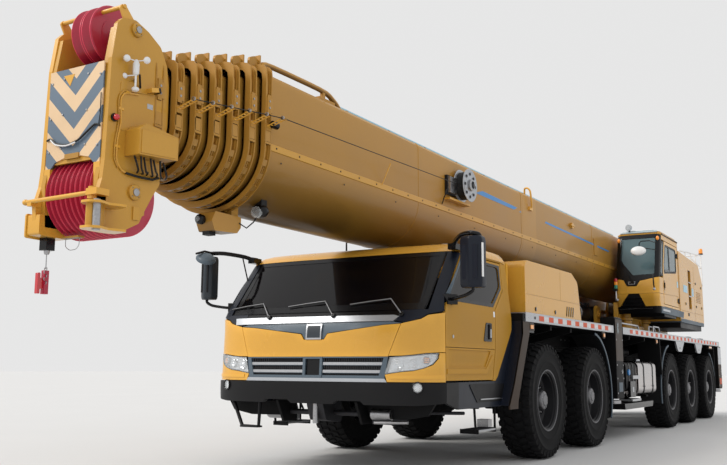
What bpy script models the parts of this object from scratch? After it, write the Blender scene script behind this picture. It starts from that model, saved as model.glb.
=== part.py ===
"""All-terrain mobile crane: five-axle carrier, slewing superstructure and telescopic boom.

Frame: +Z up, floor at z = 0, the crane drives towards -Y, +X is its left side.
Stations along the crane are measured from the front axle and grow rearwards; Y() turns a
station into a coordinate. Lengths are in metres.
"""

import bpy
import bmesh
from math import cos, pi, radians, sin, sqrt
from mathutils import Matrix, Vector

for old in list(bpy.data.objects):
    bpy.data.objects.remove(old, do_unlink=True)

# ---------------------------------------------------------------- driving dimensions
FRONT_AXLE_Y = -3.0            # the front axle, so that the crane's middle is at y = 0
AXLES = (0.0, 1.93, 6.80, 8.57, 10.57)
TYRE_R = 0.685
TYRE_HALF_W = 0.20
WHEEL_X = 1.30                 # tyre centre plane
KINGPIN_X = 1.00
HALF_WIDTH = 1.50
DECK_Z0, DECK_Z1 = 1.6003, 1.70
FRAME_HALF = 0.42
CAB_HALF = 1.38
GAP = 0.0003                   # between pieces that rest on each other
PLAY = 0.006                   # between pieces that move past each other

OUTRIGGER_FRONT = 3.05         # middle of the front outrigger box
OUTRIGGER_REAR = 11.77
LANE = 0.15                    # a beam's lane, from the middle of its box
BEAM_Z0, BEAM_Z1 = 0.856, 1.284
JACK_X = 1.395

SLEW_S = 7.30                  # slewing axis
LUFF_S, LUFF_Z = 9.30, 3.05    # boom foot pin
CYL_S, CYL_Z = 6.50, 2.10      # luffing cylinder's lower pin
EYE_S, EYE_Z = 2.00, 2.10      # luffing cylinder's rod eye

BOOM_HALF = 0.55
BOOM_TOP, BOOM_UPPER, BOOM_LOWER, BOOM_BOTTOM = 3.66, 3.58, 2.95, 2.45
BOOM_FRONT = -4.50
BOOM_TAIL = 9.62
STEP_IN = 0.042                # each section is this much smaller all round
STEP_OUT = 0.18                # each section stands out this much at rest
WALL = 0.016
SECTIONS = 6

HEAD_HALF = 0.31
REEL = (-0.47, 3.32)            # boom length cable's reel, on the left side
UPPER_SHEAVE = (-5.80, 3.60, 0.24)
LOWER_SHEAVE = (-5.755, 2.345, 0.325)


def Y(station):
    return station + FRONT_AXLE_Y


# ---------------------------------------------------------------- materials
def material(name, colour, rough, metal=0.0, alpha=1.0):
    mat = bpy.data.materials.new(name)
    mat.use_nodes = True
    shader = mat.node_tree.nodes["Principled BSDF"]
    shader.inputs["Base Color"].default_value = (*colour, 1.0)
    shader.inputs["Roughness"].default_value = rough
    shader.inputs["Metallic"].default_value = metal
    shader.inputs["Alpha"].default_value = alpha
    mat.diffuse_color = (*colour, alpha)
    return mat


YELLOW = material("yellow_paint", (0.72, 0.40, 0.06), 0.35)
OCHRE = material("boom_paint", (0.62, 0.36, 0.07), 0.4)
BLACK = material("black_paint", (0.02, 0.02, 0.022), 0.5)
STEEL = material("steel", (0.45, 0.45, 0.46), 0.35, 0.9)
GREY = material("grey_plate", (0.30, 0.31, 0.33), 0.5)
RUBBER = material("tyre", (0.02, 0.02, 0.02), 0.85)
IRON = material("cast_iron", (0.10, 0.10, 0.11), 0.6, 0.6)
GLASS = material("tinted_glass", (0.03, 0.035, 0.04), 0.05, 0.0, 0.5)
TANK = material("polished_aluminium", (0.7, 0.71, 0.73), 0.2, 1.0)
RED = material("sheave_red", (0.50, 0.02, 0.05), 0.45)
TRIM = material("black_plastic", (0.025, 0.025, 0.03), 0.55)


# ---------------------------------------------------------------- shapes
def mesh_of(points, faces, tri=False):
    """A closed mesh with its faces pointing out."""
    bm = bmesh.new()
    made = [bm.verts.new(p) for p in points]
    for face in faces:
        bm.faces.new([made[i] for i in face])
    if tri:
        bmesh.ops.triangulate(bm, faces=bm.faces[:])
    bmesh.ops.recalc_face_normals(bm, faces=bm.faces[:])
    if bm.calc_volume(signed=True) < 0:
        bmesh.ops.reverse_faces(bm, faces=bm.faces[:])
    mesh = bpy.data.meshes.new("shape")
    bm.to_mesh(mesh)
    bm.free()
    return mesh


def loft(rings, tri=False):
    """Closed solid through rings that all have the same number of points."""
    n = len(rings[0])
    points = [p for ring in rings for p in ring]
    faces = [list(range(n)), [(len(rings) - 1) * n + i for i in range(n)]]
    for k in range(len(rings) - 1):
        for i in range(n):
            j = (i + 1) % n
            faces.append([k * n + i, k * n + j, (k + 1) * n + j, (k + 1) * n + i])
    return mesh_of(points, faces, tri)


def box(x0, x1, s0, s1, z0, z1):
    """A box between two x, two stations and two heights."""
    ring = lambda z: [(x0, Y(s0), z), (x1, Y(s0), z), (x1, Y(s1), z), (x0, Y(s1), z)]
    return loft([ring(z0), ring(z1)])


def plate_x(x0, x1, outline):
    """An outline of (station, z), extruded across the crane."""
    return loft([[(x, Y(s), z) for s, z in outline] for x in (x0, x1)])


def plate_y(s0, s1, outline):
    """An outline of (x, z), extruded along the crane."""
    return loft([[(x, Y(s), z) for x, z in outline] for s in (s0, s1)])


def plate_z(z0, z1, outline):
    """An outline of (x, station), extruded upwards."""
    return loft([[(x, Y(s), z) for x, s in outline] for z in (z0, z1)])


def ring_points(axis, centre, r, a, n, turn=0.5):
    cx, cs, cz = centre
    out = []
    for i in range(n):
        t = 2 * pi * (i + turn) / n
        u, v = r * cos(t), r * sin(t)
        out.append({"X": (cx + a, Y(cs + u), cz + v),
                    "Y": (cx + u, Y(cs + a), cz + v),
                    "Z": (cx + u, Y(cs + v), cz + a)}[axis])
    return out


def rod(axis, centre, r, a0, a1, n=16):
    """A round bar along an axis, from a0 to a1 beyond its centre."""
    return loft([ring_points(axis, centre, r, a, n) for a in (a0, a1)])


def turned(axis, centre, profile, n):
    """A profile of (radius, along) turned about an axis, open to neither end."""
    return loft([ring_points(axis, centre, r, a, n) for r, a in profile])


def turned_ring(axis, centre, profile, n):
    """A closed profile of (radius, along) turned about an axis: a ring with a bore."""
    rings = [ring_points(axis, centre, r, a, n) for r, a in profile]
    m = len(rings)
    points = [p for ring in rings for p in ring]
    faces = []
    for k in range(m):
        l = (k + 1) % m
        for i in range(n):
            j = (i + 1) % n
            faces.append([k * n + i, k * n + j, l * n + j, l * n + i])
    return mesh_of(points, faces)


def strut(p, q, r, n=8):
    """A round bar between two points of (x, station, z)."""
    a, b = Vector((p[0], Y(p[1]), p[2])), Vector((q[0], Y(q[1]), q[2]))
    along = (b - a).normalized()
    side = along.orthogonal().normalized()
    up = along.cross(side)
    ring = lambda c: [c + r * (cos(2 * pi * (i + 0.5) / n) * side + sin(2 * pi * (i + 0.5) / n) * up)
                      for i in range(n)]
    return loft([ring(a), ring(b)])


def mirrored(mesh):
    """The same shape on the other side of the crane."""
    bm = bmesh.new()
    bm.from_mesh(mesh)
    for v in bm.verts:
        v.co.x = -v.co.x
    bmesh.ops.reverse_faces(bm, faces=bm.faces[:])
    out = bpy.data.meshes.new("shape")
    bm.to_mesh(out)
    bm.free()
    return out


def moved(mesh, x=0.0, s=0.0, z=0.0):
    out = mesh.copy()
    out.transform(Matrix.Translation((x, s, z)))
    return out


def inset(outline, d):
    """An outline moved inwards by d on every side."""
    area = sum(a[0] * b[1] - b[0] * a[1] for a, b in zip(outline, outline[1:] + outline[:1]))
    turn = 1 if area > 0 else -1
    n = len(outline)
    out = []
    for i in range(n):
        p, q, r = outline[i - 1], outline[i], outline[(i + 1) % n]
        e, f = Vector(q) - Vector(p), Vector(r) - Vector(q)
        e.normalize()
        f.normalize()
        ne, nf = Vector((-e.y, e.x)) * turn, Vector((-f.y, f.x)) * turn
        mid = ne + nf
        mid *= 2 * d / mid.length_squared
        out.append((q[0] + mid.x, q[1] + mid.y))
    return out


def piece(name, mat, start, add=(), cut=(), common=None, origin=(0.0, 0.0, 0.0), smooth=35):
    """One named solid: a start shape, shapes joined to it, shapes cut from it, and its origin."""
    obj = bpy.data.objects.new(name, start)
    bpy.context.scene.collection.objects.link(obj)
    helpers = []
    jobs = [("UNION", m) for m in add]
    if common is not None:
        jobs.append(("INTERSECT", common))
    jobs += [("DIFFERENCE", m) for m in cut]
    for kind, mesh in jobs:
        helper = bpy.data.objects.new("helper", mesh)
        bpy.context.scene.collection.objects.link(helper)
        helper.hide_render = True
        helper.display_type = "WIRE"
        helpers.append(helper)
        mod = obj.modifiers.new(kind.lower(), "BOOLEAN")
        mod.operation = kind
        mod.solver = "EXACT"
        mod.object = helper
    if jobs:
        bpy.context.view_layer.update()
        graph = bpy.context.evaluated_depsgraph_get()
        result = bpy.data.meshes.new_from_object(obj.evaluated_get(graph))
        obj.modifiers.clear()
        obj.data = result
    for helper in helpers:
        bpy.data.objects.remove(helper, do_unlink=True)
    bm = bmesh.new()
    bm.from_mesh(obj.data)
    bmesh.ops.remove_doubles(bm, verts=bm.verts[:], dist=0.00002)
    bmesh.ops.dissolve_limit(bm, angle_limit=radians(0.05), verts=bm.verts[:], edges=bm.edges[:])
    bmesh.ops.triangulate(bm, faces=bm.faces[:])
    place = Vector((origin[0], Y(origin[1]) if any(origin) else 0.0, origin[2]))
    bmesh.ops.translate(bm, verts=bm.verts[:], vec=-place)
    mesh = bpy.data.meshes.new(name)
    bm.to_mesh(mesh)
    bm.free()
    mesh.materials.clear()
    mesh.materials.append(mat)
    mesh.shade_smooth()
    mesh.set_sharp_from_angle(angle=radians(smooth))
    obj.data = mesh
    obj.name = name
    obj.location = place
    return obj


# ---------------------------------------------------------------- carrier frame
frame_side = [(-2.55, 0.72), (-0.95, 0.72), (-0.70, 0.93), (2.42, 0.93), (2.58, 0.47), (5.85, 0.47),
              (6.02, 0.93), (12.22, 0.93), (12.22, 1.60), (-0.80, 1.60), (-0.80, 0.915), (-2.55, 0.915)]
outrigger_boxes = [box(-1.27, 1.27, m - 0.31, m + 0.31, 0.83, 1.31) for m in (OUTRIGGER_FRONT, OUTRIGGER_REAR)]
lanes = [box(-1.4, 1.4, m + side * LANE - 0.138, m + side * LANE + 0.138, 0.85, 1.29)
         for m in (OUTRIGGER_FRONT, OUTRIGGER_REAR) for side in (-1, 1)]
piece("chassis_frame", BLACK, plate_x(-FRAME_HALF, FRAME_HALF, frame_side),
      add=outrigger_boxes + [
          box(-1.15, 1.15, 12.18, 12.30, 0.50, 0.66),
          box(-0.95, -0.80, 12.13, 12.24, 0.60, 1.00), box(0.80, 0.95, 12.13, 12.24, 0.60, 1.00),
          box(-1.05, 1.05, 12.12, 12.20, 0.95, 1.58)],
      cut=[box(-0.34, 0.34, -0.45, 1.05, 1.05, 1.75)] + lanes)

# The left beam runs in the rear lane of each box and the right beam in the front lane.
for place, middle, top in (("front", OUTRIGGER_FRONT, 1.83), ("rear", OUTRIGGER_REAR, 1.595)):
    for side, sign in (("left", 1), ("right", -1)):
        lane = middle + sign * LANE
        beam = box(-1.25, 1.30, lane - 0.132, lane + 0.132, BEAM_Z0, BEAM_Z1)
        leg = box(1.285, 1.50, lane - 0.20, lane + 0.20, 0.62, top)
        bore = rod("Z", (JACK_X, lane, 0), 0.090, 0.5, top - 0.06, 16)
        jack = rod("Z", (JACK_X, lane, 0), 0.080, 0.585, top - 0.12, 16)
        foot = rod("Z", (JACK_X, lane, 0), 0.104, 0.54, 0.60, 16)
        if sign < 0:
            beam, leg, bore, jack, foot = map(mirrored, (beam, leg, bore, jack, foot))
        piece(f"outrigger_beam_{place}_{side}", BLACK, beam, add=[leg], cut=[bore], origin=(sign * JACK_X, lane, 1.07))
        piece(f"outrigger_jack_{place}_{side}", STEEL, jack, add=[foot], origin=(sign * JACK_X, lane, 0.6))

# ---------------------------------------------------------------- deck and what stands on it
fender = [(-0.80, 1.69), (-0.55, 1.69), (-0.55, 1.63), (-0.745, 1.63), (-0.745, 1.44), (-1.04, 0.88),
          (-1.19, 0.66), (-1.24, 0.66), (-1.09, 0.89), (-0.80, 1.45)]
guard_rear = [(11.29, 1.65), (11.32, 1.65), (11.32, 0.58), (11.29, 0.58)]
guard_mid = [(5.90, 1.65), (5.94, 1.65), (6.06, 0.90), (6.03, 0.90)]
deck_add = []
for outline in (fender, guard_rear, guard_mid):
    side = plate_x(1.10, 1.495, outline)
    deck_add += [side, mirrored(side)]
piece("deck", BLACK, box(-HALF_WIDTH, HALF_WIDTH, -0.70, 12.0, DECK_Z0, DECK_Z1), add=deck_add,
      cut=[box(-0.34, 0.34, -0.45, 1.05, 1.5, 1.8),
           box(1.24, 1.6, 2.94, 3.46, 1.5, 1.8), box(-1.6, -1.24, 2.64, 3.16, 1.5, 1.8)])

hood = [(-0.64, DECK_Z1 + GAP), (-0.64, 2.25), (-0.56, 2.325), (1.10, 2.325), (1.38, 1.92), (1.38, DECK_Z1 + GAP)]
hood_in = [(-0.61, 1.60), (-0.61, 2.235), (-0.545, 2.295), (1.085, 2.295), (1.35, 1.91), (1.35, 1.60)]
piece("engine_hood", YELLOW, plate_x(-1.47, 1.47, hood), cut=[plate_x(-1.44, 1.44, hood_in)])
piece("engine_block", IRON, box(-0.33, 0.33, -0.44, 1.04, 1.05 + GAP, 2.20))

tank = [(0.97, 0.67), (1.02, 0.63), (1.43, 0.63), (1.47, 0.68), (1.47, 1.13), (1.42, 1.19), (1.02, 1.19), (0.97, 1.15)]
arm = lambda s, z: box(FRAME_HALF + GAP, 1.02, s, s + 0.10, z, z + 0.10)
piece("fuel_tank", TANK, plate_y(3.66, 5.63, tank), add=[arm(4.0, 0.95), arm(5.2, 0.95)])
box_r = [(0.97, 0.62), (1.47, 0.62), (1.47, 1.20), (1.43, 1.25), (1.01, 1.25), (0.97, 1.21)]
piece("hydraulic_tank", BLACK, mirrored(plate_y(3.72, 5.63, box_r)),
      add=[mirrored(arm(4.0, 1.0)), mirrored(arm(5.2, 1.0))])

piece("slew_ring", STEEL, turned_ring("Z", (0, SLEW_S, 0),
      [(0.70, DECK_Z1 + GAP), (0.90, DECK_Z1 + GAP), (0.90, 1.745), (0.84, 1.745), (0.84, 1.79), (0.70, 1.79)], 24))

# ---------------------------------------------------------------- axles, knuckles, wheels
def beam_axle(s, steered):
    parts = [rod("Y", (0, s, 0.685), 0.21, -0.22, 0.22, 12)]
    for m in (lambda a: a, mirrored):
        if steered:
            eye = lambda z: plate_z(z, z + 0.05, [(0.82, s - 0.075), (1.03, s - 0.075), (1.075, s - 0.03),
                                                  (1.075, s + 0.03), (1.03, s + 0.075), (0.82, s + 0.075)])
            parts += [m(eye(0.522)), m(eye(0.798)), m(box(0.80, 0.895, s - 0.085, s + 0.085, 0.51, 0.86))]
        else:
            parts += [m(rod("X", (0, s, TYRE_R), 0.075, 0.85, 1.24, 12)), m(rod("X", (0, s, TYRE_R), 0.16, 1.18, 1.24, 16)),
                      m(rod("X", (0, s, TYRE_R), 0.13, 0.80, 1.05, 12))]
    return box(-0.90, 0.90, s - 0.08, s + 0.08, 0.60, 0.77), parts


for name, stations, steered in (("front_axles", AXLES[:2], True), ("rear_axles", AXLES[2:], False)):
    start, add = beam_axle(stations[0], steered)
    for s in stations[1:]:
        other, more = beam_axle(s, steered)
        add += [other] + more
    for a, b in zip(stations, stations[1:]):
        add += [box(0.30, 0.38, a, b, 0.64, 0.74), box(-0.38, -0.30, a, b, 0.64, 0.74)]
    piece(name, BLACK, start, add=add)

for number, s in enumerate(AXLES[:2], 1):
    for side, sign in (("left", 1), ("right", -1)):
        parts = [rod("Z", (KINGPIN_X, s, 0), 0.088, 0.577, 0.793, 16), rod("X", (0, s, TYRE_R), 0.07, KINGPIN_X, 1.24, 12),
                 rod("X", (0, s, TYRE_R), 0.16, 1.18, 1.243, 16)]
        if sign < 0:
            parts = [mirrored(p) for p in parts]
        piece(f"steering_knuckle_{number}_{side}", BLACK, parts[0], add=parts[1:], origin=(sign * KINGPIN_X, s, TYRE_R))

# From the hub outwards: face of the hub, dished disc, rim, sidewalls, tread, inner dish.
WHEEL = [(0.12, 0.09), (0.15, -0.005), (0.29, -0.01), (0.33, 0.165), (0.60, 0.198), (0.685, 0.13), (0.685, -0.13),
         (0.60, -0.198), (0.34, -0.168), (0.31, -0.052)]
for number, s in enumerate(AXLES, 1):
    for side, sign in (("left", 1), ("right", -1)):
        shape = turned("X", (WHEEL_X, s, TYRE_R), WHEEL, 24)
        if sign < 0:
            shape = mirrored(shape)
        piece(f"wheel_{number}_{side}", RUBBER, shape, origin=(sign * WHEEL_X, s, TYRE_R))

# ---------------------------------------------------------------- driver's cab
# Each level: height, front station at the middle, rear station, half width, how far the corner falls back.
CAB_LEVELS = [(0.92, -2.87, -1.33, 1.38, 0.27), (1.47, -2.83, -0.85, 1.38, 0.25), (1.60, -2.77, -0.85, 1.38, 0.17),
              (2.27, -2.22, -0.92, 1.34, 0.11), (2.375, -2.06, -1.04, 1.24, 0.12)]


def cab_ring(z, front, rear, half, corner):
    right = [(0.0, front), (0.62 * half, front + 0.12 * corner), (0.88 * half, front + 0.42 * corner), (half, front + corner),
             (half, rear)]
    left = [(-x, s) for x, s in reversed(right) if x > 0]
    return [(x, Y(s), z) for x, s in right + left]


cab_outer = loft([cab_ring(*level) for level in CAB_LEVELS], tri=True)
t = 0.05
cab_inner_levels = [(z, f + 0.06, r - t, h - t, c) for z, f, r, h, c in CAB_LEVELS]
cab_inner_levels[0] = (0.97, -2.81, -1.34, 1.33, 0.27)
cab_inner_levels[-1] = (2.325, -2.05, -1.06, 1.24, 0.12)
cab_inner = loft([cab_ring(*level) for level in cab_inner_levels], tri=True)
screen = [(-3.3, 1.66), (-2.50, 1.66), (-2.02, 2.255), (-3.3, 2.255)]
door = [(-2.585, 0.935), (-1.43, 0.935), (-1.35, 1.26), (-1.33, 1.70), (-1.07, 1.93), (-1.09, 2.235),
        (-2.36, 2.235), (-2.585, 1.64)]
door_window = [(-2.50, 1.76), (-1.39, 1.76), (-1.15, 1.965), (-1.16, 2.19), (-2.345, 2.19)]
hinge = lambda s, z: box(CAB_HALF - 0.02, CAB_HALF + 0.02, s, s + 0.06, z, z + 0.08)
piece("driver_cab", YELLOW, cab_outer.copy(),
      cut=[cab_inner, plate_x(-1.20, 1.20, screen), plate_x(1.27, 1.6, door), plate_x(-1.6, -1.27, door)])
for side, sign in (("left", 1), ("right", -1)):
    span = (1.27, 1.6) if sign > 0 else (-1.6, -1.27)
    wide = (1.2, 1.7) if sign > 0 else (-1.7, -1.2)
    piece(f"cab_door_{side}", YELLOW, cab_outer.copy(), common=plate_x(*span, inset(door, PLAY)),
          cut=[cab_inner.copy(), plate_x(*wide, door_window)], origin=(sign * CAB_HALF, -2.585, 1.4))
piece("windscreen", GLASS, cab_outer.copy(), common=plate_x(-1.20 + 0.004, 1.20 - 0.004, inset(screen, 0.004)),
      cut=[cab_inner.copy()])


def seat(x):
    return [box(x - 0.24, x + 0.24, -1.80, -1.28, 1.20, 1.34), box(x - 0.14, x + 0.14, -1.70, -1.38, 0.98, 1.22),
            plate_x(x - 0.23, x + 0.23, [(-1.40, 1.30), (-1.26, 1.30), (-1.10, 1.95), (-1.20, 1.95)])]


piece("cab_interior", TRIM, box(-1.22, 1.22, -2.45, -1.42, 0.97 + GAP, 1.00),
      add=seat(0.62) + seat(-0.62) + [
          plate_x(-1.10, 1.10, [(-2.46, 0.985), (-2.30, 0.985), (-2.24, 1.40), (-2.30, 1.54), (-2.50, 1.54)]),
          box(-0.22, 0.22, -2.30, -1.35, 0.985, 1.22),
          strut((0.62, -2.40, 1.30), (0.62, -2.06, 1.52), 0.035),
          strut((0.62, -2.09, 1.50), (0.62, -2.06, 1.52), 0.22, 16)])

bumper_out = [(0.0, -2.90), (0.85, -2.865), (1.21, -2.78), (1.39, -2.58), (1.39, -1.30), (1.31, -1.30),
              (1.31, -2.53), (1.16, -2.70), (0.84, -2.785), (0.0, -2.82)]
bumper_out = bumper_out[:6] + bumper_out[6:] + [(-x, s) for x, s in reversed(bumper_out[6:9])] + \
    [(-x, s) for x, s in reversed(bumper_out[1:6])]
piece("front_bumper", BLACK, plate_z(0.68, 0.9197, bumper_out),
      add=[box(-0.60, 0.60, -2.84, -2.5503, 0.72, 0.90)])

for side, sign in (("left", 1), ("right", -1)):
    parts = [loft([[(1.55, Y(-2.66), z), (1.79, Y(-2.60), z), (1.80, Y(-2.52), z), (1.55, Y(-2.54), z)]
                   for z in (1.83, 2.33)]),
             strut((1.30, -2.30, 2.345), (1.68, -2.58, 2.345), 0.03), strut((1.68, -2.58, 2.25), (1.68, -2.58, 2.365), 0.025),
             ]
    if sign < 0:
        parts = [mirrored(p) for p in parts]
    piece(f"mirror_{side}", TRIM, parts[0], add=parts[1:])

# ---------------------------------------------------------------- superstructure
cheek = [(6.28, 1.83), (10.36, 1.83), (10.40, 2.55), (9.75, 3.22), (9.30, 3.30), (9.00, 3.22), (7.70, 2.42), (6.28, 2.30)]
cyl_lug = [(6.36, 1.84), (6.64, 1.84), (6.62, 2.20), (6.56, 2.26), (6.44, 2.26), (6.38, 2.20)]
turn_add = []
for m in (lambda a: a, mirrored):
    turn_add += [m(plate_x(0.60, 0.68, cheek)), m(plate_x(0.19, 0.25, cyl_lug)),
                 m(box(0.55, 1.42, 8.15, 10.30, 1.90, 2.00)), m(box(0.66, 1.42, 6.75, 7.75, 2.05, 2.18)),
                 m(box(0.60, 0.74, 6.60, 7.80, 1.85, 2.15))]
piece("turntable", YELLOW, box(-0.69, 0.69, 6.30, 10.35, 1.81, 1.885),
      add=[rod("Z", (0, SLEW_S, 0), 0.88, 1.796, 1.87, 24)] + turn_add + [rod("X", (0, 10.00, 2.36), 0.045, -0.64, 0.64, 12)])

OP = [(6.36, 2.20), (6.20, 2.42), (6.22, 2.60), (6.50, 3.55), (6.62, 3.62), (7.88, 3.62), (7.98, 3.50), (7.98, 2.20)]
op_in = inset(OP, 0.04)
op_screen = [(5.9, 2.50), (6.40, 2.50), (6.70, 3.50), (5.9, 3.50)]
op_door = [(6.62, 2.27), (7.90, 2.27), (7.90, 3.48), (6.80, 3.48), (6.62, 2.95)]
op_window = inset(op_door, 0.07)
op_window = [(6.69, 2.72), (7.83, 2.72), (7.83, 3.41), (6.85, 3.41), (6.69, 2.94)]
OPX0, OPX1 = 0.74, 1.46
piece("operator_cab", YELLOW, plate_x(OPX0, OPX1, OP),
      cut=[plate_x(OPX0 + 0.04, OPX1 - 0.04, op_in), plate_x(OPX0 + 0.05, OPX1 - 0.05, op_screen),
           plate_x(OPX1 - 0.06, OPX1 + 0.2, op_door),
           plate_x(OPX0 - 0.1, OPX0 + 0.06, [(6.60, 2.60), (7.85, 2.60), (7.85, 3.45), (6.75, 3.45)]),
           box(OPX0 + 0.10, OPX1 - 0.10, 6.80, 7.70, 3.5, 3.8)])
piece("operator_windscreen", GLASS, plate_x(OPX0 + 0.054, OPX1 - 0.054, OP), common=plate_x(0, 2, inset(op_screen, 0.004)),
      cut=[plate_x(0.70, 1.6, op_in)])
piece("operator_cab_door", YELLOW, plate_x(OPX1 - 0.04, OPX1, inset(op_door, PLAY)),
      cut=[plate_x(OPX1 - 0.1, OPX1 + 0.1, op_window)], origin=(OPX1, 7.90, 2.9))
piece("operator_seat", TRIM, box(0.87, 1.33, 7.10, 7.60, 2.55, 2.68),
      add=[box(0.95, 1.25, 7.20, 7.50, 2.24 + GAP, 2.58), plate_x(0.88, 1.32, [(7.52, 2.60), (7.66, 2.60), (7.80, 3.30), (7.68, 3.30)]),
           box(0.80, 0.88, 7.00, 7.50, 2.60, 2.86), box(1.30, 1.38, 7.00, 7.50, 2.60, 2.86),
           box(0.84, 1.34, 6.70, 6.86, 2.24 + GAP, 2.56), box(0.84, 1.34, 6.70, 7.30, 2.24 + GAP, 2.27)])

hood_l = [(8.06, 2.0003), (10.45, 2.0003), (10.50, 2.10), (10.50, 2.95), (10.10, 3.34), (8.30, 3.34), (8.06, 3.20)]
hood_r = [(6.90, 2.20), (8.10, 2.20), (8.16, 2.0003), (10.45, 2.0003), (10.50, 2.10), (10.50, 2.95), (10.10, 3.10), (7.10, 3.10),
          (6.90, 2.95)]
piece("superstructure_hood_left", YELLOW, plate_x(0.76, 1.46, hood_l))
piece("superstructure_hood_right", YELLOW, plate_x(-1.46, -0.76, hood_r))

DRUM = [(0.055, -0.50), (0.36, -0.50), (0.36, -0.46), (0.24, -0.455), (0.24, 0.455), (0.36, 0.46), (0.36, 0.50), (0.055, 0.50)]
piece("hoist_winch_drum", STEEL, turned_ring("X", (0, 10.00, 2.36), DRUM, 20), origin=(0, 10.00, 2.36))

# ---------------------------------------------------------------- luffing cylinder
barrel = rod("Y", (0, 0, CYL_Z), 0.17, 2.30, 6.42, 20)
piece("luff_cylinder_barrel", STEEL, barrel, add=[rod("X", (0, CYL_S, CYL_Z), 0.15, -0.18, 0.18, 16)],
      cut=[rod("Y", (0, 0, CYL_Z), 0.128, 2.0, 6.28, 20)], origin=(0, CYL_S, CYL_Z))
piece("luff_cylinder_rod", STEEL, rod("Y", (0, 0, CYL_Z), 0.115, 2.04, 6.22, 20),
      add=[rod("X", (0, EYE_S, EYE_Z), 0.13, -0.12, 0.12, 16)], origin=(0, EYE_S, EYE_Z))

# ---------------------------------------------------------------- boom
def boom_section(d):
    """The boom's outline of (x, z), d smaller all round: flat top, upright sides, round belly."""
    half = BOOM_HALF - d
    out = [(half - 0.10, BOOM_TOP - d), (half, BOOM_UPPER - d)]
    for i in range(9):
        a = pi * i / 8
        out.append((half * cos(a), BOOM_LOWER - (BOOM_LOWER - BOOM_BOTTOM - d) * sin(a)))
    out += [(-half, BOOM_UPPER - d), (-half + 0.10, BOOM_TOP - d)]
    return out


def boom_rings(steps):
    return loft([[(x, Y(s), z) for x, z in boom_section(d)] for s, d in steps])


eye_lug = [(1.80, 2.52), (1.86, 2.02), (1.92, 1.965), (2.08, 1.965), (2.14, 2.02), (2.20, 2.52)]
piece("boom_base_section", OCHRE,
      boom_rings([(BOOM_FRONT, -0.045), (BOOM_FRONT + 0.10, -0.045), (BOOM_FRONT + 0.10, 0.0), (BOOM_TAIL, 0.0)]),
      add=[plate_x(0.13, 0.18, eye_lug), plate_x(-0.18, -0.13, eye_lug),
           rod("X", (0, LUFF_S, LUFF_Z), 0.16, 0.52, 0.594, 16), rod("X", (0, LUFF_S, LUFF_Z), 0.16, -0.594, -0.52, 16),
           rod("X", (0, REEL[0], REEL[1]), 0.037, 0.54, 0.76, 12),
           box(0.545, 0.574, REEL[0] - 0.08, REEL[0] + 0.08, REEL[1] - 0.10, REEL[1] + 0.10)],
      cut=[boom_rings([(BOOM_FRONT - 0.5, WALL), (BOOM_TAIL + 0.5, WALL)])], origin=(0, LUFF_S, LUFF_Z))
for k in range(1, SECTIONS + 1):
    front = BOOM_FRONT - k * STEP_OUT
    d = k * STEP_IN
    piece(f"boom_section_{k}", OCHRE,
          boom_rings([(front, d - 0.055), (front + 0.09, d - 0.055), (front + 0.09, d), (9.08 - 0.02 * k, d)]),
          cut=[boom_rings([(front - 0.5, d + WALL), (9.6, d + WALL)])], origin=(0, front, 3.05))

head_side = [(-5.93, 3.76), (-5.62, 3.68), (-5.59, 3.45), (-5.59, 2.60), (-5.34, 2.50), (-5.47, 2.30), (-5.80, 2.05),
             (-6.05, 2.13), (-6.03, 2.40), (-6.0, 2.54), (-5.99, 3.30)]
us, uz, ur = UPPER_SHEAVE
ls, lz, lr = LOWER_SHEAVE
head_add = [mirrored(plate_x(0.26, HEAD_HALF, head_side)),
            box(-0.29, 0.29, -6.035, -5.98, 2.60, 3.30), box(-0.29, 0.29, -5.62, -5.59, 2.70, 3.25),
            rod("X", (0, us, uz), 0.045, -0.34, 0.34, 12), rod("X", (0, ls, lz), 0.055, -0.35, 0.35, 12),
            box(0.265, 0.305, -6.14, -5.95, 2.25, 2.31), box(-0.305, -0.265, -6.14, -5.95, 2.25, 2.31),
            box(-0.36, 0.36, -6.17, -6.12, 2.25, 2.31)]
piece("boom_head", OCHRE, plate_x(0.26, HEAD_HALF, head_side), add=head_add)


def sheaves(count, pitch, r, bore, floor):
    """A pack of grooved sheaves as one turned ring."""
    half = count * pitch / 2
    outer = []
    for i in range(count):
        a = -half + i * pitch
        outer += [(r, a + 0.1 * pitch), (floor, a + 0.5 * pitch)]
    outer = [(r, -half)] + outer + [(r, half)]
    return [(bore, -half)] + outer + [(bore, half)]


piece("upper_sheaves", RED, turned_ring("X", (0, us, uz), sheaves(2, 0.11, ur, 0.052, ur - 0.05), 20), origin=(0, us, uz))
piece("lower_sheaves", RED, turned_ring("X", (0, ls, lz), sheaves(4, 0.12, lr, 0.062, lr - 0.045), 20), origin=(0, ls, lz))

reel = [(0.045, 0.585), (0.21, 0.585), (0.21, 0.60), (0.12, 0.605), (0.12, 0.695), (0.21, 0.70), (0.21, 0.715), (0.045, 0.715)]
piece("cable_reel", GREY, turned_ring("X", (0, REEL[0], REEL[1]), reel, 20), origin=(0, REEL[0], REEL[1]))
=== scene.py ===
"""Looks of the five-axle mobile crane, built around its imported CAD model."""
import bpy
import bmesh
from math import atan2, cos, hypot, pi, radians, sin, sqrt
from mathutils import Matrix, Vector, geometry


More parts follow.
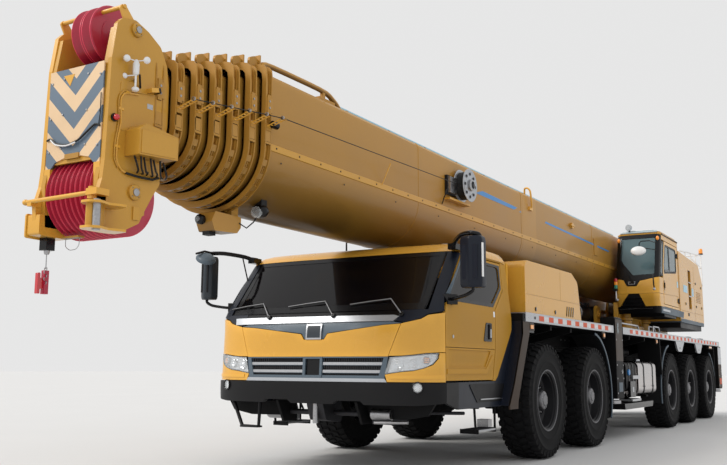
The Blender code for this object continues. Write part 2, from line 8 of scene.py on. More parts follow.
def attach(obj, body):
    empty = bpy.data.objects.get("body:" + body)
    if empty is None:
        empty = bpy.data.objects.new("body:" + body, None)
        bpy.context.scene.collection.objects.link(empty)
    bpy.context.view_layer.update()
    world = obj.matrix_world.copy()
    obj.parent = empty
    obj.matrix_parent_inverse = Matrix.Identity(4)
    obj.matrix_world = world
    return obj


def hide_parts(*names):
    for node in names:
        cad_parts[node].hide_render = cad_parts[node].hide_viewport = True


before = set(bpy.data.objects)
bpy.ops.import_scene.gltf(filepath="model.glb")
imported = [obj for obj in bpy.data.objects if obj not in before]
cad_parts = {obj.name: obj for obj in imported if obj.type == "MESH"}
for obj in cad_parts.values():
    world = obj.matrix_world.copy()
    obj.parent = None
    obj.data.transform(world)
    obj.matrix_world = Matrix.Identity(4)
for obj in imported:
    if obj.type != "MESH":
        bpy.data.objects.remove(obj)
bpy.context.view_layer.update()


def Y(station):
    """A station is measured from the front axle, rearwards."""
    return station - 3.0


# ------------------------------------------------------------------ camera, light, floor
def make_camera():
    cam = bpy.data.cameras.new("camera")
    cam.lens = 43.62
    cam.sensor_width = 36.0
    cam.clip_end = 400.0
    obj = bpy.data.objects.new("camera", cam)
    bpy.context.scene.collection.objects.link(obj)
    yaw, pitch, roll = radians(31.129), radians(8.73), radians(0.284)
    look = Vector((-sin(yaw) * cos(pitch), cos(yaw) * cos(pitch), sin(pitch)))
    right = Vector((cos(yaw), sin(yaw), 0.0))
    up = right.cross(look)
    r2 = right * cos(roll) + up * sin(roll)
    u2 = -right * sin(roll) + up * cos(roll)
    m = Matrix.Identity(4)
    for i in range(3):
        m[i][0], m[i][1], m[i][2] = r2[i], u2[i], -look[i]
        m[i][3] = (5.157, -13.398, 1.061)[i]
    obj.matrix_world = m
    bpy.context.scene.camera = obj


make_camera()
scene = bpy.context.scene
scene.view_settings.view_transform = "Standard"
scene.view_settings.look = "None"

world = bpy.data.worlds.new("studio")
scene.world = world
world.use_nodes = True
wn = world.node_tree
wn.nodes["Background"].inputs["Color"].default_value = (0.795, 0.795, 0.795, 1)
wn.nodes["Background"].inputs["Strength"].default_value = 1.0


sun = bpy.data.lights.new("key", "SUN")
sun.energy = 1.8
sun.angle = radians(22)
sun.color = (1.0, 0.965, 0.91)
sun_obj = bpy.data.objects.new("key", sun)
scene.collection.objects.link(sun_obj)
sun_obj.location = (-16, -20, 20)
sun_obj.rotation_euler = (Vector((0, -3, 1.5)) - Vector((-16, -20, 20))).to_track_quat("-Z", "Y").to_euler()


# ------------------------------------------------------------------ materials
def node_material(name):
    mat = bpy.data.materials.new(name)
    mat.use_nodes = True
    nt = mat.node_tree
    return mat, nt, nt.nodes["Principled BSDF"]


def noise(nt, scale, detail=3.0, rough=0.55, coord="Object"):
    tc = nt.nodes.new("ShaderNodeTexCoord")
    tex = nt.nodes.new("ShaderNodeTexNoise")
    tex.inputs["Scale"].default_value = scale
    tex.inputs["Detail"].default_value = detail
    tex.inputs["Roughness"].default_value = rough
    nt.links.new(tc.outputs[coord], tex.inputs["Vector"])
    return tex


def ramp(nt, source, stops, out="Color"):
    r = nt.nodes.new("ShaderNodeValToRGB")
    els = r.color_ramp.elements
    while len(els) < len(stops):
        els.new(0.5)
    for e, (p, c) in zip(els, stops):
        e.position = p
        e.color = (*c, 1) if len(c) == 3 else c
    nt.links.new(source, r.inputs["Fac"])
    return r.outputs[out]


def shade(c, k):
    return tuple(min(1.0, v * k) for v in c)


def grey(v):
    return (v, v, v)


def bump(nt, bsdf, height, strength, distance):
    b = nt.nodes.new("ShaderNodeBump")
    b.inputs["Strength"].default_value = strength
    b.inputs["Distance"].default_value = distance
    nt.links.new(height, b.inputs["Height"])
    nt.links.new(b.outputs["Normal"], bsdf.inputs["Normal"])


def paint(name, colour, rough=0.3, coat=0.35, metal=0.0, vary=0.06, dust=0.0, spec=0.5, under=0.0):
    """Sprayed paint: cloudy colour, orange peel, roughness that changes a little, paler at convex edges, and painted
    shade that darkens faces turned downwards by up to under.
    """
    mat, nt, b = node_material(name)
    big = noise(nt, 0.9, 4.0)
    cloud = ramp(nt, big.outputs["Fac"], [(0.3, shade(colour, 1 - vary)), (0.7, shade(colour, 1 + vary))])
    fine = noise(nt, 45.0, 5.0, 0.7)
    specks = ramp(nt, fine.outputs["Fac"], [(0.0, grey(0.93)), (0.6, grey(1.0))])
    mix = nt.nodes.new("ShaderNodeMix")
    mix.data_type = "RGBA"
    mix.blend_type = "MULTIPLY"
    mix.inputs["Factor"].default_value = 1.0
    nt.links.new(cloud, mix.inputs["A"])
    nt.links.new(specks, mix.inputs["B"])
    last = mix.outputs["Result"]
    geo = nt.nodes.new("ShaderNodeNewGeometry")
    # paler copy of the colour at convex edges, taken from pointiness
    edge = ramp(nt, geo.outputs["Pointiness"], [(0.49, grey(0.0)), (0.535, grey(0.0)), (0.60, grey(0.35))])
    m2 = nt.nodes.new("ShaderNodeMix")
    m2.data_type = "RGBA"
    nt.links.new(edge, m2.inputs["Factor"])
    nt.links.new(last, m2.inputs["A"])
    m2.inputs["B"].default_value = (*shade(colour, 1.35), 1)
    last = m2.outputs["Result"]
    if dust:
        up = nt.nodes.new("ShaderNodeSeparateXYZ")
        nt.links.new(geo.outputs["Normal"], up.inputs["Vector"])
        top = ramp(nt, up.outputs["Z"], [(0.35, grey(0.0)), (1.0, grey(dust))])
        m3 = nt.nodes.new("ShaderNodeMix")
        m3.data_type = "RGBA"
        nt.links.new(top, m3.inputs["Factor"])
        nt.links.new(last, m3.inputs["A"])
        m3.inputs["B"].default_value = (0.42, 0.40, 0.36, 1)
        last = m3.outputs["Result"]
    # painted shade: the colour is multiplied down towards 1 - under on faces that turn downwards
    if under:
        low = nt.nodes.new("ShaderNodeSeparateXYZ")
        nt.links.new(geo.outputs["Normal"], low.inputs["Vector"])
        belly = ramp(nt, low.outputs["Z"], [(0.0, grey(0.0)), (1.0, grey(1.0))])
        turn = nt.nodes.new("ShaderNodeMapRange")
        turn.inputs["From Min"].default_value = -1.0
        turn.inputs["From Max"].default_value = 0.25
        turn.inputs["To Min"].default_value = 1.0 - under
        turn.inputs["To Max"].default_value = 1.0
        nt.links.new(low.outputs["Z"], turn.inputs["Value"])
        m4 = nt.nodes.new("ShaderNodeMix")
        m4.data_type = "RGBA"
        m4.blend_type = "MULTIPLY"
        m4.inputs["Factor"].default_value = 1.0
        nt.links.new(last, m4.inputs["A"])
        nt.links.new(turn.outputs["Result"], m4.inputs["B"])
        nt.nodes.remove(belly.node)
        last = m4.outputs["Result"]
    nt.links.new(last, b.inputs["Base Color"])
    rr = ramp(nt, big.outputs["Fac"], [(0.25, grey(rough * 0.8)), (0.75, grey(min(1, rough * 1.25)))])
    nt.links.new(rr, b.inputs["Roughness"])
    b.inputs["Metallic"].default_value = metal
    b.inputs["Coat Weight"].default_value = coat
    b.inputs["Coat Roughness"].default_value = 0.08
    b.inputs["Specular IOR Level"].default_value = spec
    peel = noise(nt, 220.0, 2.0)
    bump(nt, b, peel.outputs["Fac"], 0.05, 0.002)
    return mat


def metal(name, colour, rough=0.3, brushed=(1, 1, 1), strength=0.12, scale=60.0):
    """Bare or plated metal with brushed or cast grain."""
    mat, nt, b = node_material(name)
    tc = nt.nodes.new("ShaderNodeTexCoord")
    mp = nt.nodes.new("ShaderNodeMapping")
    mp.inputs["Scale"].default_value = brushed
    tex = nt.nodes.new("ShaderNodeTexNoise")
    tex.inputs["Scale"].default_value = scale
    tex.inputs["Detail"].default_value = 5
    nt.links.new(tc.outputs["Object"], mp.inputs["Vector"])
    nt.links.new(mp.outputs["Vector"], tex.inputs["Vector"])
    c = ramp(nt, tex.outputs["Fac"], [(0.3, shade(colour, 0.82)), (0.7, shade(colour, 1.1))])
    nt.links.new(c, b.inputs["Base Color"])
    r = ramp(nt, tex.outputs["Fac"], [(0.3, grey(rough * 0.75)), (0.7, grey(min(1.0, rough * 1.3)))])
    nt.links.new(r, b.inputs["Roughness"])
    b.inputs["Metallic"].default_value = 1.0
    bump(nt, b, tex.outputs["Fac"], strength, 0.002)
    return mat


def plastic(name, colour, rough=0.5, grain=180.0, strength=0.15, coat=0.0, spec=0.3):
    mat, nt, b = node_material(name)
    tex = noise(nt, grain, 3.0, 0.6)
    big = noise(nt, 2.0, 3.0)
    c = ramp(nt, big.outputs["Fac"], [(0.3, shade(colour, 0.85)), (0.7, shade(colour, 1.15))])
    nt.links.new(c, b.inputs["Base Color"])
    r = ramp(nt, tex.outputs["Fac"], [(0.3, grey(rough * 0.85)), (0.7, grey(min(1.0, rough * 1.15)))])
    nt.links.new(r, b.inputs["Roughness"])
    b.inputs["Coat Weight"].default_value = coat
    b.inputs["Specular IOR Level"].default_value = spec
    bump(nt, b, tex.outputs["Fac"], strength, 0.0015)
    return mat


def rubber(name):
    mat, nt, b = node_material(name)
    tex = noise(nt, 30.0, 6.0, 0.65)
    c = ramp(nt, tex.outputs["Fac"], [(0.3, (0.005, 0.005, 0.0055)), (0.75, (0.015, 0.015, 0.016))])
    nt.links.new(c, b.inputs["Base Color"])
    r = ramp(nt, tex.outputs["Fac"], [(0.2, grey(0.62)), (0.8, grey(0.85))])
    nt.links.new(r, b.inputs["Roughness"])
    b.inputs["Specular IOR Level"].default_value = 0.12
    bump(nt, b, tex.outputs["Fac"], 0.25, 0.003)
    return mat


def glass(name, colour, alpha, rough=0.04, spec=0.7, coat=0.6):
    """Tinted glass: a dark coated sheet that lets a share of the light through."""
    mat, nt, b = node_material(name)
    tex = noise(nt, 1.3, 2.0)
    c = ramp(nt, tex.outputs["Fac"], [(0.3, shade(colour, 0.8)), (0.7, shade(colour, 1.2))])
    nt.links.new(c, b.inputs["Base Color"])
    r = ramp(nt, tex.outputs["Fac"], [(0.3, grey(rough)), (0.7, grey(rough * 1.5))])
    nt.links.new(r, b.inputs["Roughness"])
    b.inputs["Alpha"].default_value = alpha
    b.inputs["Specular IOR Level"].default_value = spec
    b.inputs["Coat Weight"].default_value = coat
    b.inputs["Coat Roughness"].default_value = 0.02
    return mat


def lamp(name, colour, rough=0.15, glow=0.0):
    mat, nt, b = node_material(name)
    tex = nt.nodes.new("ShaderNodeTexWave")
    tc = nt.nodes.new("ShaderNodeTexCoord")
    tex.inputs["Scale"].default_value = 40.0
    tex.inputs["Distortion"].default_value = 0.5
    nt.links.new(tc.outputs["Object"], tex.inputs["Vector"])
    c = ramp(nt, tex.outputs["Fac"], [(0.0, shade(colour, 0.8)), (1.0, shade(colour, 1.15))])
    nt.links.new(c, b.inputs["Base Color"])
    b.inputs["Roughness"].default_value = rough
    b.inputs["Coat Weight"].default_value = 1.0
    b.inputs["Coat Roughness"].default_value = 0.03
    bump(nt, b, tex.outputs["Fac"], 0.1, 0.002)
    if glow:
        b.inputs["Emission Color"].default_value = (*colour, 1)
        b.inputs["Emission Strength"].default_value = glow
    return mat


YEL = (0.76, 0.395, 0.050)
OCH = (0.52, 0.265, 0.042)
# under= gives a paint painted shade on its downward faces, strongest on the boom's belly
M = {
    "yellow": paint("yellow_paint_gloss", YEL, 0.28, 0.35, vary=0.04, spec=0.35, under=0.35),
    "yellow2": paint("yellow_paint_shaded", shade(YEL, 0.8), 0.34, 0.25, vary=0.05, spec=0.3, under=0.45),
    # painted shade: a darker copy of the yellow with little shine, for the sides of the driver's cab
    "yellow_side_shade": paint("yellow_paint_side_shade", shade(YEL, 0.66), 0.42, 0.02, vary=0.05, spec=0.10, under=0.35),
    "roofglass": paint("pale_roof_glass", (0.30, 0.40, 0.45), 0.2, 0.3, vary=0.15),
    "retro": lamp("pale_retro_film", (0.50, 0.50, 0.51), 0.35, 0.0),
    "bluedark": paint("dark_blue_grey_paint", (0.028, 0.037, 0.047), 0.45, 0.1, vary=0.08, spec=0.3),
    "ochre": paint("boom_paint_satin", OCH, 0.38, 0.18, vary=0.07, spec=0.3, under=0.86),
    "ochre2": paint("collar_paint_satin", shade(OCH, 0.90), 0.45, 0.10, vary=0.09, spec=0.3, under=0.7),
    "black": paint("black_paint_satin", (0.0045, 0.0045, 0.0055), 0.45, 0.04, vary=0.15, spec=0.22),
    "navy": paint("dark_blue_black_paint", (0.006, 0.009, 0.018), 0.38, 0.08, vary=0.12, spec=0.25),
    "frame": paint("frame_paint_black", (0.0045, 0.0045, 0.0050), 0.60, 0.0, vary=0.2, dust=0.03, spec=0.15),
    "grey": paint("grey_blue_paint", (0.085, 0.115, 0.145), 0.50, 0.05, vary=0.05, spec=0.3),
    "silver": paint("silver_paint", (0.42, 0.44, 0.47), 0.34, 0.3, metal=0.6, vary=0.05),
    "white": paint("pale_paint", (0.78, 0.79, 0.80), 0.35, 0.3, vary=0.04),
    "blue": paint("blue_stripe_paint", (0.03, 0.22, 0.55), 0.4, 0.2, vary=0.06),
    "bluegrey": paint("blue_grey_stripe_paint", (0.13, 0.24, 0.36), 0.4, 0.2, vary=0.06),
    # pale blue paint; on the boom's top rails it is a painted highlight
    "sky": paint("pale_blue_paint_and_highlight", (0.36, 0.62, 0.78), 0.4, 0.2, vary=0.05),
    "brown": paint("brown_grey_pillar_paint", (0.050, 0.034, 0.024), 0.45, 0.0, vary=0.15, spec=0.14),
    "steel": metal("bare_steel", (0.42, 0.42, 0.43), 0.35),
    "chrome": metal("chromed_rod", (0.72, 0.73, 0.75), 0.10, (1, 40, 1), 0.02, 20.0),
    "alu": metal("polished_aluminium_tank", (0.50, 0.47, 0.46), 0.20, (60, 0.3, 60), 0.03, 8.0),
    "alu2": metal("brushed_aluminium_rail", (0.50, 0.51, 0.53), 0.32, (2, 0.2, 20), 0.05, 30.0),
    "iron": metal("dark_cast_iron", (0.06, 0.06, 0.065), 0.6, (1, 1, 1), 0.4, 90.0),
    "tyre": rubber("tyre_rubber"),
    "plastic": plastic("black_grained_plastic", (0.009, 0.009, 0.010), 0.5, spec=0.22),
    "gloss": plastic("black_gloss_plastic", (0.0045, 0.0045, 0.0055), 0.24, 60.0, 0.02, 0.10, 0.25),
    "seat": plastic("seat_fabric_dark", (0.035, 0.036, 0.04), 0.9, 420.0, 0.5),
    "rubberhose": plastic("black_cable_sheath", (0.012, 0.012, 0.012), 0.45, 120.0, 0.1),
    "red": paint("crimson_sheave_nylon", (0.42, 0.012, 0.045), 0.38, 0.3, vary=0.12),
    # a lighter copy of the sheave red, a painted highlight on the groove crests
    "red_crest_highlight": paint("crimson_groove_edge_highlight", (0.72, 0.05, 0.10), 0.35, 0.3, vary=0.05),
    "glass": glass("driver_cab_tinted_glass", (0.0035, 0.0028, 0.0035), 0.95, 0.05, 0.28, 0.0),
    "glass2": glass("operator_cab_tinted_glass", (0.115, 0.185, 0.205), 0.80, 0.06, 0.5, 0.1),
    "lens": glass("clear_lamp_lens", (0.80, 0.84, 0.88), 0.28, 0.03),
    "mirror": metal("mirror_face", (0.85, 0.87, 0.9), 0.04, (1, 1, 1), 0.0, 5.0),
    "amber": lamp("amber_lens", (0.95, 0.30, 0.02), 0.2, 0.15),
    "redlamp": lamp("red_lens", (0.55, 0.01, 0.02), 0.2, 0.05),
    "greenlamp": lamp("green_lens", (0.01, 0.25, 0.16), 0.2, 0.05),
    "reflect": paint("red_orange_reflector", (0.66, 0.085, 0.020), 0.4, 0.05, vary=0.10, spec=0.15),
    "bulb": metal("lamp_bowl", (0.85, 0.87, 0.9), 0.12, (1, 1, 1), 0.02, 30.0),
    "orange": lamp("orange_marker", (0.95, 0.35, 0.05), 0.3, 0.1),
}


def chevron_material():
    """Grey-blue and cream V bands that point downwards, as on a width warning plate."""
    mat, nt, b = node_material("chevron_plate_paint")
    tc = nt.nodes.new("ShaderNodeTexCoord")
    sep = nt.nodes.new("ShaderNodeSeparateXYZ")
    nt.links.new(tc.outputs["Object"], sep.inputs["Vector"])

    def math(op, a, v=None, w=None):
        n = nt.nodes.new("ShaderNodeMath")
        n.operation = op
        nt.links.new(a, n.inputs[0])
        if v is not None:
            if isinstance(v, float):
                n.inputs[1].default_value = v
            else:
                nt.links.new(v, n.inputs[1])
        return n.outputs[0]

    ax = math("ABSOLUTE", sep.outputs["X"])
    slope = math("MULTIPLY", ax, 0.95)
    d = math("SUBTRACT", sep.outputs["Z"], slope)
    per = math("DIVIDE", d, 0.262)
    off = math("ADD", per, 0.27)
    fr = math("FRACT", off)
    band = ramp(nt, fr, [(0.0, (0.115, 0.165, 0.225)), (0.50, (0.115, 0.165, 0.225)), (0.501, (0.80, 0.56, 0.33)), (1.0, (0.80, 0.56, 0.33))])
    n2 = noise(nt, 3.0, 4.0)
    wear = ramp(nt, n2.outputs["Fac"], [(0.3, grey(0.88)), (0.7, grey(1.0))])
    mix = nt.nodes.new("ShaderNodeMix")
    mix.data_type = "RGBA"
    mix.blend_type = "MULTIPLY"
    mix.inputs["Factor"].default_value = 1.0
    nt.links.new(band, mix.inputs["A"])
    nt.links.new(wear, mix.inputs["B"])
    nt.links.new(mix.outputs["Result"], b.inputs["Base Color"])
    b.inputs["Roughness"].default_value = 0.4
    b.inputs["Coat Weight"].default_value = 0.2
    return mat


M["chevron"] = chevron_material()


# ------------------------------------------------------------------ mesh building
def resample(points, step, closed=True):
    """Points on an outline, at most step apart, keeping its corners."""
    out = []
    n = len(points)
    for i in range(n if closed else n - 1):
        a, b = Vector(points[i]), Vector(points[(i + 1) % n])
        k = max(1, int((b - a).length / step + 0.999))
        out += [tuple(a.lerp(b, j / k)) for j in range(k)]
    if not closed:
        out.append(tuple(points[-1]))
    return out


def rounded(points, radius, seg=4):
    """A 2-D outline with its corners rounded. radius is one number or one for each corner."""
    n = len(points)
    out = []
    for i in range(n):
        r = radius[i] if isinstance(radius, (list, tuple)) else radius
        p, q, s = Vector(points[i - 1]), Vector(points[i]), Vector(points[(i + 1) % n])
        a, b = (p - q), (s - q)
        la, lb = a.length, b.length
        if r <= 0 or la < 1e-6 or lb < 1e-6:
            out.append(tuple(q))
            continue
        a.normalize()
        b.normalize()
        ang = a.angle(b)
        if ang > pi - 0.02:
            out.append(tuple(q))
            continue
        cut = min(r / max(1e-6, (sin(ang / 2) / cos(ang / 2))), la * 0.49, lb * 0.49)
        p0, p1 = q + a * cut, q + b * cut
        for k in range(seg + 1):
            t = k / seg
            out.append(tuple(p0 * (1 - t) ** 2 + q * 2 * t * (1 - t) + p1 * t * t))
    return out


def inside(point, loop):
    x, y = point
    hit = False
    n = len(loop)
    j = n - 1
    for i in range(n):
        xi, yi = loop[i]
        xj, yj = loop[j]
        if (yi > y) != (yj > y) and x < (xj - xi) * (y - yi) / (yj - yi) + xi:
            hit = not hit
        j = i
    return hit


def fill(outline, holes=(), step=0.06):
    """Triangles over a 2-D region with holes, with inner points on a grid. Returns points and faces."""
    loops = [resample(outline, step)] + [resample(h, step) for h in holes]
    pts, edges, base = [], [], 0
    for loop in loops:
        pts += [Vector(p) for p in loop]
        edges += [(base + i, base + (i + 1) % len(loop)) for i in range(len(loop))]
        base += len(loop)
    xs = [p[0] for p in loops[0]]
    ys = [p[1] for p in loops[0]]
    nx = int((max(xs) - min(xs)) / step) + 1
    ny = int((max(ys) - min(ys)) / step) + 1
    all_edges = []
    for loop in loops:
        all_edges += [(loop[i], loop[(i + 1) % len(loop)]) for i in range(len(loop))]

    def near(p):
        for a, b in all_edges:
            ax, ay = a
            dx, dy = b[0] - ax, b[1] - ay
            l2 = dx * dx + dy * dy
            t = 0 if l2 < 1e-12 else max(0, min(1, ((p[0] - ax) * dx + (p[1] - ay) * dy) / l2))
            if (ax + t * dx - p[0]) ** 2 + (ay + t * dy - p[1]) ** 2 < (0.35 * step) ** 2:
                return True
        return False

    if nx * ny < 9000:
        for i in range(nx + 1):
            for j in range(ny + 1):
                p = (min(xs) + i * step, min(ys) + j * step)
                if inside(p, loops[0]) and not any(inside(p, h) for h in loops[1:]) and not near(p):
                    pts.append(Vector(p))
    v, e, f, *_ = geometry.delaunay_2d_cdt(pts, edges, [], 0, 1e-7)
    faces = []
    for tri in f:
        c = ((v[tri[0]][0] + v[tri[1]][0] + v[tri[2]][0]) / 3, (v[tri[0]][1] + v[tri[1]][1] + v[tri[2]][1]) / 3)
        if inside(c, loops[0]) and not any(inside(c, h) for h in loops[1:]):
            faces.append(list(tri))
    return [tuple(p) for p in v], faces


class Group:
    """Geometry of one piece, with several materials, that rides on one body."""

    def __init__(self, name, body, replaces=(), bevel=0.0, smooth=32, slot=None, seg=2):
        self.name, self.body, self.rep, self.bev, self.smooth, self.slot, self.seg = name, body, replaces, bevel, smooth, slot, seg
        self.bm = bmesh.new()
        self.mats = []

    def index(self, m):
        mat = M[m] if isinstance(m, str) else m
        if mat not in self.mats:
            self.mats.append(mat)
        return self.mats.index(mat)

    def geom(self, pts, faces, m, flip=False, at=None):
        i = self.index(m)
        if at is not None:
            pts = [at @ Vector(p) for p in pts]
        vs = [self.bm.verts.new(p) for p in pts]
        made = []
        for f in faces:
            try:
                face = self.bm.faces.new([vs[k] for k in (reversed(f) if flip else f)])
            except ValueError:
                continue
            face.material_index = i
            made.append(face)
        return made

    def closed(self, pts, faces, m, at=None):
        """A closed shape, with its faces turned outwards."""
        made = self.geom(pts, faces, m, at=at)
        vol = 0.0
        for f in made:
            c = [v.co for v in f.verts]
            for k in range(1, len(c) - 1):
                vol += c[0].dot(c[k].cross(c[k + 1]))
        if vol < 0:
            bmesh.ops.reverse_faces(self.bm, faces=made)
        return made

    def rings(self, rings, m, caps=True, loop=False, at=None):
        n = len(rings[0])
        pts = [p for r in rings for p in r]
        faces = []
        k = len(rings)
        for a in range(k if loop else k - 1):
            b = (a + 1) % k
            for i in range(n):
                j = (i + 1) % n
                faces.append([a * n + i, a * n + j, b * n + j, b * n + i])
        if caps and not loop:
            faces += [list(range(n))[::-1], [(k - 1) * n + i for i in range(n)]]
        return self.closed(pts, faces, m, at=at)

    def box(self, x0, x1, s0, s1, z0, z1, m, at=None):
        ring = lambda z: [(x0, Y(s0), z), (x1, Y(s0), z), (x1, Y(s1), z), (x0, Y(s1), z)]
        return self.rings([ring(z0), ring(z1)], m, at=at)

    def block(self, centre, size, m, rot=None):
        """A box about a centre (x, station, z), turned by a matrix."""
        h = [v / 2 for v in size]
        ring = lambda z: [Vector((-h[0], -h[1], z)), Vector((h[0], -h[1], z)), Vector((h[0], h[1], z)), Vector((-h[0], h[1], z))]
        r = rot.to_4x4() if rot is not None else Matrix.Identity(4)
        at = Matrix.Translation((centre[0], Y(centre[1]), centre[2])) @ r
        return self.rings([ring(-h[2]), ring(h[2])], m, at=at)

    def plate_x(self, x0, x1, outline, m):
        return self.rings([[(x, Y(s), z) for s, z in outline] for x in (x0, x1)], m)

    def plate_y(self, s0, s1, outline, m):
        return self.rings([[(x, Y(s), z) for x, z in outline] for s in (s0, s1)], m)

    def plate_z(self, z0, z1, outline, m):
        return self.rings([[(x, Y(s), z) for x, s in outline] for z in (z0, z1)], m)

    def turned(self, axis, centre, profile, n, m, loop=False, caps=True, arc=None, turn=0.5):
        """A profile of (radius, along) turned about an axis through (x, station, z)."""
        cx, cs, cz = centre
        out = []
        for r, a in profile:
            ring = []
            for i in range(n):
                t = 2 * pi * (i + turn) / n
                u, v = r * cos(t), r * sin(t)
                ring.append({"X": (cx + a, Y(cs) + u, cz + v), "Y": (cx + u, Y(cs) + a, cz + v), "Z": (cx + u, Y(cs) + v, cz + a)}[axis])
            out.append(ring)
        return self.rings(out, m, caps=caps, loop=loop)

    def bar(self, p, q, r, m, n=10, r2=None):
        """A round bar between two points (x, station, z)."""
        a, b = Vector((p[0], Y(p[1]), p[2])), Vector((q[0], Y(q[1]), q[2]))
        along = (b - a).normalized()
        side = along.orthogonal().normalized()
        up = along.cross(side)
        ring = lambda c, rr: [c + rr * (cos(2 * pi * i / n) * side + sin(2 * pi * i / n) * up) for i in range(n)]
        return self.rings([ring(a, r), ring(b, r if r2 is None else r2)], m)

    def tube(self, pts, r, m, n=8, round_steps=0):
        """A bent tube through points (x, station, z)."""
        p = [Vector((a, Y(s), z)) for a, s, z in pts]
        if round_steps:
            q = [p[0]]
            for i in range(1, len(p) - 1):
                a, b, c = p[i - 1], p[i], p[i + 1]
                for k in range(round_steps + 1):
                    t = 0.25 + 0.5 * k / round_steps
                    u, v = a.lerp(b, 0.5 + t / 2 if False else 0.7), b.lerp(c, 0.3)
                    w = k / round_steps
                    q.append(u * (1 - w) ** 2 + b * 2 * w * (1 - w) + v * w * w)
            q.append(p[-1])
            p = q
        rings = []
        side = None
        for i in range(len(p)):
            d = (p[min(i + 1, len(p) - 1)] - p[max(i - 1, 0)]).normalized()
            side = d.orthogonal().normalized() if side is None else (side - d * side.dot(d)).normalized()
            up = d.cross(side)
            rings.append([p[i] + r * (cos(2 * pi * k / n) * side + sin(2 * pi * k / n) * up) for k in range(n)])
        return self.rings(rings, m)

    def ball(self, centre, radii, m, n=14, k=8, top=1.0, bottom=-1.0):
        c = Vector((centre[0], Y(centre[1]), centre[2]))
        rings = []
        for j in range(k + 1):
            f = bottom + (top - bottom) * j / k
            f = max(-0.9995, min(0.9995, sin(f * pi / 2)))
            rr = sqrt(1 - f * f)
            rings.append([c + Vector((radii[0] * rr * cos(2 * pi * i / n), radii[1] * rr * sin(2 * pi * i / n), radii[2] * f)) for i in range(n)])
        return self.rings(rings, m)

    def panel(self, fn, outline, m, t=0.01, holes=(), step=0.06, lift=0.0, back=None):
        """A sheet of thickness t over a region of a surface fn(a, b) -> (point, normal)."""
        pts, faces = fill(outline, holes, step)
        n = len(pts)
        top, low = [], []
        for a, b in pts:
            p, nor = fn(a, b)
            top.append(p + nor * lift)
            low.append(p + nor * (lift - t))
        all_faces = [list(f) for f in faces]
        count = {}
        for f in faces:
            for i in range(3):
                a, b = f[i], f[(i + 1) % 3]
                count[(a, b)] = count.get((a, b), 0) + 1
        rim = [e for e in count if (e[1], e[0]) not in count]
        body = all_faces + [[i + n for i in reversed(f)] for f in faces] + [[b, a, a + n, b + n] for a, b in rim]
        return self.closed(top + low, body, m)

    def disc_bolts(self, points, axis, r, h, m, n=6):
        for p in points:
            self.turned(axis, p, [(r, 0), (r, h * 0.7), (r * 0.7, h)], n, m)

    def mirror(self, faces):
        """Copies faces to the other side of the crane."""
        seen, pts, out = {}, [], []
        mats = []
        for f in faces:
            row = []
            for v in f.verts:
                if v not in seen:
                    seen[v] = len(pts)
                    pts.append((-v.co.x, v.co.y, v.co.z))
                row.append(seen[v])
            out.append(row[::-1])
            mats.append(f.material_index)
        vs = [self.bm.verts.new(p) for p in pts]
        made = []
        for row, mi in zip(out, mats):
            f = self.bm.faces.new([vs[i] for i in row])
            f.material_index = mi
            made.append(f)
        return made

    def done(self):
        mesh = bpy.data.meshes.new(self.name)
        self.bm.to_mesh(mesh)
        self.bm.free()
        for mat in self.mats:
            mesh.materials.append(mat)
        mesh.shade_smooth()
        mesh.set_sharp_from_angle(angle=radians(self.smooth))
        obj = bpy.data.objects.new(self.name, mesh)
        scene.collection.objects.link(obj)
        if self.bev:
            b = obj.modifiers.new("bevel", "BEVEL")
            b.width = self.bev
            b.segments = self.seg
            b.limit_method = "ANGLE"
            b.angle_limit = radians(38)
            b.harden_normals = True
        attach(obj, self.body)
        if self.rep:
            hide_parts(*self.rep)
        return obj


def dress(node, m, smooth=32):
    """A CAD node that stays, with its finished material."""
    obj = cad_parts[node]
    obj.data.materials.clear()
    obj.data.materials.append(M[m])


# ------------------------------------------------------------------ boom
TOP, UP, LOW, BOT = 3.66, 3.58, 2.95, 2.45


def bsec(d, n=32):
    """The boom's outline, d smaller all round: flat top, upright sides and a round belly."""
    h = 0.55 - d
    out = [(h - 0.10, TOP - d), (h - 0.035, TOP - d - 0.018), (h - 0.006, TOP - d - 0.05), (h, UP - d - 0.02)]
    for i in range(n + 1):
        a = pi * i / n
        out.append((h * cos(a), LOW - (LOW - BOT - d) * sin(a)))
    out += [(-x, z) for x, z in out[:4]][::-1]
    return out


def brings(g, steps, m, loop=False, caps=True, n=32):
    return g.rings([[(x, Y(s), z) for x, z in bsec(d, n)] for s, d in steps], m, loop=loop, caps=caps)


def belly_point(d, a):
    """Point and outward direction on the belly at angle a, 0 at the left side, pi at the right."""
    h, v = 0.55 - d, LOW - BOT - d
    p = (h * cos(a), LOW - v * sin(a))
    n = Vector((v * cos(a), 0, -h * sin(a))).normalized()
    return p, n


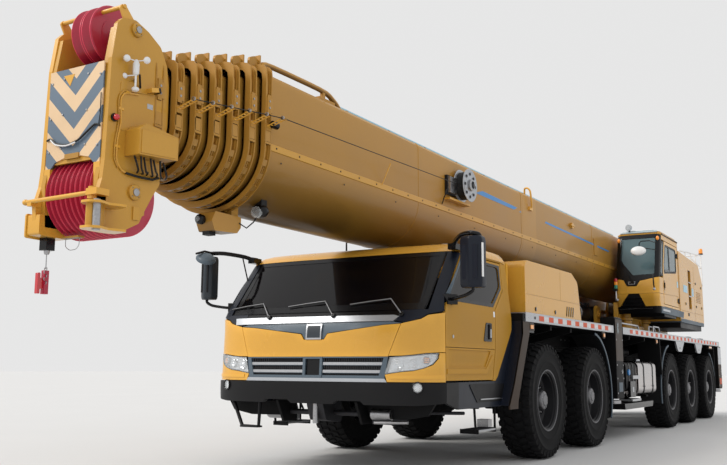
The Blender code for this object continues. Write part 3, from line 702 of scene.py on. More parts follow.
def collar(g, k):
    """The stiffened ring round the front end of a section: two rims, blocks between them, side plates and top ears."""
    s0 = -4.50 - 0.18 * k
    d = 0.042 * k
    o = 0.055 if k else 0.045
    m = "ochre2"
    w = 0.016
    for a, b, out in ((s0, s0 + 0.014, o), (s0 + 0.066, s0 + 0.074, o * 0.72), (s0 + 0.078, s0 + 0.09, o)):
        brings(g, [(a, d - out), (b, d - out), (b, d + w), (a, d + w)], m, loop=True)
    brings(g, [(s0 + 0.010, d - 0.016), (s0 + 0.082, d - 0.016), (s0 + 0.082, d + w), (s0 + 0.010, d + w)], "ochre", loop=True)
    # stiffener blocks along the belly, between the rims
    for i in range(1, 14):
        a = pi * (i + 0.15) / 14
        p, nor = belly_point(d, a)
        rot = nor.to_track_quat("Z", "Y").to_matrix()
        c = Vector((p[0], 0, p[1])) + nor * (o * 0.46)
        g.block((c.x, s0 + 0.040, c.z), (0.052, 0.054, o * 0.86), "ochre" if i % 2 else m, rot)
        a2 = pi * (i + 0.62) / 14
        p, nor = belly_point(d, a2)
        c = Vector((p[0], 0, p[1])) + nor * (o * 0.40)
        g.block((c.x, s0 + 0.042, c.z), (0.010, 0.07, o * 0.8), m, nor.to_track_quat("Z", "Y").to_matrix())
    for sg in (1, -1):
        h = 0.55 - d
        x = sg * (h + o * 0.5)
        # pad housings up the sides
        g.block((x, s0 + 0.052, 3.33 - d * 0.5), (o * 1.15, 0.085, 0.13), "ochre")
        g.block((x + sg * 0.012, s0 + 0.040, 3.33 - d * 0.5), (o * 0.9, 0.045, 0.17), m)
        g.block((x, s0 + 0.040, 3.05 - d * 0.3), (o * 1.0, 0.07, 0.10), "ochre")
        g.block((x + sg * 0.004, s0 + 0.040, 2.985 - d * 0.3), (o * 1.05, 0.082, 0.02), m)
        for z in (3.36, 3.30):
            g.turned("X", (sg * (h + o + 0.006) if sg > 0 else -(h + o + 0.016), s0 + 0.045, z - d * 0.5), [(0.011, 0), (0.011, 0.008), (0.006, 0.010)], 6, "steel")
        # ear on top: a rounded gusset with an upright flange
        xe = h - 0.115
        t = TOP - d
        ear = rounded([(s0 - 0.055, t + 0.035), (s0 - 0.055, t + 0.105), (s0 + 0.02, t + 0.135), (s0 + 0.085, t + 0.10), (s0 + 0.085, t - 0.01), (s0 + 0.01, t - 0.01), (s0 - 0.01, t + 0.02)], [0.01, 0.04, 0.03, 0.02, 0, 0, 0.02], 3)
        g.plate_x(sg * xe - 0.012, sg * xe + 0.012, ear, m)
        g.box(sg * xe - 0.030, sg * xe + 0.030, s0 + 0.066, s0 + 0.084, t - 0.02, t + 0.155, "ochre")
        g.box(sg * (xe - 0.03) - 0.05, sg * (xe - 0.03) + 0.05, s0 + 0.002, s0 + 0.088, t + 0.0, t + 0.045, m)
        g.plate_y(s0 + 0.03, s0 + 0.05, [(sg * (h - 0.02), t - 0.08), (sg * (h + o * 0.6), t - 0.10), (sg * (h + o * 0.6), t - 0.32), (sg * (h - 0.02), t - 0.34)], m)
    # cross bar and lugs over the top
    g.box(-(0.55 - d - 0.13), 0.55 - d - 0.13, s0 + 0.02, s0 + 0.07, TOP - d, TOP - d + 0.04, m)
    for x in (-0.16, 0.16):
        g.box(x - 0.035, x + 0.035, s0 + 0.005, s0 + 0.085, TOP - d, TOP - d + 0.06, "ochre")


def comb(g, k):
    """A small ladder-like arm that carries the length cable past a collar."""
    s0 = -4.50 - 0.18 * k
    h = 0.55 - 0.042 * k + (0.055 if k else 0.045)
    za = 3.125 - 0.008 * k
    x0, x1 = h - 0.02, h + 0.17
    for ds in (0.022, 0.068):
        g.bar((x0, s0 + ds, za), (x1, s0 + ds, za + 0.055), 0.0055, "yellow", 8)
    for i in range(6):
        f = 0.12 + 0.88 * i / 5
        x, z = x0 + (x1 - x0) * f, za + 0.055 * f
        g.bar((x, s0 + 0.018, z), (x, s0 + 0.072, z), 0.004, "yellow", 6)
    g.box(x0 - 0.005, x0 + 0.025, s0 + 0.012, s0 + 0.078, za - 0.03, za + 0.03, "ochre2")
    g.turned("Y", (x1, s0 + 0.012, za + 0.055), [(0.018, 0), (0.018, 0.012), (0.007, 0.012), (0.007, 0)], 12, "steel", loop=True, caps=False)
    return (x1, s0 + 0.045, za + 0.055)


def wire_run(g, p, q, r=0.0045):
    g.bar(p, q, r, "rubberhose", 8)


COMBS = []
for k in range(6, 0, -1):
    name = f"boom_section_{k}"
    g = Group(f"section_{k}_skin", name, (name,), smooth=30)
    front = -4.50 - 0.18 * k
    d = 0.042 * k
    rear = 9.08 - 0.02 * k
    brings(g, [(front, d), (front + 0.3, d), (2.0, d), (rear, d), (rear, d + 0.016), (2.0, d + 0.016), (front + 0.3, d + 0.016), (front, d + 0.016)], "ochre2", loop=True)
    collar(g, k)
    # wear pads at the rear end
    for sg in (1, -1):
        g.box(sg * (0.55 - d) - 0.006, sg * (0.55 - d) + 0.006, rear - 0.5, rear - 0.1, 3.2, 3.45 - d, "plastic")
    # telescoping pin blocks at the rear end
    g.box(-0.07, 0.07, rear - 0.34, rear - 0.06, TOP - d - 0.06, TOP - d - 0.018, "steel")
    if k <= 5:
        COMBS.append((k, comb(g, k)))
    g.done()
g = None

g = Group("boom_base_skin", "boom_base", ("boom_base_section",), smooth=30)
ss = [-4.50, -4.40, -2.0, 1.0, 4.0, 7.0, 9.60, 9.62]
brings(g, [(s, 0.0) for s in ss[:-1]] + [(9.62, 0.004), (9.62, 0.016)] + [(s, 0.016) for s in ss[:-1]][::-1], "ochre", loop=True, n=40)
collar(g, 0)
COMBS.append((0, comb(g, 0)))
for sg in (1, -1):
    x = 0.55 * sg
    # lap strip along the lower fold, with its small bolts
    g.rings([[(x - sg * 0.004, Y(s), 3.012), (x + sg * 0.006, Y(s), 3.005), (x + sg * 0.007, Y(s), 2.948), (x - sg * 0.004, Y(s), 2.94)] for s in (-4.395, 9.55)], "yellow2")
    for i in range(40):
        s = -4.28 + 0.352 * i
        g.turned("X", (x + sg * 0.006 if sg > 0 else x - 0.012, s, 2.978), [(0.009, 0), (0.009, 0.004), (0.005, 0.006)], 6, "iron")
        if i % 3 == 0:
            g.turned("X", (x + (-0.001 if sg > 0 else -0.005), s + 0.08, 2.86), [(0.008, 0), (0.008, 0.004), (0.005, 0.006)], 6, "iron")
    # top rails, coloured pale blue as a painted highlight along the top corners
    g.bar((sg * 0.455, -3.15, 3.678), (sg * 0.455, 6.95, 3.678), 0.014, "sky", 10)
    for i in range(12):
        g.box(sg * 0.455 - 0.02, sg * 0.455 + 0.02, -3.0 + 0.88 * i, -2.96 + 0.88 * i, TOP - 0.01, 3.672, "ochre2")
    g.tube([(sg * 0.45, -4.40, 3.70), (sg * 0.45, -4.36, 3.765), (sg * 0.45, -3.34, 3.775), (sg * 0.45, -3.16, 3.70), (sg * 0.45, -3.10, 3.655)], 0.026, "ochre", 12, round_steps=3)
    for s in (-4.33, -3.40):
        g.box(sg * 0.45 - 0.018, sg * 0.45 + 0.018, s - 0.02, s + 0.02, 3.655, 3.76, "ochre2")
    g.box(sg * 0.45 - 0.03, sg * 0.45 + 0.03, -3.50, -3.22, 3.655, 3.69, "ochre2")
    # foot pins and their doubler plates
    g.turned("X", (0, 9.30, 3.05), [(0.30, sg * 0.552), (0.30, sg * 0.566), (0.28, sg * 0.570)] if sg > 0 else [(0.28, -0.570), (0.30, -0.566), (0.30, -0.552)], 40, "ochre2")
    g.turned("X", (0, 9.30, 3.05), [(0.16, sg * 0.55), (0.16, sg * 0.592), (0.15, sg * 0.594)] if sg > 0 else [(0.15, -0.594), (0.16, -0.592), (0.16, -0.55)], 32, "steel")
    # eye lugs of the luffing cylinder, with a pad plate on the belly
    lug = rounded([(1.74, 2.53), (1.84, 2.06), (1.90, 1.965), (2.10, 1.965), (2.16, 2.06), (2.26, 2.53)], [0, 0.03, 0.05, 0.05, 0.03, 0], 4)
    a, b = sorted((sg * 0.132, sg * 0.178))
    g.plate_x(a, b, lug, "ochre2")
    g.turned("X", (a if sg < 0 else b, 2.0, 2.10), [(0.09, -0.012 if sg < 0 else 0), (0.09, 0 if sg < 0 else 0.012)], 24, "steel")
    # plain stripes
    stripe = [(0.05, 3.335), (0.30, 3.40), (1.55, 3.372), (1.42, 3.325)]
    g.plate_x(*sorted((x - sg * 0.002, x + sg * 0.0022)), stripe, "blue")
    g.plate_x(*sorted((x - sg * 0.002, x + sg * 0.0022)), [(1.62, 3.322), (1.75, 3.372), (2.02, 3.366), (1.89, 3.316)], "bluegrey")
    g.plate_x(*sorted((x - sg * 0.002, x + sg * 0.0022)), [(2.72, 3.315), (2.76, 3.345), (6.30, 3.29), (6.26, 3.26)], "blue")
    # rope loop and cleat on the side
    g.tube([(x, 2.06, 3.44), (x + sg * 0.045, 2.04, 3.46), (x + sg * 0.045, 1.99, 3.70), (x, 1.99, 3.745), (x - sg * 0.06, 2.02, 3.75), (x - sg * 0.07, 2.05, 3.64)], 0.014, "yellow", 10, round_steps=2)
    g.box(*sorted((x, x + sg * 0.03)), 1.99, 2.12, 3.41, 3.46, "yellow")
    g.box(*sorted((x, x + sg * 0.035)), 4.00, 4.06, 3.41, 3.50, "yellow")
    g.bar((x + sg * 0.03, 3.93, 3.455), (x + sg * 0.03, 4.13, 3.455), 0.013, "yellow", 8)
    for s in (5.3, 7.9):
        g.box(*sorted((x, x + sg * 0.012)), s, s + 0.20, 3.10, 3.40, "ochre2")
# weld seams round the belly where the plates join
for s in (1.758, 5.20, -1.55):
    brings(g, [(s - 0.006, -0.0005), (s - 0.003, -0.004), (s + 0.003, -0.004), (s + 0.006, -0.0005), (s + 0.006, 0.01), (s - 0.006, 0.01)], "ochre", loop=True, n=40)
brings(g, [(1.70, -0.003), (2.32, -0.003), (2.32, 0.01), (1.70, 0.01)], "ochre", loop=True, n=40)
# rear end: frame ring, cross tube and hose bundle
brings(g, [(9.44, -0.012), (9.61, -0.012), (9.61, 0.01), (9.44, 0.01)], "ochre2", loop=True, n=40)
g.box(-0.40, 0.40, 9.40, 9.46, 2.62, 3.56, "frame")
for x, z in ((-0.2, 3.3), (0.0, 3.32), (0.2, 3.3), (0.0, 2.9)):
    g.turned("Y", (x, 9.45, z), [(0.05, 0), (0.05, 0.06), (0.035, 0.08)], 16, "steel")
# camera box and lamp under the front end
g.plate_x(0.02, 0.20, rounded([(-4.70, 2.30), (-4.66, 2.22), (-4.36, 2.235), (-4.31, 2.29), (-4.31, 2.385), (-4.66, 2.39)], 0.018, 3), "ochre")
g.box(0.04, 0.18, -4.42, -4.33, 2.38, 2.50, "ochre2")
g.turned("Y", (0.10, -4.775, 2.315), [(0.028, 0), (0.044, 0.02), (0.044, 0.06), (0.03, 0.08)], 18, "gloss")
g.turned("Y", (0.10, -4.782, 2.315), [(0.010, 0), (0.024, 0.004), (0.026, 0.012)], 18, "lens")
g.box(0.06, 0.14, -4.66, -4.58, 2.19, 2.225, "plastic")
g.ball((0.30, -4.16, 2.455), (0.078, 0.078, 0.062), "gloss", 20, 10)
g.turned("Y", (0.30, -4.235, 2.44), [(0.03, -0.004), (0.05, 0.0), (0.055, 0.03)], 20, "lens")
g.box(0.26, 0.34, -4.20, -4.12, 2.48, 2.56, "plastic")
g.tube([(0.20, -4.34, 2.33), (0.24, -4.28, 2.29), (0.27, -4.22, 2.35), (0.30, -4.19, 2.42)], 0.006, "rubberhose", 6)
# small dark sensor beside the first comb
g.turned("Y", (0.62, -4.44, 3.155), [(0.02, 0), (0.033, 0.006), (0.033, 0.075), (0.02, 0.085)], 16, "gloss")
g.box(0.545, 0.62, -4.43, -4.37, 3.14, 3.17, "ochre2")
# reel carrier: base plate, spindle and tray with its grey cable box
g.box(0.548, 0.574, -0.60, -0.34, 3.19, 3.45, "ochre2")
g.turned("X", (0, -0.47, 3.32), [(0.036, 0.55), (0.036, 0.583), (0.030, 0.583), (0.030, 0.722), (0.024, 0.728)], 20, "steel")
g.box(0.552, 0.585, -0.86, -0.62, 3.16, 3.40, "plastic")
g.box(0.585, 0.62, -0.84, -0.64, 3.18, 3.38, "steel")
g.box(0.552, 0.64, -0.90, -0.30, 3.085, 3.11, "yellow2")
g.tube([(0.60, -0.86, 3.22), (0.63, -0.98, 3.18), (0.64, -1.02, 3.13), (0.60, -1.00, 3.06), (0.556, -0.94, 3.03)], 0.007, "rubberhose", 6)
# length cable from the reel to the first comb, with a clip
COMBS.sort()
wire_run(g, (0.655, -0.66, 3.30), COMBS[0][1])
g.bar((0.556, -2.4, 2.995), (0.662, -2.4, 3.218), 0.006, "yellow", 6)
# top walkway plates and hose guide
for i in range(9):
    g.box(-0.20, 0.20, -2.9 + 1.1 * i, -2.0 + 1.1 * i, TOP - 0.002, TOP + 0.006, "ochre2")
for x in (-0.30, 0.30):
    g.bar((x, -4.2, 3.672), (x, 8.9, 3.672), 0.012, "rubberhose", 8)
g.done()

for (k, p), (k2, q) in zip(COMBS, COMBS[1:]):
    g = Group(f"cable_run_{k2}", f"boom_section_{k2}", smooth=40)
    wire_run(g, (q[0], q[1] + 0.002, q[2]), (q[0] + (p[0] - q[0]) * 0.97, q[1] + 0.174, q[2] + (p[2] - q[2]) * 0.97))
    g.done()

# cable reel: two pressed discs with holes, a wound cable and a hub motor
g = Group("reel_disc_set", "cable_reel", ("cable_reel",), smooth=30)
for a, sgn in ((0.587, 1), (0.709, -1)):
    g.turned("X", (0, -0.47, 3.32), [(0.047, a), (0.10, a), (0.11, a + 0.004 * sgn), (0.19, a + 0.004 * sgn), (0.205, a - 0.002 * sgn), (0.21, a + 0.002), (0.207, a + 0.008), (0.19, a + 0.008 + 0.004 * sgn), (0.11, a + 0.008 + 0.004 * sgn), (0.10, a + 0.008), (0.047, a + 0.008)] if sgn > 0 else
             [(0.047, a), (0.10, a), (0.11, a - 0.004), (0.19, a - 0.004), (0.207, a), (0.21, a + 0.004), (0.205, a + 0.010), (0.19, a + 0.004), (0.11, a + 0.004), (0.10, a + 0.008), (0.047, a + 0.008)], 48, "silver", loop=True, caps=False)
g.turned("X", (0, -0.47, 3.32), [(0.047, 0.596), (0.10, 0.596)] + [(0.172 + (0.004 if i % 2 else 0.0), 0.598 + 0.0055 * i) for i in range(20)] + [(0.10, 0.708), (0.047, 0.708)], 40, "rubberhose", loop=True, caps=False)
for i in range(8):
    a = 2 * pi * i / 8
    g.turned("X", (0.7185, -0.47 + 0.145 * cos(a), 3.32 + 0.145 * sin(a)), [(0.020, 0), (0.020, 0.002), (0.010, 0.003)], 10, "iron")
g.turned("X", (0, -0.47, 3.32), [(0.048, 0.717), (0.075, 0.719), (0.075, 0.745), (0.060, 0.755), (0.048, 0.756)], 28, "steel", loop=True, caps=False)
g.done()
# ------------------------------------------------------------------ boom head
g = Group("boom_head_skin", "boom_section_6", ("boom_head",), bevel=0.003, smooth=35)
head = [(-6.03, 3.32), (-5.99, 3.60), (-5.94, 3.655), (-5.81, 3.68), (-5.67, 3.63), (-5.535, 3.55), (-5.46, 3.42), (-5.43, 3.25), (-5.43, 2.93),
        (-5.49, 2.64), (-5.49, 2.45), (-5.56, 2.35), (-5.65, 2.20), (-5.69, 2.12), (-5.86, 2.035), (-6.09, 2.03), (-6.11, 2.25), (-6.065, 2.40), (-6.05, 2.55)]
head = rounded(head, [0.02, 0.03, 0.03, 0.06, 0.06, 0.06, 0.05, 0.06, 0.08, 0.06, 0.05, 0.04, 0.04, 0.03, 0.05, 0.02, 0.03, 0.03, 0.03], 3)
core = [(-6.03, 3.28), (-5.98, 3.58), (-5.90, 3.62), (-5.62, 3.62), (-5.60, 3.44), (-5.60, 2.62), (-5.60, 2.20), (-5.80, 2.09), (-6.05, 2.09), (-6.07, 2.40), (-6.045, 2.55)]
for sg in (1, -1):
    g.plate_x(*sorted((sg * 0.305, sg * 0.345)), head, "yellow2" if sg > 0 else "yellow")
    g.plate_x(*sorted((sg * 0.262, sg * 0.306)), core, "yellow2")
    # round bosses of the sheave axles
    for cs, cz, r in ((-5.80, 3.60, 0.055), (-5.755, 2.345, 0.06)):
        g.turned("X", (0, cs, cz), [(r, 0.34), (r, 0.362), (r * 0.8, 0.370)] if sg > 0 else [(r * 0.8, -0.370), (r, -0.362), (r, -0.34)], 28, "yellow2")
        g.turned("X", (0, cs, cz), [(r * 0.5, 0.36), (r * 0.5, 0.378), (r * 0.4, 0.382)] if sg > 0 else [(r * 0.4, -0.382), (r * 0.5, -0.378), (r * 0.5, -0.36)], 20, "steel")
        for i in range(4):
            a = pi / 4 + i * pi / 2
            g.turned("X", (sg * 0.362 if sg > 0 else -0.370, cs + r * 0.75 * cos(a), cz + r * 0.75 * sin(a)), [(0.007, 0), (0.007, 0.008)], 6, "steel")
    # keeper plate
    g.box(*sorted((sg * 0.345, sg * 0.356)), -5.76, -5.70, 2.14, 2.24, "yellow2")
    # top guard arms
    arm = rounded([(-5.965, 3.735), (-5.945, 3.765), (-5.905, 3.765), (-5.78, 3.64), (-5.84, 3.58), (-5.90, 3.62)], 0.012, 3)
    g.plate_x(*sorted((sg * 0.318, sg * 0.334)), arm, "yellow")
    # raised panel edge of the plate
    g.plate_x(*sorted((sg * 0.344, sg * 0.349)), rounded([(-5.93, 3.17), (-5.50, 3.22), (-5.475, 2.95), (-5.53, 2.86), (-5.62, 2.90), (-5.91, 2.78), (-5.95, 2.95)], 0.03, 3), "yellow2")
    # stiffening ribs behind the front plate
    g.box(*sorted((sg * 0.20, sg * 0.262)), -5.99, -5.60, 2.95, 2.97, "ochre2")
g.bar((-0.345, -5.935, 3.745), (0.345, -5.925, 3.752), 0.017, "yellow", 14)
g.bar((0, -5.80, 3.60), (0.26, -5.80, 3.60), 0.045, "steel", 20)
g.bar((-0.26, -5.80, 3.60), (0, -5.80, 3.60), 0.045, "steel", 20)
g.bar((-0.30, -5.755, 2.345), (0.30, -5.755, 2.345), 0.055, "steel", 20)
# front plate, cut to an arch over the lower sheaves, and its yellow frame
outer = [(-0.292, 3.295), (0.292, 3.295), (0.292, 2.53), (0.225, 2.535), (0.18, 2.58), (0.09, 2.600), (-0.09, 2.600), (-0.19, 2.575), (-0.235, 2.53), (-0.292, 2.53)]
g.plate_y(-6.052, -6.040, outer, "chevron")
g.plate_y(-6.040, -6.015, [(-0.27, 3.29), (0.27, 3.29), (0.27, 2.56), (-0.27, 2.56)], "yellow2")
g.plate_y(-6.010, -5.99, [(-0.27, 3.29), (-0.27, 3.31), (0.27, 3.31), (0.27, 3.29)], "yellow")
for sg in (1, -1):
    g.box(*sorted((sg * 0.235, sg * 0.30)), -6.055, -6.03, 2.30, 2.532, "yellow")
    for z in (3.20, 2.92, 2.66):
        for x in (0.13, 0.26):
            g.turned("Y", (sg * x, -6.060, z + (0.02 if x < 0.2 else 0)), [(0.005, 0), (0.009, 0.003), (0.009, 0.010)], 8, "steel")
g.box(-0.075, 0.075, -6.062, -6.045, 2.585, 2.625, "ochre2")
g.plate_y(-6.0545, -6.050, [(-0.14, 3.245), (-0.02, 3.245), (-0.065, 3.155)], "yellow")
g.box(-0.262, 0.262, -5.62, -5.60, 2.72, 3.30, "ochre2")
g.box(-0.262, 0.262, -5.98, -5.62, 2.70, 2.72, "ochre2")
# cross tubes of the head
g.bar((-0.30, -5.66, 3.48), (0.30, -5.66, 3.48), 0.03, "yellow2", 14)
g.bar((-0.30, -5.55, 2.62), (0.30, -5.55, 2.62), 0.03, "yellow2", 14)
# retaining bar in front of the lower sheaves
g.bar((-0.375, -6.14, 2.275), (0.40, -6.14, 2.285), 0.017, "yellow", 14)
g.ball((-0.38, -6.14, 2.275), (0.03, 0.024, 0.024), "yellow", 12, 6)
g.box(0.30, 0.41, -6.17, -6.05, 2.262, 2.31, "yellow")
g.turned("Z", (0.335, -6.14, 2.305), [(0.03, 0), (0.03, 0.018), (0.015, 0.022)], 16, "yellow")
for sg in (1, -1):
    g.box(*sorted((sg * 0.30, sg * 0.345)), -6.155, -6.02, 2.24, 2.285, "yellow")
# rope anchor bracket with two flanges, left side
fl = rounded([(0.33, -6.02), (0.33, -6.22), (0.37, -6.27), (0.46, -6.27), (0.50, -6.20), (0.47, -6.10), (0.52, -5.96), (0.36, -5.94)], 0.03, 3)
g.plate_z(2.185, 2.203, fl, "yellow")
g.plate_z(2.005, 2.023, fl, "yellow")
g.plate_z(2.02, 2.188, rounded([(0.34, -6.02), (0.345, -6.20), (0.39, -6.24), (0.43, -6.22), (0.42, -6.12), (0.37, -6.04)], 0.02, 3), "yellow2")
g.turned("Z", (0.445, -6.19, 1.996), [(0.028, 0), (0.028, 0.215), (0.02, 0.222)], 16, "steel")
# lower bracket with the limit switch, right side
g.plate_x(-0.40, -0.262, rounded([(-6.10, 2.185), (-6.10, 2.03), (-5.83, 2.02), (-5.78, 2.09), (-5.80, 2.18)], [0.01, 0.02, 0.03, 0.05, 0.02], 3), "yellow")
g.plate_x(-0.415, -0.40, rounded([(-6.11, 2.20), (-6.11, 2.015), (-5.88, 2.01), (-5.86, 2.19)], 0.02, 3), "yellow")
g.box(-0.385, -0.305, -5.99, -5.91, 1.93, 2.03, "gloss")
g.turned("Z", (-0.345, -5.95, 1.90), [(0.016, 0), (0.022, 0.012), (0.022, 0.035)], 12, "steel")
g.bar((-0.345, -5.95, 1.79), (-0.345, -5.95, 1.905), 0.004, "steel", 6)
for i in range(5):
    z = 1.79 - 0.026 * i
    g.turned("X" if i % 2 else "Y", (-0.345 - (0.003 if i % 2 else 0), -5.95 - (0 if i % 2 else 0.003), z), [(0.011, 0), (0.011, 0.006), (0.017, 0.006), (0.017, 0)], 10, "steel", loop=True, caps=False)
g.plate_x(-0.385, -0.355, rounded([(-6.01, 1.76), (-6.01, 1.60), (-5.985, 1.60), (-5.985, 1.64), (-5.93, 1.64), (-5.93, 1.72), (-5.985, 1.72), (-5.985, 1.76)], 0.008, 2), "redlamp")
g.box(-0.380, -0.340, -5.96, -5.92, 1.60, 1.78, "red")
# thin wire loop under the sheaves
g.tube([(-0.20, -5.90, 2.02), (-0.20, -5.90, 1.955), (-0.15, -5.90, 1.925), (-0.08, -5.90, 1.93), (-0.05, -5.90, 1.96), (-0.05, -5.90, 2.02)], 0.003, "steel", 6, round_steps=3)
g.box(-0.22, -0.03, -5.93, -5.87, 2.015, 2.03, "ochre2")
# clipped cable across the foot of the front plate
g.tube([(-0.285, -6.058, 2.755), (-0.24, -6.062, 2.765), (-0.17, -6.066, 2.715), (-0.05, -6.068, 2.690), (0.07, -6.068, 2.712), (0.17, -6.066, 2.775), (0.24, -6.062, 2.82), (0.285, -6.058, 2.80)], 0.008, "rubberhose", 8, round_steps=2)
g.tube([(-0.23, -6.07, 2.752), (-0.17, -6.074, 2.705), (-0.05, -6.076, 2.682), (0.05, -6.075, 2.700)], 0.006, "white", 6, round_steps=2)
g.tube([(0.27, -6.058, 2.80), (0.285, -6.06, 2.90), (0.283, -6.06, 3.05)], 0.004, "rubberhose", 6)
# anemometer on its stalk
ax, asn, az = 0.40, -5.84, 3.30
g.bar((0.345, -5.80, 3.20), (ax, asn, 3.20), 0.009, "steel", 8)
g.bar((ax, asn, 3.13), (ax, asn, 3.24), 0.008, "white", 10)
g.turned("Z", (ax, asn, 3.225), [(0.015, 0), (0.024, 0.012), (0.026, 0.085), (0.018, 0.105), (0.010, 0.12)], 18, "white")
for t in (0.35, 2.45, 4.55):
    cx, cs = ax + 0.085 * cos(t), asn + 0.085 * sin(t)
    g.bar((ax, asn, 3.335), (cx, cs, 3.335), 0.004, "white", 6)
    g.ball((cx, cs, 3.335), (0.027, 0.027, 0.027), "white", 14, 8)
g.bar((ax, asn, 3.225), (ax - 0.06, asn - 0.05, 3.215), 0.005, "white", 6)
g.ball((ax - 0.065, asn - 0.055, 3.215), (0.026, 0.026, 0.024), "white", 14, 8)
g.ball((ax, asn, 3.115), (0.030, 0.030, 0.020), "white", 14, 8)
g.bar((ax + 0.02, asn + 0.02, 3.23), (0.35, -5.74, 3.16), 0.008, "plastic", 8)
# work lamp and its cable; side marker lamp; conduit
g.block((0.375, -5.63, 3.165), (0.06, 0.085, 0.035), "yellow", Matrix.Rotation(0.25, 3, "X"))
g.block((0.375, -5.585, 3.172), (0.065, 0.02, 0.042), "gloss", Matrix.Rotation(0.25, 3, "X"))
g.tube([(0.352, -5.76, 3.10), (0.353, -5.90, 3.08), (0.353, -5.935, 3.02), (0.353, -5.92, 2.85), (0.353, -5.95, 2.70), (0.353, -5.95, 2.55), (0.353, -5.90, 2.49), (0.36, -5.82, 2.47)], 0.008, "yellow", 8, round_steps=3)
g.tube([(0.352, -5.60, 3.14), (0.353, -5.75, 3.12), (0.353, -5.91, 3.095), (0.353, -5.955, 3.03), (0.353, -5.94, 2.85), (0.353, -5.97, 2.68), (0.353, -5.97, 2.56), (0.353, -5.93, 2.50)], 0.006, "yellow2", 8, round_steps=3)
for s, z in ((-5.86, 3.09), (-5.925, 2.95), (-5.945, 2.66)):
    g.block((0.352, s, z), (0.012, 0.05, 0.02), "yellow")
g.turned("X", (0.345, -5.985, 2.868), [(0.03, 0), (0.032, 0.012), (0.028, 0.016)], 18, "gloss")
g.ball((0.375, -5.985, 2.868), (0.026, 0.024, 0.024), "redlamp", 16, 8)
g.turned("X", (-0.362, -5.99, 2.87), [(0.02, 0), (0.028, 0.004), (0.028, 0.018)], 16, "orange")
# junction box with its hanging bundle of cables
g.plate_x(0.345, 0.50, rounded([(-5.865, 2.80), (-5.865, 2.60), (-5.46, 2.63), (-5.46, 2.81), (-5.80, 2.845)], [0.015, 0.01, 0.01, 0.01, 0.02], 3), "yellow2")
g.plate_x(0.50, 0.506, [(-5.85, 2.79), (-5.85, 2.615), (-5.475, 2.642), (-5.475, 2.80)], "yellow2")
for i in range(7):
    f = i / 6
    s = -5.84 + 0.30 * f
    g.tube([(0.42 + 0.02 * (i % 2), s, 2.61), (0.43, s + 0.02, 2.55 - 0.03 * (i % 3)), (0.40, s + 0.07, 2.51 - 0.02 * (i % 2)), (0.355, s + 0.10, 2.50)], 0.008, "rubberhose", 7, round_steps=2)
g.tube([(0.36, -5.86, 2.475), (0.375, -5.75, 2.465), (0.375, -5.60, 2.47), (0.36, -5.52, 2.50)], 0.010, "rubberhose", 8)
# small blank data plate
g.box(0.349, 0.351, -5.66, -5.60, 3.02, 3.06, "alu2")
# links between the head and the last collar
for sg in (1, -1):
    g.box(*sorted((sg * 0.20, sg * 0.33)), -5.63, -5.50, 3.30, 3.42, "ochre2")
    g.plate_x(*sorted((sg * 0.29, sg * 0.305)), rounded([(-5.62, 3.40), (-5.48, 3.46), (-5.48, 3.20), (-5.62, 3.20)], 0.02, 3), "ochre2")
g.done()


def sheave_pack(name, body, node, centre, r, bore, count, pitch, n=56):
    g = Group(name, body, (node,), smooth=28)
    half = count * pitch / 2
    prof = [(bore, -half)]
    rims = []
    for i in range(count):
        a = -half + i * pitch
        w = pitch * 0.42
        prof += [(r - 0.008, a + 0.0005), (r - 0.002, a + pitch * 0.06), (r - 0.002, a + pitch * 0.13), (r - 0.035, a + pitch * 0.34), (r - 0.045, a + pitch * 0.5),
                 (r - 0.035, a + pitch * 0.66), (r - 0.002, a + pitch * 0.87), (r - 0.002, a + pitch * 0.94)]
        rims += [a + pitch * 0.095, a + pitch * 0.905]
    prof += [(r - 0.008, half - 0.0005), (bore, half)]
    g.turned("X", centre, prof, n, "red", loop=True, caps=False)
    # painted highlight: the crests beside each groove take a lighter copy of the sheave red
    for a in rims:
        g.turned("X", centre, [(r - 0.006, a - pitch * 0.022), (r, a - pitch * 0.018), (r, a + pitch * 0.018), (r - 0.006, a + pitch * 0.022)], n, "red_crest_highlight", loop=True, caps=False)
    for sg in (-1, 1):
        a = sg * half
        g.turned("X", centre, [(r * 0.55, a), (r * 0.55, a + sg * 0.004), (r * 0.50, a + sg * 0.006), (bore, a + sg * 0.006), (bore, a)], n, "red", loop=True, caps=False)
    g.done()


sheave_pack("upper_sheave_pack", "upper_sheaves", "upper_sheaves", (0, -5.80, 3.60), 0.24, 0.048, 2, 0.11)
sheave_pack("lower_sheave_pack", "lower_sheaves", "lower_sheaves", (0, -5.755, 2.345), 0.325, 0.058, 9, 0.0533)
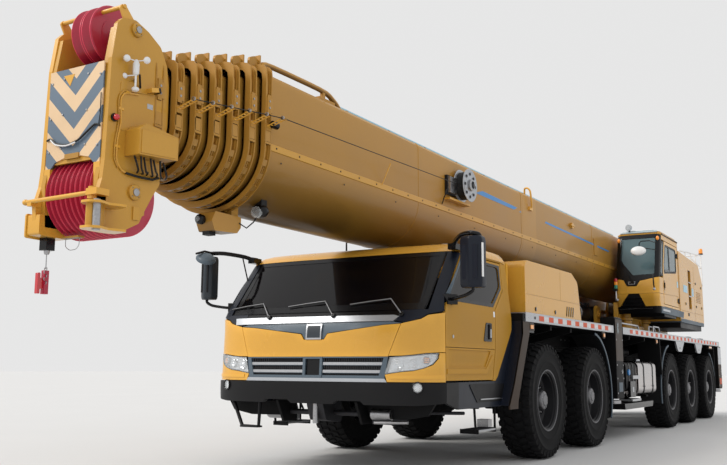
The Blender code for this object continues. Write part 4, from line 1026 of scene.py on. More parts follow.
# ------------------------------------------------------------------ wheels
def wheel_mesh():
    """Wide all-terrain tyre on a dished steel rim, about the X axis, outer face at +X."""
    g = Group("wheel_shape", "carrier", smooth=33)
    o = (0.0, 3.0, 0.0)
    R, W = 0.685, 0.20
    tyre = [(0.352, 0.165), (0.368, 0.186), (0.395, 0.192), (0.42, 0.197), (0.445, 0.1995), (0.452, 0.203), (0.462, 0.203), (0.468, 0.2005), (0.52, 0.203), (0.565, 0.2035),
            (0.572, 0.2075), (0.584, 0.2075), (0.592, 0.202), (0.625, 0.197), (0.650, 0.186), (0.662, 0.165), (0.666, 0.10), (0.667, 0.0)]
    prof = tyre + [(r, -a) for r, a in tyre[:-1][::-1]]
    g.turned("X", o, prof, 72, "tyre", loop=True, caps=False)
    # tread: two staggered centre rows and two shoulder rows
    n = 40
    for i in range(n):
        for row, (a0, a1, w, ph, sk, lo, hi) in enumerate(((0.118, 0.202, 0.070, 0.0, 0.22, 0.640, 0.683), (0.012, 0.104, 0.066, 0.5, -0.35, 0.655, 0.685),
                                                           (-0.104, -0.012, 0.066, 0.0, 0.35, 0.655, 0.685), (-0.202, -0.118, 0.070, 0.5, -0.22, 0.640, 0.683))):
            t = 2 * pi * (i + ph) / n
            pts = []
            for rr, k in ((lo, 1.0), (hi, 0.86)):
                for a, b in ((a0, -1), (a1, -1), (a1, 1), (a0, 1)):
                    am = (a0 + a1) / 2
                    aa = am + (a - am) * (k * 0.5 + 0.5)
                    tt = t + (b * w * 0.5 * k + sk * (aa - am)) / 0.685
                    r2 = rr - (0.016 if (abs(aa) > 0.17 and rr == hi) else 0.0)
                    pts.append((aa, r2 * cos(tt), r2 * sin(tt)))
            g.closed(pts, [[0, 1, 2, 3][::-1], [4, 5, 6, 7], [0, 1, 5, 4], [1, 2, 6, 5], [2, 3, 7, 6], [3, 0, 4, 7]], "tyre")
    # side lugs on the shoulder
    for i in range(n):
        for sg in (1, -1):
            t = 2 * pi * (i + (0.0 if sg > 0 else 0.5)) / n
            pts = []
            for a in (0.196, 0.2065):
                for r2, b in ((0.600, -1), (0.655, -1), (0.655, 1), (0.600, 1)):
                    tt = t + b * 0.022 / r2
                    aa = a - (0.012 if r2 > 0.64 else 0.0)
                    pts.append((sg * aa, r2 * cos(tt), r2 * sin(tt)))
            g.closed(pts, [[0, 1, 2, 3], [7, 6, 5, 4], [0, 4, 5, 1], [1, 5, 6, 2], [2, 6, 7, 3], [3, 7, 4, 0]], "tyre")
    # rim: flange, lock ring, dish
    rim = [(0.350, 0.170), (0.366, 0.184), (0.362, 0.190), (0.352, 0.188), (0.342, 0.176), (0.334, 0.172), (0.330, 0.150), (0.318, 0.146), (0.312, 0.10), (0.300, 0.05), (0.262, 0.024),
           (0.215, 0.018), (0.200, 0.024), (0.165, 0.026), (0.150, 0.030), (0.150, -0.02), (0.20, -0.03), (0.300, -0.01), (0.330, -0.17), (0.350, -0.176)]
    g.turned("X", o, rim, 56, "wheel", loop=True, caps=False)
    g.turned("X", o, [(0.3495, 0.186), (0.357, 0.1915), (0.3645, 0.1905), (0.3665, 0.184)], 56, "rimedge", loop=True, caps=False)
    g.turned("X", o, [(0.330, -0.17), (0.350, -0.178), (0.362, -0.188), (0.366, -0.184), (0.352, -0.165), (0.335, -0.16)], 40, "wheel", loop=True, caps=False)
    # hub with bolts, planetary cap
    g.turned("X", o, [(0.155, -0.05), (0.155, 0.036), (0.135, 0.052), (0.120, 0.056), (0.116, 0.120), (0.106, 0.140), (0.070, 0.150), (0.066, 0.158), (0.030, 0.160)], 40, "hub")
    for i in range(10):
        t = 2 * pi * i / 10
        g.turned("X", (0.022, 3.0 + 0.182 * cos(t), 0.182 * sin(t)), [(0.0165, 0), (0.0165, 0.018), (0.009, 0.020), (0.009, 0.036), (0.006, 0.038)], 6, "steel")
    for i in range(8):
        t = 2 * pi * (i + 0.5) / 8
        g.turned("X", (0.138, 3.0 + 0.088 * cos(t), 0.088 * sin(t)), [(0.008, 0), (0.008, 0.010), (0.005, 0.013)], 6, "steel")
    for i in range(10):
        t0 = 2 * pi * (i + 0.5) / 10
        g.turned("X", (0.034, 3.0 + 0.252 * cos(t0), 0.252 * sin(t0)), [(0.026, -0.006), (0.026, 0.001), (0.020, 0.002), (0.020, -0.006)], 14, "wheel", loop=True, caps=False)
    # valve
    g.bar((0.06, 3.0 + 0.27, 0.10), (0.15, 3.0 + 0.315, 0.115), 0.006, "steel", 6)
    mesh = bpy.data.meshes.new("wheel_shape")
    g.bm.to_mesh(mesh)
    g.bm.free()
    for mat in g.mats:
        mesh.materials.append(mat)
    mesh.shade_smooth()
    mesh.set_sharp_from_angle(angle=radians(33))
    return mesh


M["wheel"] = paint("wheel_rim_dark_paint", (0.010, 0.010, 0.012), 0.42, 0.05, vary=0.2, spec=0.25)
M["rimedge"] = metal("worn_rim_edge", (0.16, 0.16, 0.17), 0.38, (1, 1, 1), 0.1, 60.0)
M["hub"] = metal("hub_grey_casting", (0.22, 0.22, 0.23), 0.42, (1, 1, 1), 0.2, 60.0)
WHEEL = wheel_mesh()
for n, st in enumerate((0.0, 1.93, 6.80, 8.57, 10.57), 1):
    for side, sg in (("left", 1), ("right", -1)):
        obj = bpy.data.objects.new(f"tyre_and_rim_{n}_{side}", WHEEL)
        scene.collection.objects.link(obj)
        turn = Matrix.Rotation(radians(90 * n), 4, "X")
        obj.matrix_world = Matrix.Translation((sg * 1.30, Y(st), 0.685)) @ (Matrix.Rotation(pi, 4, "Z") if sg < 0 else Matrix.Identity(4)) @ turn
        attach(obj, f"wheel_{n}_{side}")
        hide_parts(f"wheel_{n}_{side}")
# ------------------------------------------------------------------ driver's cab
CABZ = [(0.60, -2.87, -1.33, 1.38, 0.27), (0.92, -2.87, -1.33, 1.38, 0.27), (1.44, -2.835, -0.87, 1.38, 0.26), (1.50, -2.82, -0.85, 1.38, 0.24),
        (1.60, -2.765, -0.85, 1.38, 0.17), (1.68, -2.704, -0.858, 1.377, 0.15), (2.20, -2.277, -0.915, 1.344, 0.115), (2.27, -2.22, -0.92, 1.34, 0.11),
        (2.31, -2.165, -0.95, 1.325, 0.11), (2.345, -2.10, -0.99, 1.30, 0.12), (2.368, -2.03, -1.04, 1.25, 0.12)]


def cab_at(z):
    z = min(max(z, CABZ[0][0]), CABZ[-1][0])
    for a, b in zip(CABZ, CABZ[1:]):
        if z <= b[0]:
            t = (z - a[0]) / (b[0] - a[0])
            return [a[i] + (b[i] - a[i]) * t for i in range(1, 5)]
    return list(CABZ[-1][1:])


ARC = []
def _arc():
    u, last = 0.0, (0.0, 0.0)
    n = 240
    for i in range(n + 1):
        th = (i / n) ** 1.6 * pi / 2
        x = sin(th) ** 0.625 * 1.38 if i else 0.0
        o = 0.27 * (1 - cos(th))
        u += hypot(x - last[0], o - last[1])
        last = (x, o)
        ARC.append((u, x / 1.38, 1 - cos(th)))
_arc()
UMAX = ARC[-1][0]


def _look(v, col):
    """Row of the arc table where column col reaches v."""
    lo, hi = 0, len(ARC) - 1
    while hi - lo > 1:
        mid = (lo + hi) // 2
        if ARC[mid][col] <= v:
            lo = mid
        else:
            hi = mid
    a, b = ARC[lo], ARC[hi]
    t = 0 if b[col] == a[col] else (v - a[col]) / (b[col] - a[col])
    t = max(0.0, min(1.0, t))
    return [a[i] + (b[i] - a[i]) * t for i in range(3)]


def cab_p(u, z):
    f, r, h, amp = cab_at(z)
    a = abs(u)
    if a < UMAX:
        _, xn, o = _look(a, 0)
        x, s = h * xn, f + amp * o
    else:
        x, s = h, f + amp + (a - UMAX)
    return Vector((x if u >= 0 else -x, Y(s), z))


def cab_fn(u, z):
    e = 0.004
    p = cab_p(u, z)
    du = cab_p(u + e, z) - cab_p(u - e, z)
    dz = cab_p(u, z + e) - cab_p(u, z - e)
    return p, du.cross(dz).normalized()


def FX(x, z):
    """Front point given by its distance from the middle."""
    h = cab_at(z)[2]
    a = min(0.9999, abs(x) / h)
    u = _look(a, 1)[0]
    return (u if x >= 0 else -u, z)


def SS(s, z, sg=1):
    """Side point given by its station."""
    f, r, h, amp = cab_at(z)
    w = (s - f) / amp
    u = _look(max(0.0, w), 2)[0] if w < 1 else UMAX + (s - f - amp)
    return (sg * u, z)


def front(points, step=0.05):
    return [FX(*p) for p in resample(points, step)]


def side(points, sg=1, step=0.05):
    out = [SS(s, z, sg) for s, z in resample(points, step)]
    return out if sg > 0 else out[::-1]


def neg(points):
    return [(-u, z) for u, z in points][::-1]


def skin(g, outline, m, t=0.012, holes=(), step=0.055, lift=0.0):
    g.panel(cab_fn, outline, m, t, holes, step, lift)


DOOR = [(-2.585, 0.935), (-1.43, 0.935), (-1.35, 1.26), (-1.33, 1.70), (-1.07, 1.93), (-1.09, 2.235), (-2.135, 2.235), (-2.53, 1.745), (-2.585, 1.62)]
WINDOW = rounded([(-2.43, 1.76), (-1.40, 1.76), (-1.15, 1.965), (-1.165, 2.18), (-2.08, 2.18), (-2.10, 2.165)], [0.03, 0.05, 0.06, 0.06, 0.03, 0.02], 4)

g = Group("cab_shell", "carrier", ("driver_cab",), smooth=40)
# middle front panel, with the vee along its top edge
yellow_front = [(-0.865, 1.172), (0.865, 1.172), (0.985, 1.492), (0.80, 1.480), (0.165, 1.403), (0.125, 1.345), (-0.125, 1.345), (-0.165, 1.403), (-0.80, 1.480), (-0.985, 1.492)]
skin(g, front(yellow_front), "yellow", 0.03)
vee = [(-0.115, 1.350), (0.115, 1.350), (0.158, 1.410), (0.80, 1.486), (1.00, 1.499), (0.90, 1.515), (-0.90, 1.515), (-1.00, 1.499), (-0.80, 1.486), (-0.158, 1.410)]
skin(g, front(vee), "grey", 0.02, lift=-0.006)
# plain maker-less plate in a raised frame
for inner, m, lift in (((0.096, 0.078), "alu2", 0.010), ((0.078, 0.060), "bluedark", 0.014)):
    w, hgt = inner
    skin(g, front([(-w, 1.424 - hgt), (w, 1.424 - hgt), (w, 1.424 + hgt), (-w, 1.424 + hgt)]), m, 0.012, lift=lift, step=0.05)
# band under the windscreen
skin(g, front([(-1.10, 1.520), (0.90, 1.520), (0.955, 1.566), (0.90, 1.580), (-1.12, 1.590)]), "silver", 0.02, lift=0.004)
lip = front([(-1.20, 1.575), (1.20, 1.575), (1.20, 1.625), (-1.20, 1.625)])
skin(g, lip, "gloss", 0.02, lift=-0.004)
for sg in (1, -1):
    F = (lambda pts: front(pts)) if sg > 0 else (lambda pts: neg(front(pts)))
    S = lambda pts: side(pts, sg)
    # corner panel, from the seam round to the door
    cor = [FX(*p) for p in resample([(0.872, 1.178), (0.992, 1.494)], 0.05, False)]
    cor += [FX(*p) for p in resample([(1.02, 1.500), (1.18, 1.535)], 0.05, False)] + [SS(-2.69, 1.575), SS(-2.585, 1.60)]
    cor += [SS(-2.592, z) for z in (1.55, 1.50, 1.45, 1.40, 1.35, 1.30, 1.25)]
    cor += [SS(-2.592, 1.215), SS(-2.66, 1.212), FX(1.24, 1.205), FX(1.12, 1.190), FX(1.00, 1.180)]
    skin(g, cor if sg > 0 else neg(cor), "yellow", 0.03)
    # strip beside the headlight, down to the lower corner panel
    low = [FX(0.84, 0.995), FX(0.90, 1.005), FX(1.02, 1.022), FX(1.12, 1.030), FX(1.22, 1.055), FX(1.30, 1.09), SS(-2.665, 1.15), SS(-2.655, 1.206), SS(-2.592, 1.206)]
    low += [SS(-2.592, z) for z in (1.15, 1.10, 1.05, 1.00, 0.95, 0.925)] + [FX(x, 0.925) for x in (1.30, 1.20, 1.10, 1.00, 0.92, 0.865)]
    skin(g, low if sg > 0 else neg(low), "yellow", 0.03)
    # fold along the foot of the corner
    fold = [FX(x, 0.955) for x in (0.90, 1.0, 1.1, 1.2, 1.28)] + [SS(-2.62, 0.955)] + [SS(-2.62, 0.995)] + [FX(x, 0.990) for x in (1.28, 1.2, 1.1, 1.0, 0.90)]
    skin(g, fold if sg > 0 else neg(fold), "yellow", 0.012, lift=0.006)
    # headlight: bowl plate, two reflectors, indicator, lens and black rim
    hl = [FX(0.838, 1.000), FX(0.90, 1.008), FX(1.02, 1.026), FX(1.12, 1.034), FX(1.22, 1.058), FX(1.295, 1.095), SS(-2.672, 1.150), SS(-2.664, 1.204), FX(1.24, 1.199), FX(1.12, 1.184), FX(1.00, 1.174), FX(0.885, 1.166)]
    hl = hl if sg > 0 else neg(hl)
    skin(g, hl, "bulb", 0.01, lift=-0.032, step=0.04)
    skin(g, hl, "lens", 0.004, lift=0.002, step=0.04)
    rim_in = [(u * 0.5 + 0.5 * c[0], z) for (u, z), c in zip(hl, hl)]
    cu = sum(p[0] for p in hl) / len(hl)
    cz = sum(p[1] for p in hl) / len(hl)
    shrink = [(cu + (u - cu) * 0.965, cz + (z - cz) * 0.90) for u, z in hl]
    skin(g, hl, "gloss", 0.030, holes=[shrink], lift=-0.001, step=0.04)
    for x, z, r, m in ((0.965, 1.090, 0.056, "bulb"), (1.12, 1.105, 0.046, "bulb"), (1.245, 1.135, 0.040, "silver")):
        u, zz = FX(x, z)
        p, nor = cab_fn(u * sg, z)
        q = nor.to_track_quat("Z", "Y").to_matrix().to_4x4()
        base = Matrix.Translation(p - nor * 0.026) @ q
        n = 24
        prof = [(r, 0.0), (r, 0.016), (r * 0.9, 0.019), (r * 0.72, 0.008), (r * 0.45, 0.003), (r * 0.30, 0.010), (0.004, 0.014)]
        g.rings([[(rr * cos(2 * pi * i / n), rr * sin(2 * pi * i / n), a) for i in range(n)] for rr, a in prof], m, at=base)
        if m == "silver":
            for i in range(3):
                c = Matrix.Translation(p - nor * 0.012 + Vector((0, 0, 0.018 - 0.018 * i))) @ q
                g.rings([[(0.030 * cos(2 * pi * k / 8), 0.005 * sin(2 * pi * k / 8), a) for k in range(8)] for a in (0, 0.006)], "amber", at=c)
    # black mask: corner below the screen and up the pillar to the door edge
    mask = [FX(0.93, 1.522), FX(1.02, 1.508), FX(1.10, 1.522), FX(1.18, 1.545), SS(-2.69, 1.585), SS(-2.592, 1.618), SS(-2.592, 1.64), SS(-2.535, 1.755), SS(-2.50, 1.80)]
    mask += [SS(-2.50 + (0.363) * t / 8, 1.80 + (0.44) * t / 8) for t in range(1, 9)]
    mask += [FX(1.215, 2.262)] + [FX(1.215 + 0.003 * t, 2.262 - 0.08 * t) for t in range(1, 8)] + [FX(1.235, 1.632), FX(1.10, 1.632), FX(0.96, 1.630)]
    skin(g, mask if sg > 0 else neg(mask), "navy", 0.03, lift=-0.001, step=0.05)
    # rear quarter behind the door, in the darker yellow that paints the shade of the cab side
    rear = [(-1.424, 0.93), (-1.36, 0.93), (-1.30, 0.97), (-0.905, 1.44), (-0.862, 1.50), (-0.862, 1.62), (-0.925, 2.20), (-0.93, 2.262), (-2.115, 2.262), (-2.118, 2.243), (-1.083, 2.243), (-1.062, 1.925), (-1.322, 1.695), (-1.342, 1.256)]
    skin(g, S(rear), "yellow_side_shade", 0.03)
    # step skirt and arch panel below and behind
    arch = [(-1.42, 0.925), (-1.35, 0.925), (-1.295, 0.962), (-0.90, 1.432), (-0.86, 1.49), (-0.82, 1.55), (-0.78, 1.55), (-0.90, 1.30), (-1.04, 0.98), (-1.06, 0.80), (-1.10, 0.70), (-1.20, 0.655), (-2.30, 0.655), (-2.40, 0.70), (-2.56, 0.72), (-2.592, 0.735), (-2.592, 0.920)]
    g.panel(lambda u, z: (Vector((sg * 1.372, Y(u), z)), Vector((sg, 0, 0))), arch if sg > 0 else arch[::-1], "navy", 0.03, step=0.08) if False else g.plate_x(*sorted((sg * 1.345, sg * 1.375)), arch, "navy")
    g.plate_x(*sorted((sg * 1.374, sg * 1.382)), rounded([(-2.05, 0.90), (-1.12, 0.90), (-1.10, 0.71), (-1.85, 0.71)], 0.02, 3), "black")
    g.box(*sorted((sg * 1.37, sg * 1.392)), -1.78, -1.16, 0.735, 0.747, "alu2")
    # side lamps
    g.rings([[(sg * x, Y(-2.44) + 0.050 * cos(2 * pi * i / 20), 0.852 + 0.028 * sin(2 * pi * i / 20)) for i in range(20)] for x in (1.37, 1.390)], "amber")
    g.box(*sorted((sg * 1.37, sg * 1.388)), -2.485, -2.395, 0.742, 0.782, "amber")
    # hinges
    for z in (1.08, 1.50):
        g.bar((sg * 1.366, -2.588, z), (sg * 1.366, -2.588, z + 0.07), 0.010, "iron", 10)
# roof: rings above the door line, with a raised brow and ribs
def roof_ring(z, k=56):
    f, r, h, amp = cab_at(z)
    pts = []
    n = k
    for i in range(-n, n + 1):
        u = UMAX * i / n
        pts.append(cab_p(u, z))
    side_l = [Vector((h, Y(f + amp + (r - f - amp) * t / 6), z)) for t in range(1, 6)] + [Vector((h, Y(r - 0.03), z)), Vector((h - 0.03, Y(r), z))]
    back = [Vector((x, Y(r), z)) for x in (h * 0.5, 0, -h * 0.5)] + [Vector((-h + 0.03, Y(r), z)), Vector((-h, Y(r - 0.03), z))]
    side_r = [Vector((-h, Y(f + amp + (r - f - amp) * t / 6), z)) for t in range(5, 0, -1)]
    return pts + side_l + back + side_r
rings = [roof_ring(z) for z in (2.264, 2.29, 2.31, 2.33, 2.345, 2.358, 2.368)]
last = rings[-1]
cx = sum(p.x for p in last) / len(last)
cy = Y(-1.50)
for k, lift in ((0.90, 0.006), (0.6, 0.011), (0.25, 0.012)):
    rings.append([Vector((cx + (p.x - cx) * k, cy + (p.y - cy) * k, 2.368 + lift)) for p in last])
g.rings(rings, "yellow")
for x in (-0.7, -0.35, 0.0, 0.35, 0.7):
    g.rings([[(x - 0.05, Y(s), 2.372), (x - 0.03, Y(s), 2.386), (x + 0.03, Y(s), 2.386), (x + 0.05, Y(s), 2.372)] for s in (-1.85, -1.15)], "yellow")
g.ball((0.98, -1.75, 2.372), (0.075, 0.075, 0.038), "silver", 20, 6, bottom=0.0)
g.turned("Z", (-0.55, -1.35, 2.37), [(0.045, 0), (0.045, 0.03), (0.012, 0.035), (0.010, 0.20), (0.004, 0.22)], 12, "plastic")
# drip rail over the doors and the screen
for sg in (1, -1):
    g.tube([(sg * 1.336, -2.10, 2.268), (sg * 1.342, -1.8, 2.262), (sg * 1.342, -1.1, 2.258), (sg * 1.342, -0.96, 2.24)], 0.009, "yellow2", 8)
# rear wall with a window and grab rails
def wall(pts, m, s0, s1, holes=()):
    g.panel(lambda a, b: (Vector((a, Y(s1 + (1.60 - b) * (-0.10 if b > 1.60 else 0.0)), b)), Vector((0, 1, 0))), pts[::-1], m, s1 - s0, holes, 0.12)
wall([(-1.34, 1.46), (1.34, 1.46), (1.34, 1.60), (1.315, 2.27), (-1.315, 2.27), (-1.34, 1.60)], "yellow", -0.89, -0.85, holes=[rounded([(-0.85, 1.72), (0.85, 1.72), (0.85, 2.12), (-0.85, 2.12)], 0.06, 4)])
g.box(-0.86, 0.86, -0.885, -0.875, 1.71, 2.13, "glass")
for i in range(6):
    s0, z0 = -1.33 + 0.094 * i, 0.93 + 0.106 * i
    g.rings([[(x, Y(s0), z0), (x, Y(s0 + 0.098), z0 + 0.110), (x, Y(s0 + 0.078), z0 + 0.13), (x, Y(s0 - 0.02), z0 + 0.02)] for x in (-1.34, 1.34)], "yellow")
# floor
g.box(-1.33, 1.33, -2.55, -1.36, 0.932, 0.962, "frame")
# grille: dark recess, mesh, two bars each side and a middle box
skin(g, front([(-0.80, 0.962), (0.80, 0.962), (0.86, 1.166), (-0.86, 1.166)]), "gloss", 0.02, lift=-0.045, step=0.08)
skin(g, front([(-0.835, 0.955), (0.835, 0.955), (0.868, 1.170), (-0.868, 1.170)]), "grey", 0.04, holes=[front([(-0.775, 0.985), (0.775, 0.985), (0.82, 1.158), (-0.82, 1.158)])], lift=-0.002, step=0.07)
for x0, x1 in ((0.125, 0.805), (-0.805, -0.125)):
    for z in (1.025, 1.102):
        bar = front([(x0, z - 0.014), (x1, z - 0.014), (x1, z + 0.014), (x0, z + 0.014)])
        skin(g, bar, "alu2", 0.012, lift=-0.006, step=0.06)
        skin(g, front([(x0, z - 0.019), (x1, z - 0.019), (x1, z - 0.013), (x0, z - 0.013)]), "grey", 0.02, lift=-0.012, step=0.06)
    for i in range(26):
        x = x0 + (x1 - x0) * (i + 0.5) / 26
        p, nor = cab_fn(*FX(x, 1.07))
        g.box(x - 0.004, x + 0.004, p.y + 3.0 + 0.018, p.y + 3.0 + 0.035, 0.97, 1.160, "iron")
    for z in (0.985, 1.00, 1.045, 1.06, 1.075, 1.125, 1.14):
        skin(g, front([(x0, z - 0.003), (x1, z - 0.003), (x1, z + 0.003), (x0, z + 0.003)]), "iron", 0.006, lift=-0.024, step=0.1)
skin(g, front([(-0.118, 0.958), (0.118, 0.958), (0.118, 1.168), (-0.118, 1.168)]), "grey", 0.04, holes=[front([(-0.090, 0.985), (0.090, 0.985), (0.090, 1.150), (-0.090, 1.150)])], lift=0.004, step=0.06)
skin(g, front([(-0.092, 0.98), (0.092, 0.98), (0.092, 1.155), (-0.092, 1.155)]), "gloss", 0.02, lift=-0.018, step=0.06)
# pale lip above the bumper
skin(g, front([(-0.865, 0.922), (0.865, 0.922), (0.84, 0.956), (-0.84, 0.956)]), "silver", 0.03, lift=0.006, step=0.07)
# wipers
for x in (-0.62, 0.20, 0.98):
    p, nor = cab_fn(*FX(x, 1.585))
    q = nor.to_track_quat("Z", "Y").to_matrix().to_4x4()
    g.rings([[(r * cos(2 * pi * i / 16), r * sin(2 * pi * i / 16), a) for i in range(16)] for r, a in ((0.026, -0.01), (0.026, 0.022), (0.018, 0.03))], "gloss", at=Matrix.Translation(p) @ q)
    p1 = p + nor * 0.035
    a1, n1 = cab_fn(*FX(x - 0.17, 1.735))
    p2 = a1 + n1 * 0.03
    T = lambda v: (v.x, v.y + 3.0, v.z)
    g.bar(T(p1), T(p2), 0.007, "steel", 8, 0.005)
    b0, m0 = cab_fn(*FX(x - 0.62, 1.690))
    b1, m1 = cab_fn(*FX(x - 0.38, 1.716))
    path = [T(b0 + m0 * 0.014), T(b1 + m1 * 0.014), T(a1 + n1 * 0.016)]
    g.tube(path, 0.006, "rubberhose", 6)
    g.tube([T(b0 + m0 * 0.024), T(b1 + m1 * 0.026), T(a1 + n1 * 0.026)], 0.004, "steel", 6)
g.done()

g = Group("windscreen_pane", "carrier", ("windscreen",), smooth=40)
glass_outline = [(-1.20, 1.628), (1.20, 1.628), (1.212, 1.70), (1.205, 2.262), (-1.205, 2.262), (-1.212, 1.70)]
skin(g, front(glass_outline), "glass", 0.008, lift=-0.004, step=0.08)
border = front([(-1.19, 1.634), (1.19, 1.634), (1.203, 1.70), (1.196, 2.256), (-1.196, 2.256), (-1.203, 1.70)])
inner = front([(-1.14, 1.70), (1.14, 1.70), (1.145, 2.215), (-1.145, 2.215)])
skin(g, border, "gloss", 0.003, holes=[inner], lift=-0.0005, step=0.08)
g.done()

for sidename, sg in (("left", 1), ("right", -1)):
    g = Group(f"cab_door_{sidename}_skin", f"cab_door_{sidename}", (f"cab_door_{sidename}",), smooth=40)
    S = lambda pts: side(pts, sg)
    upper = [(-2.58, 1.268), (-1.354, 1.268), (-1.336, 1.70), (-1.076, 1.932), (-1.096, 2.23), (-2.128, 2.23), (-2.524, 1.747), (-2.58, 1.622)]
    lower = [(-2.58, 0.94), (-1.436, 0.94), (-1.356, 1.262), (-2.58, 1.262)]
    win = side(WINDOW, sg)
    # the door skins take the darker yellow, painted shade of the cab side
    skin(g, S(upper), "yellow_side_shade", 0.035, holes=[win])
    # black surround of the window
    big = [(-2.535, 1.722), (-2.50, 1.728), (-1.38, 1.722), (-1.115, 1.945), (-1.125, 2.205), (-2.12, 2.213), (-2.16, 2.178), (-2.50, 1.765)]
    skin(g, S(big), "gloss", 0.008, holes=[win], lift=0.003)
    strip = [(-2.505, 1.79), (-2.465, 1.79), (-2.125, 2.185), (-2.15, 2.19)]
    skin(g, S(strip), "grey", 0.008, lift=0.008)
    wide = rounded([(-2.45, 1.75), (-1.39, 1.75), (-1.135, 1.96), (-1.15, 2.19), (-2.09, 2.19)], 0.03, 3)
    skin(g, S(wide), "glass", 0.006, lift=-0.008, step=0.09)
    # lower panel with a sunk step field
    field = rounded([(-2.52, 1.075), (-1.62, 1.075), (-1.475, 1.245), (-2.52, 1.245)], [0.01, 0.03, 0.01, 0.01], 3)
    skin(g, S(lower), "yellow_side_shade", 0.035, holes=[side(field, sg)])
    skin(g, S(field), "yellow_side_shade", 0.02, lift=-0.012)
    fold = [(-2.56, 1.005), (-1.60, 1.005), (-1.425, 1.17), (-1.445, 1.20), (-1.62, 1.055), (-2.56, 1.055)]
    skin(g, S(fold), "yellow_side_shade", 0.012, lift=0.007)
    # handle recess and lever
    rec = rounded([(-1.665, 1.345), (-1.455, 1.345), (-1.445, 1.545), (-1.60, 1.545)], 0.02, 3)
    skin(g, S(rec), "gloss", 0.01, lift=0.006)
    skin(g, S(rounded([(-1.54, 1.37), (-1.475, 1.37), (-1.475, 1.53), (-1.53, 1.53)], 0.012, 3)), "iron", 0.014, lift=0.018)
    skin(g, S(rounded([(-1.525, 1.385), (-1.49, 1.385), (-1.49, 1.48), (-1.52, 1.48)], 0.008, 3)), "alu2", 0.004, lift=0.021)
    g.turned("X", (sg * 1.378 if sg > 0 else -1.388, -2.42, 1.372), [(0.018, 0), (0.018, 0.008), (0.012, 0.010)], 16, "alu2")
    skin(g, S([(-1.385, 1.615), (-1.345, 1.615), (-1.345, 1.675), (-1.385, 1.675)]), "white", 0.003, lift=0.003, step=0.05)
    # inner trim and arm rest
    trim = rounded([(-2.50, 0.99), (-1.46, 0.99), (-1.40, 1.28), (-1.39, 1.66), (-2.50, 1.66)], 0.05, 3)
    skin(g, S(trim), "plastic", 0.012, lift=-0.036, step=0.1)
    g.box(*sorted((sg * 1.27, sg * 1.335)), -2.30, -1.60, 1.42, 1.46, "plastic")
    g.done()

# ------------------------------------------------------------------ bumper
g = Group("bumper_skin", "carrier", ("front_bumper",), smooth=40)
bump_o = [FX(x, 0.92) for x in [-1.36 + 0.08 * i for i in range(35)]]
def bumper_fn(u, z):
    p, nor = cab_fn(u, 0.92)
    nor = Vector((nor.x, nor.y, 0)).normalized()
    q = p + nor * (0.012 - 0.05 * max(0, 0.80 - z))
    return Vector((q.x, q.y, z)), nor
u1 = SS(-2.60, 0.92)[0]
bp = [(-u1, 0.725), (-UMAX * 0.80, 0.70), (-0.62, 0.70), (-0.58, 0.735), (-0.30, 0.735), (-0.25, 0.70), (0.25, 0.70), (0.30, 0.735), (0.58, 0.735), (0.62, 0.70), (UMAX * 0.80, 0.70), (u1, 0.725), (u1, 0.918), (-u1, 0.918)]
g.panel(bumper_fn, bp, "black", 0.05, (), 0.07)
u2 = SS(-1.32, 0.92)[0]
for sg in (1, -1):
    o = [(u1 + 0.004, 0.725), (u1 + 0.10, 0.70), (u2 - 1.0, 0.66), (u2 - 1.0, 0.918), (u1 + 0.004, 0.918)]
    o = o if sg > 0 else [(-a, b) for a, b in o][::-1]
    g.panel(bumper_fn, o, "black", 0.03, (), 0.08)
    # round fog lamp in its bezel
    u, _ = FX(1.17, 0.92)
    p, nor = bumper_fn(sg * u, 0.872)
    q = nor.to_track_quat("Z", "Y").to_matrix().to_4x4()
    at = Matrix.Translation(p) @ q
    for prof, m in (([(0.058, -0.02), (0.058, 0.010), (0.050, 0.014), (0.046, 0.004), (0.046, -0.02)], "gloss"), ([(0.046, -0.004), (0.030, 0.003), (0.004, 0.006)], "bulb"), ([(0.047, 0.004), (0.040, 0.009), (0.02, 0.013), (0.003, 0.014)], "lens")):
        g.rings([[(r * cos(2 * pi * i / 28), r * sin(2 * pi * i / 28), a) for i in range(28)] for r, a in prof], m, at=at)
    # folding step hung below the bumper
    x = sg * 0.95
    if sg < 0:
        g.tube([(x - 0.16, -2.74, 0.70), (x - 0.02, -2.76, 0.44), (x + 0.20, -2.76, 0.44), (x + 0.20, -2.74, 0.70)], 0.020, "black", 10)
        g.box(x - 0.03, x + 0.21, -2.79, -2.71, 0.428, 0.446, "black")
# lower valance, curved under the bumper
for sg in (1, -1):
    g.plate_y(-2.62, -2.58, [(sg * 0.50, 0.70), (sg * 1.28, 0.72), (sg * 1.20, 0.60), (sg * 0.95, 0.555), (sg * 0.55, 0.56)], "frame")
    g.plate_x(*sorted((sg * 0.47, sg * 0.50)), [(-2.80, 0.72), (-2.45, 0.72), (-2.45, 0.50), (-2.68, 0.50)], "frame")
# towing jaw, tie bars, cooler and air tanks below
g.plate_x(-0.10, 0.10, rounded([(-2.82, 0.72), (-2.45, 0.72), (-2.45, 0.50), (-2.74, 0.53)], 0.03, 3), "iron")
g.turned("Z", (0.0, -2.79, 0.50), [(0.028, 0), (0.028, 0.20), (0.04, 0.205), (0.04, 0.22)], 16, "steel")
g.bar((-0.45, -2.58, 0.60), (0.45, -2.58, 0.60), 0.028, "iron", 12)
g.box(0.56, 0.80, -2.60, -2.30, 0.50, 0.66, "iron")
g.bar((0.58, -2.62, 0.60), (0.80, -2.62, 0.60), 0.055, "steel", 18)
g.bar((0.62, -2.66, 0.52), (0.98, -2.62, 0.53), 0.016, "steel", 10)
g.bar((-0.86, -2.40, 0.60), (-0.55, -2.40, 0.60), 0.09, "steel", 20)
g.bar((0.92, -2.5, 0.62), (1.25, -1.9, 0.60), 0.018, "iron", 8)
for i in range(5):
    g.tube([(-0.35 + 0.17 * i, -2.55, 0.68), (-0.33 + 0.17 * i, -2.50, 0.58), (-0.30 + 0.16 * i, -2.30, 0.56)], 0.011, "rubberhose", 8)
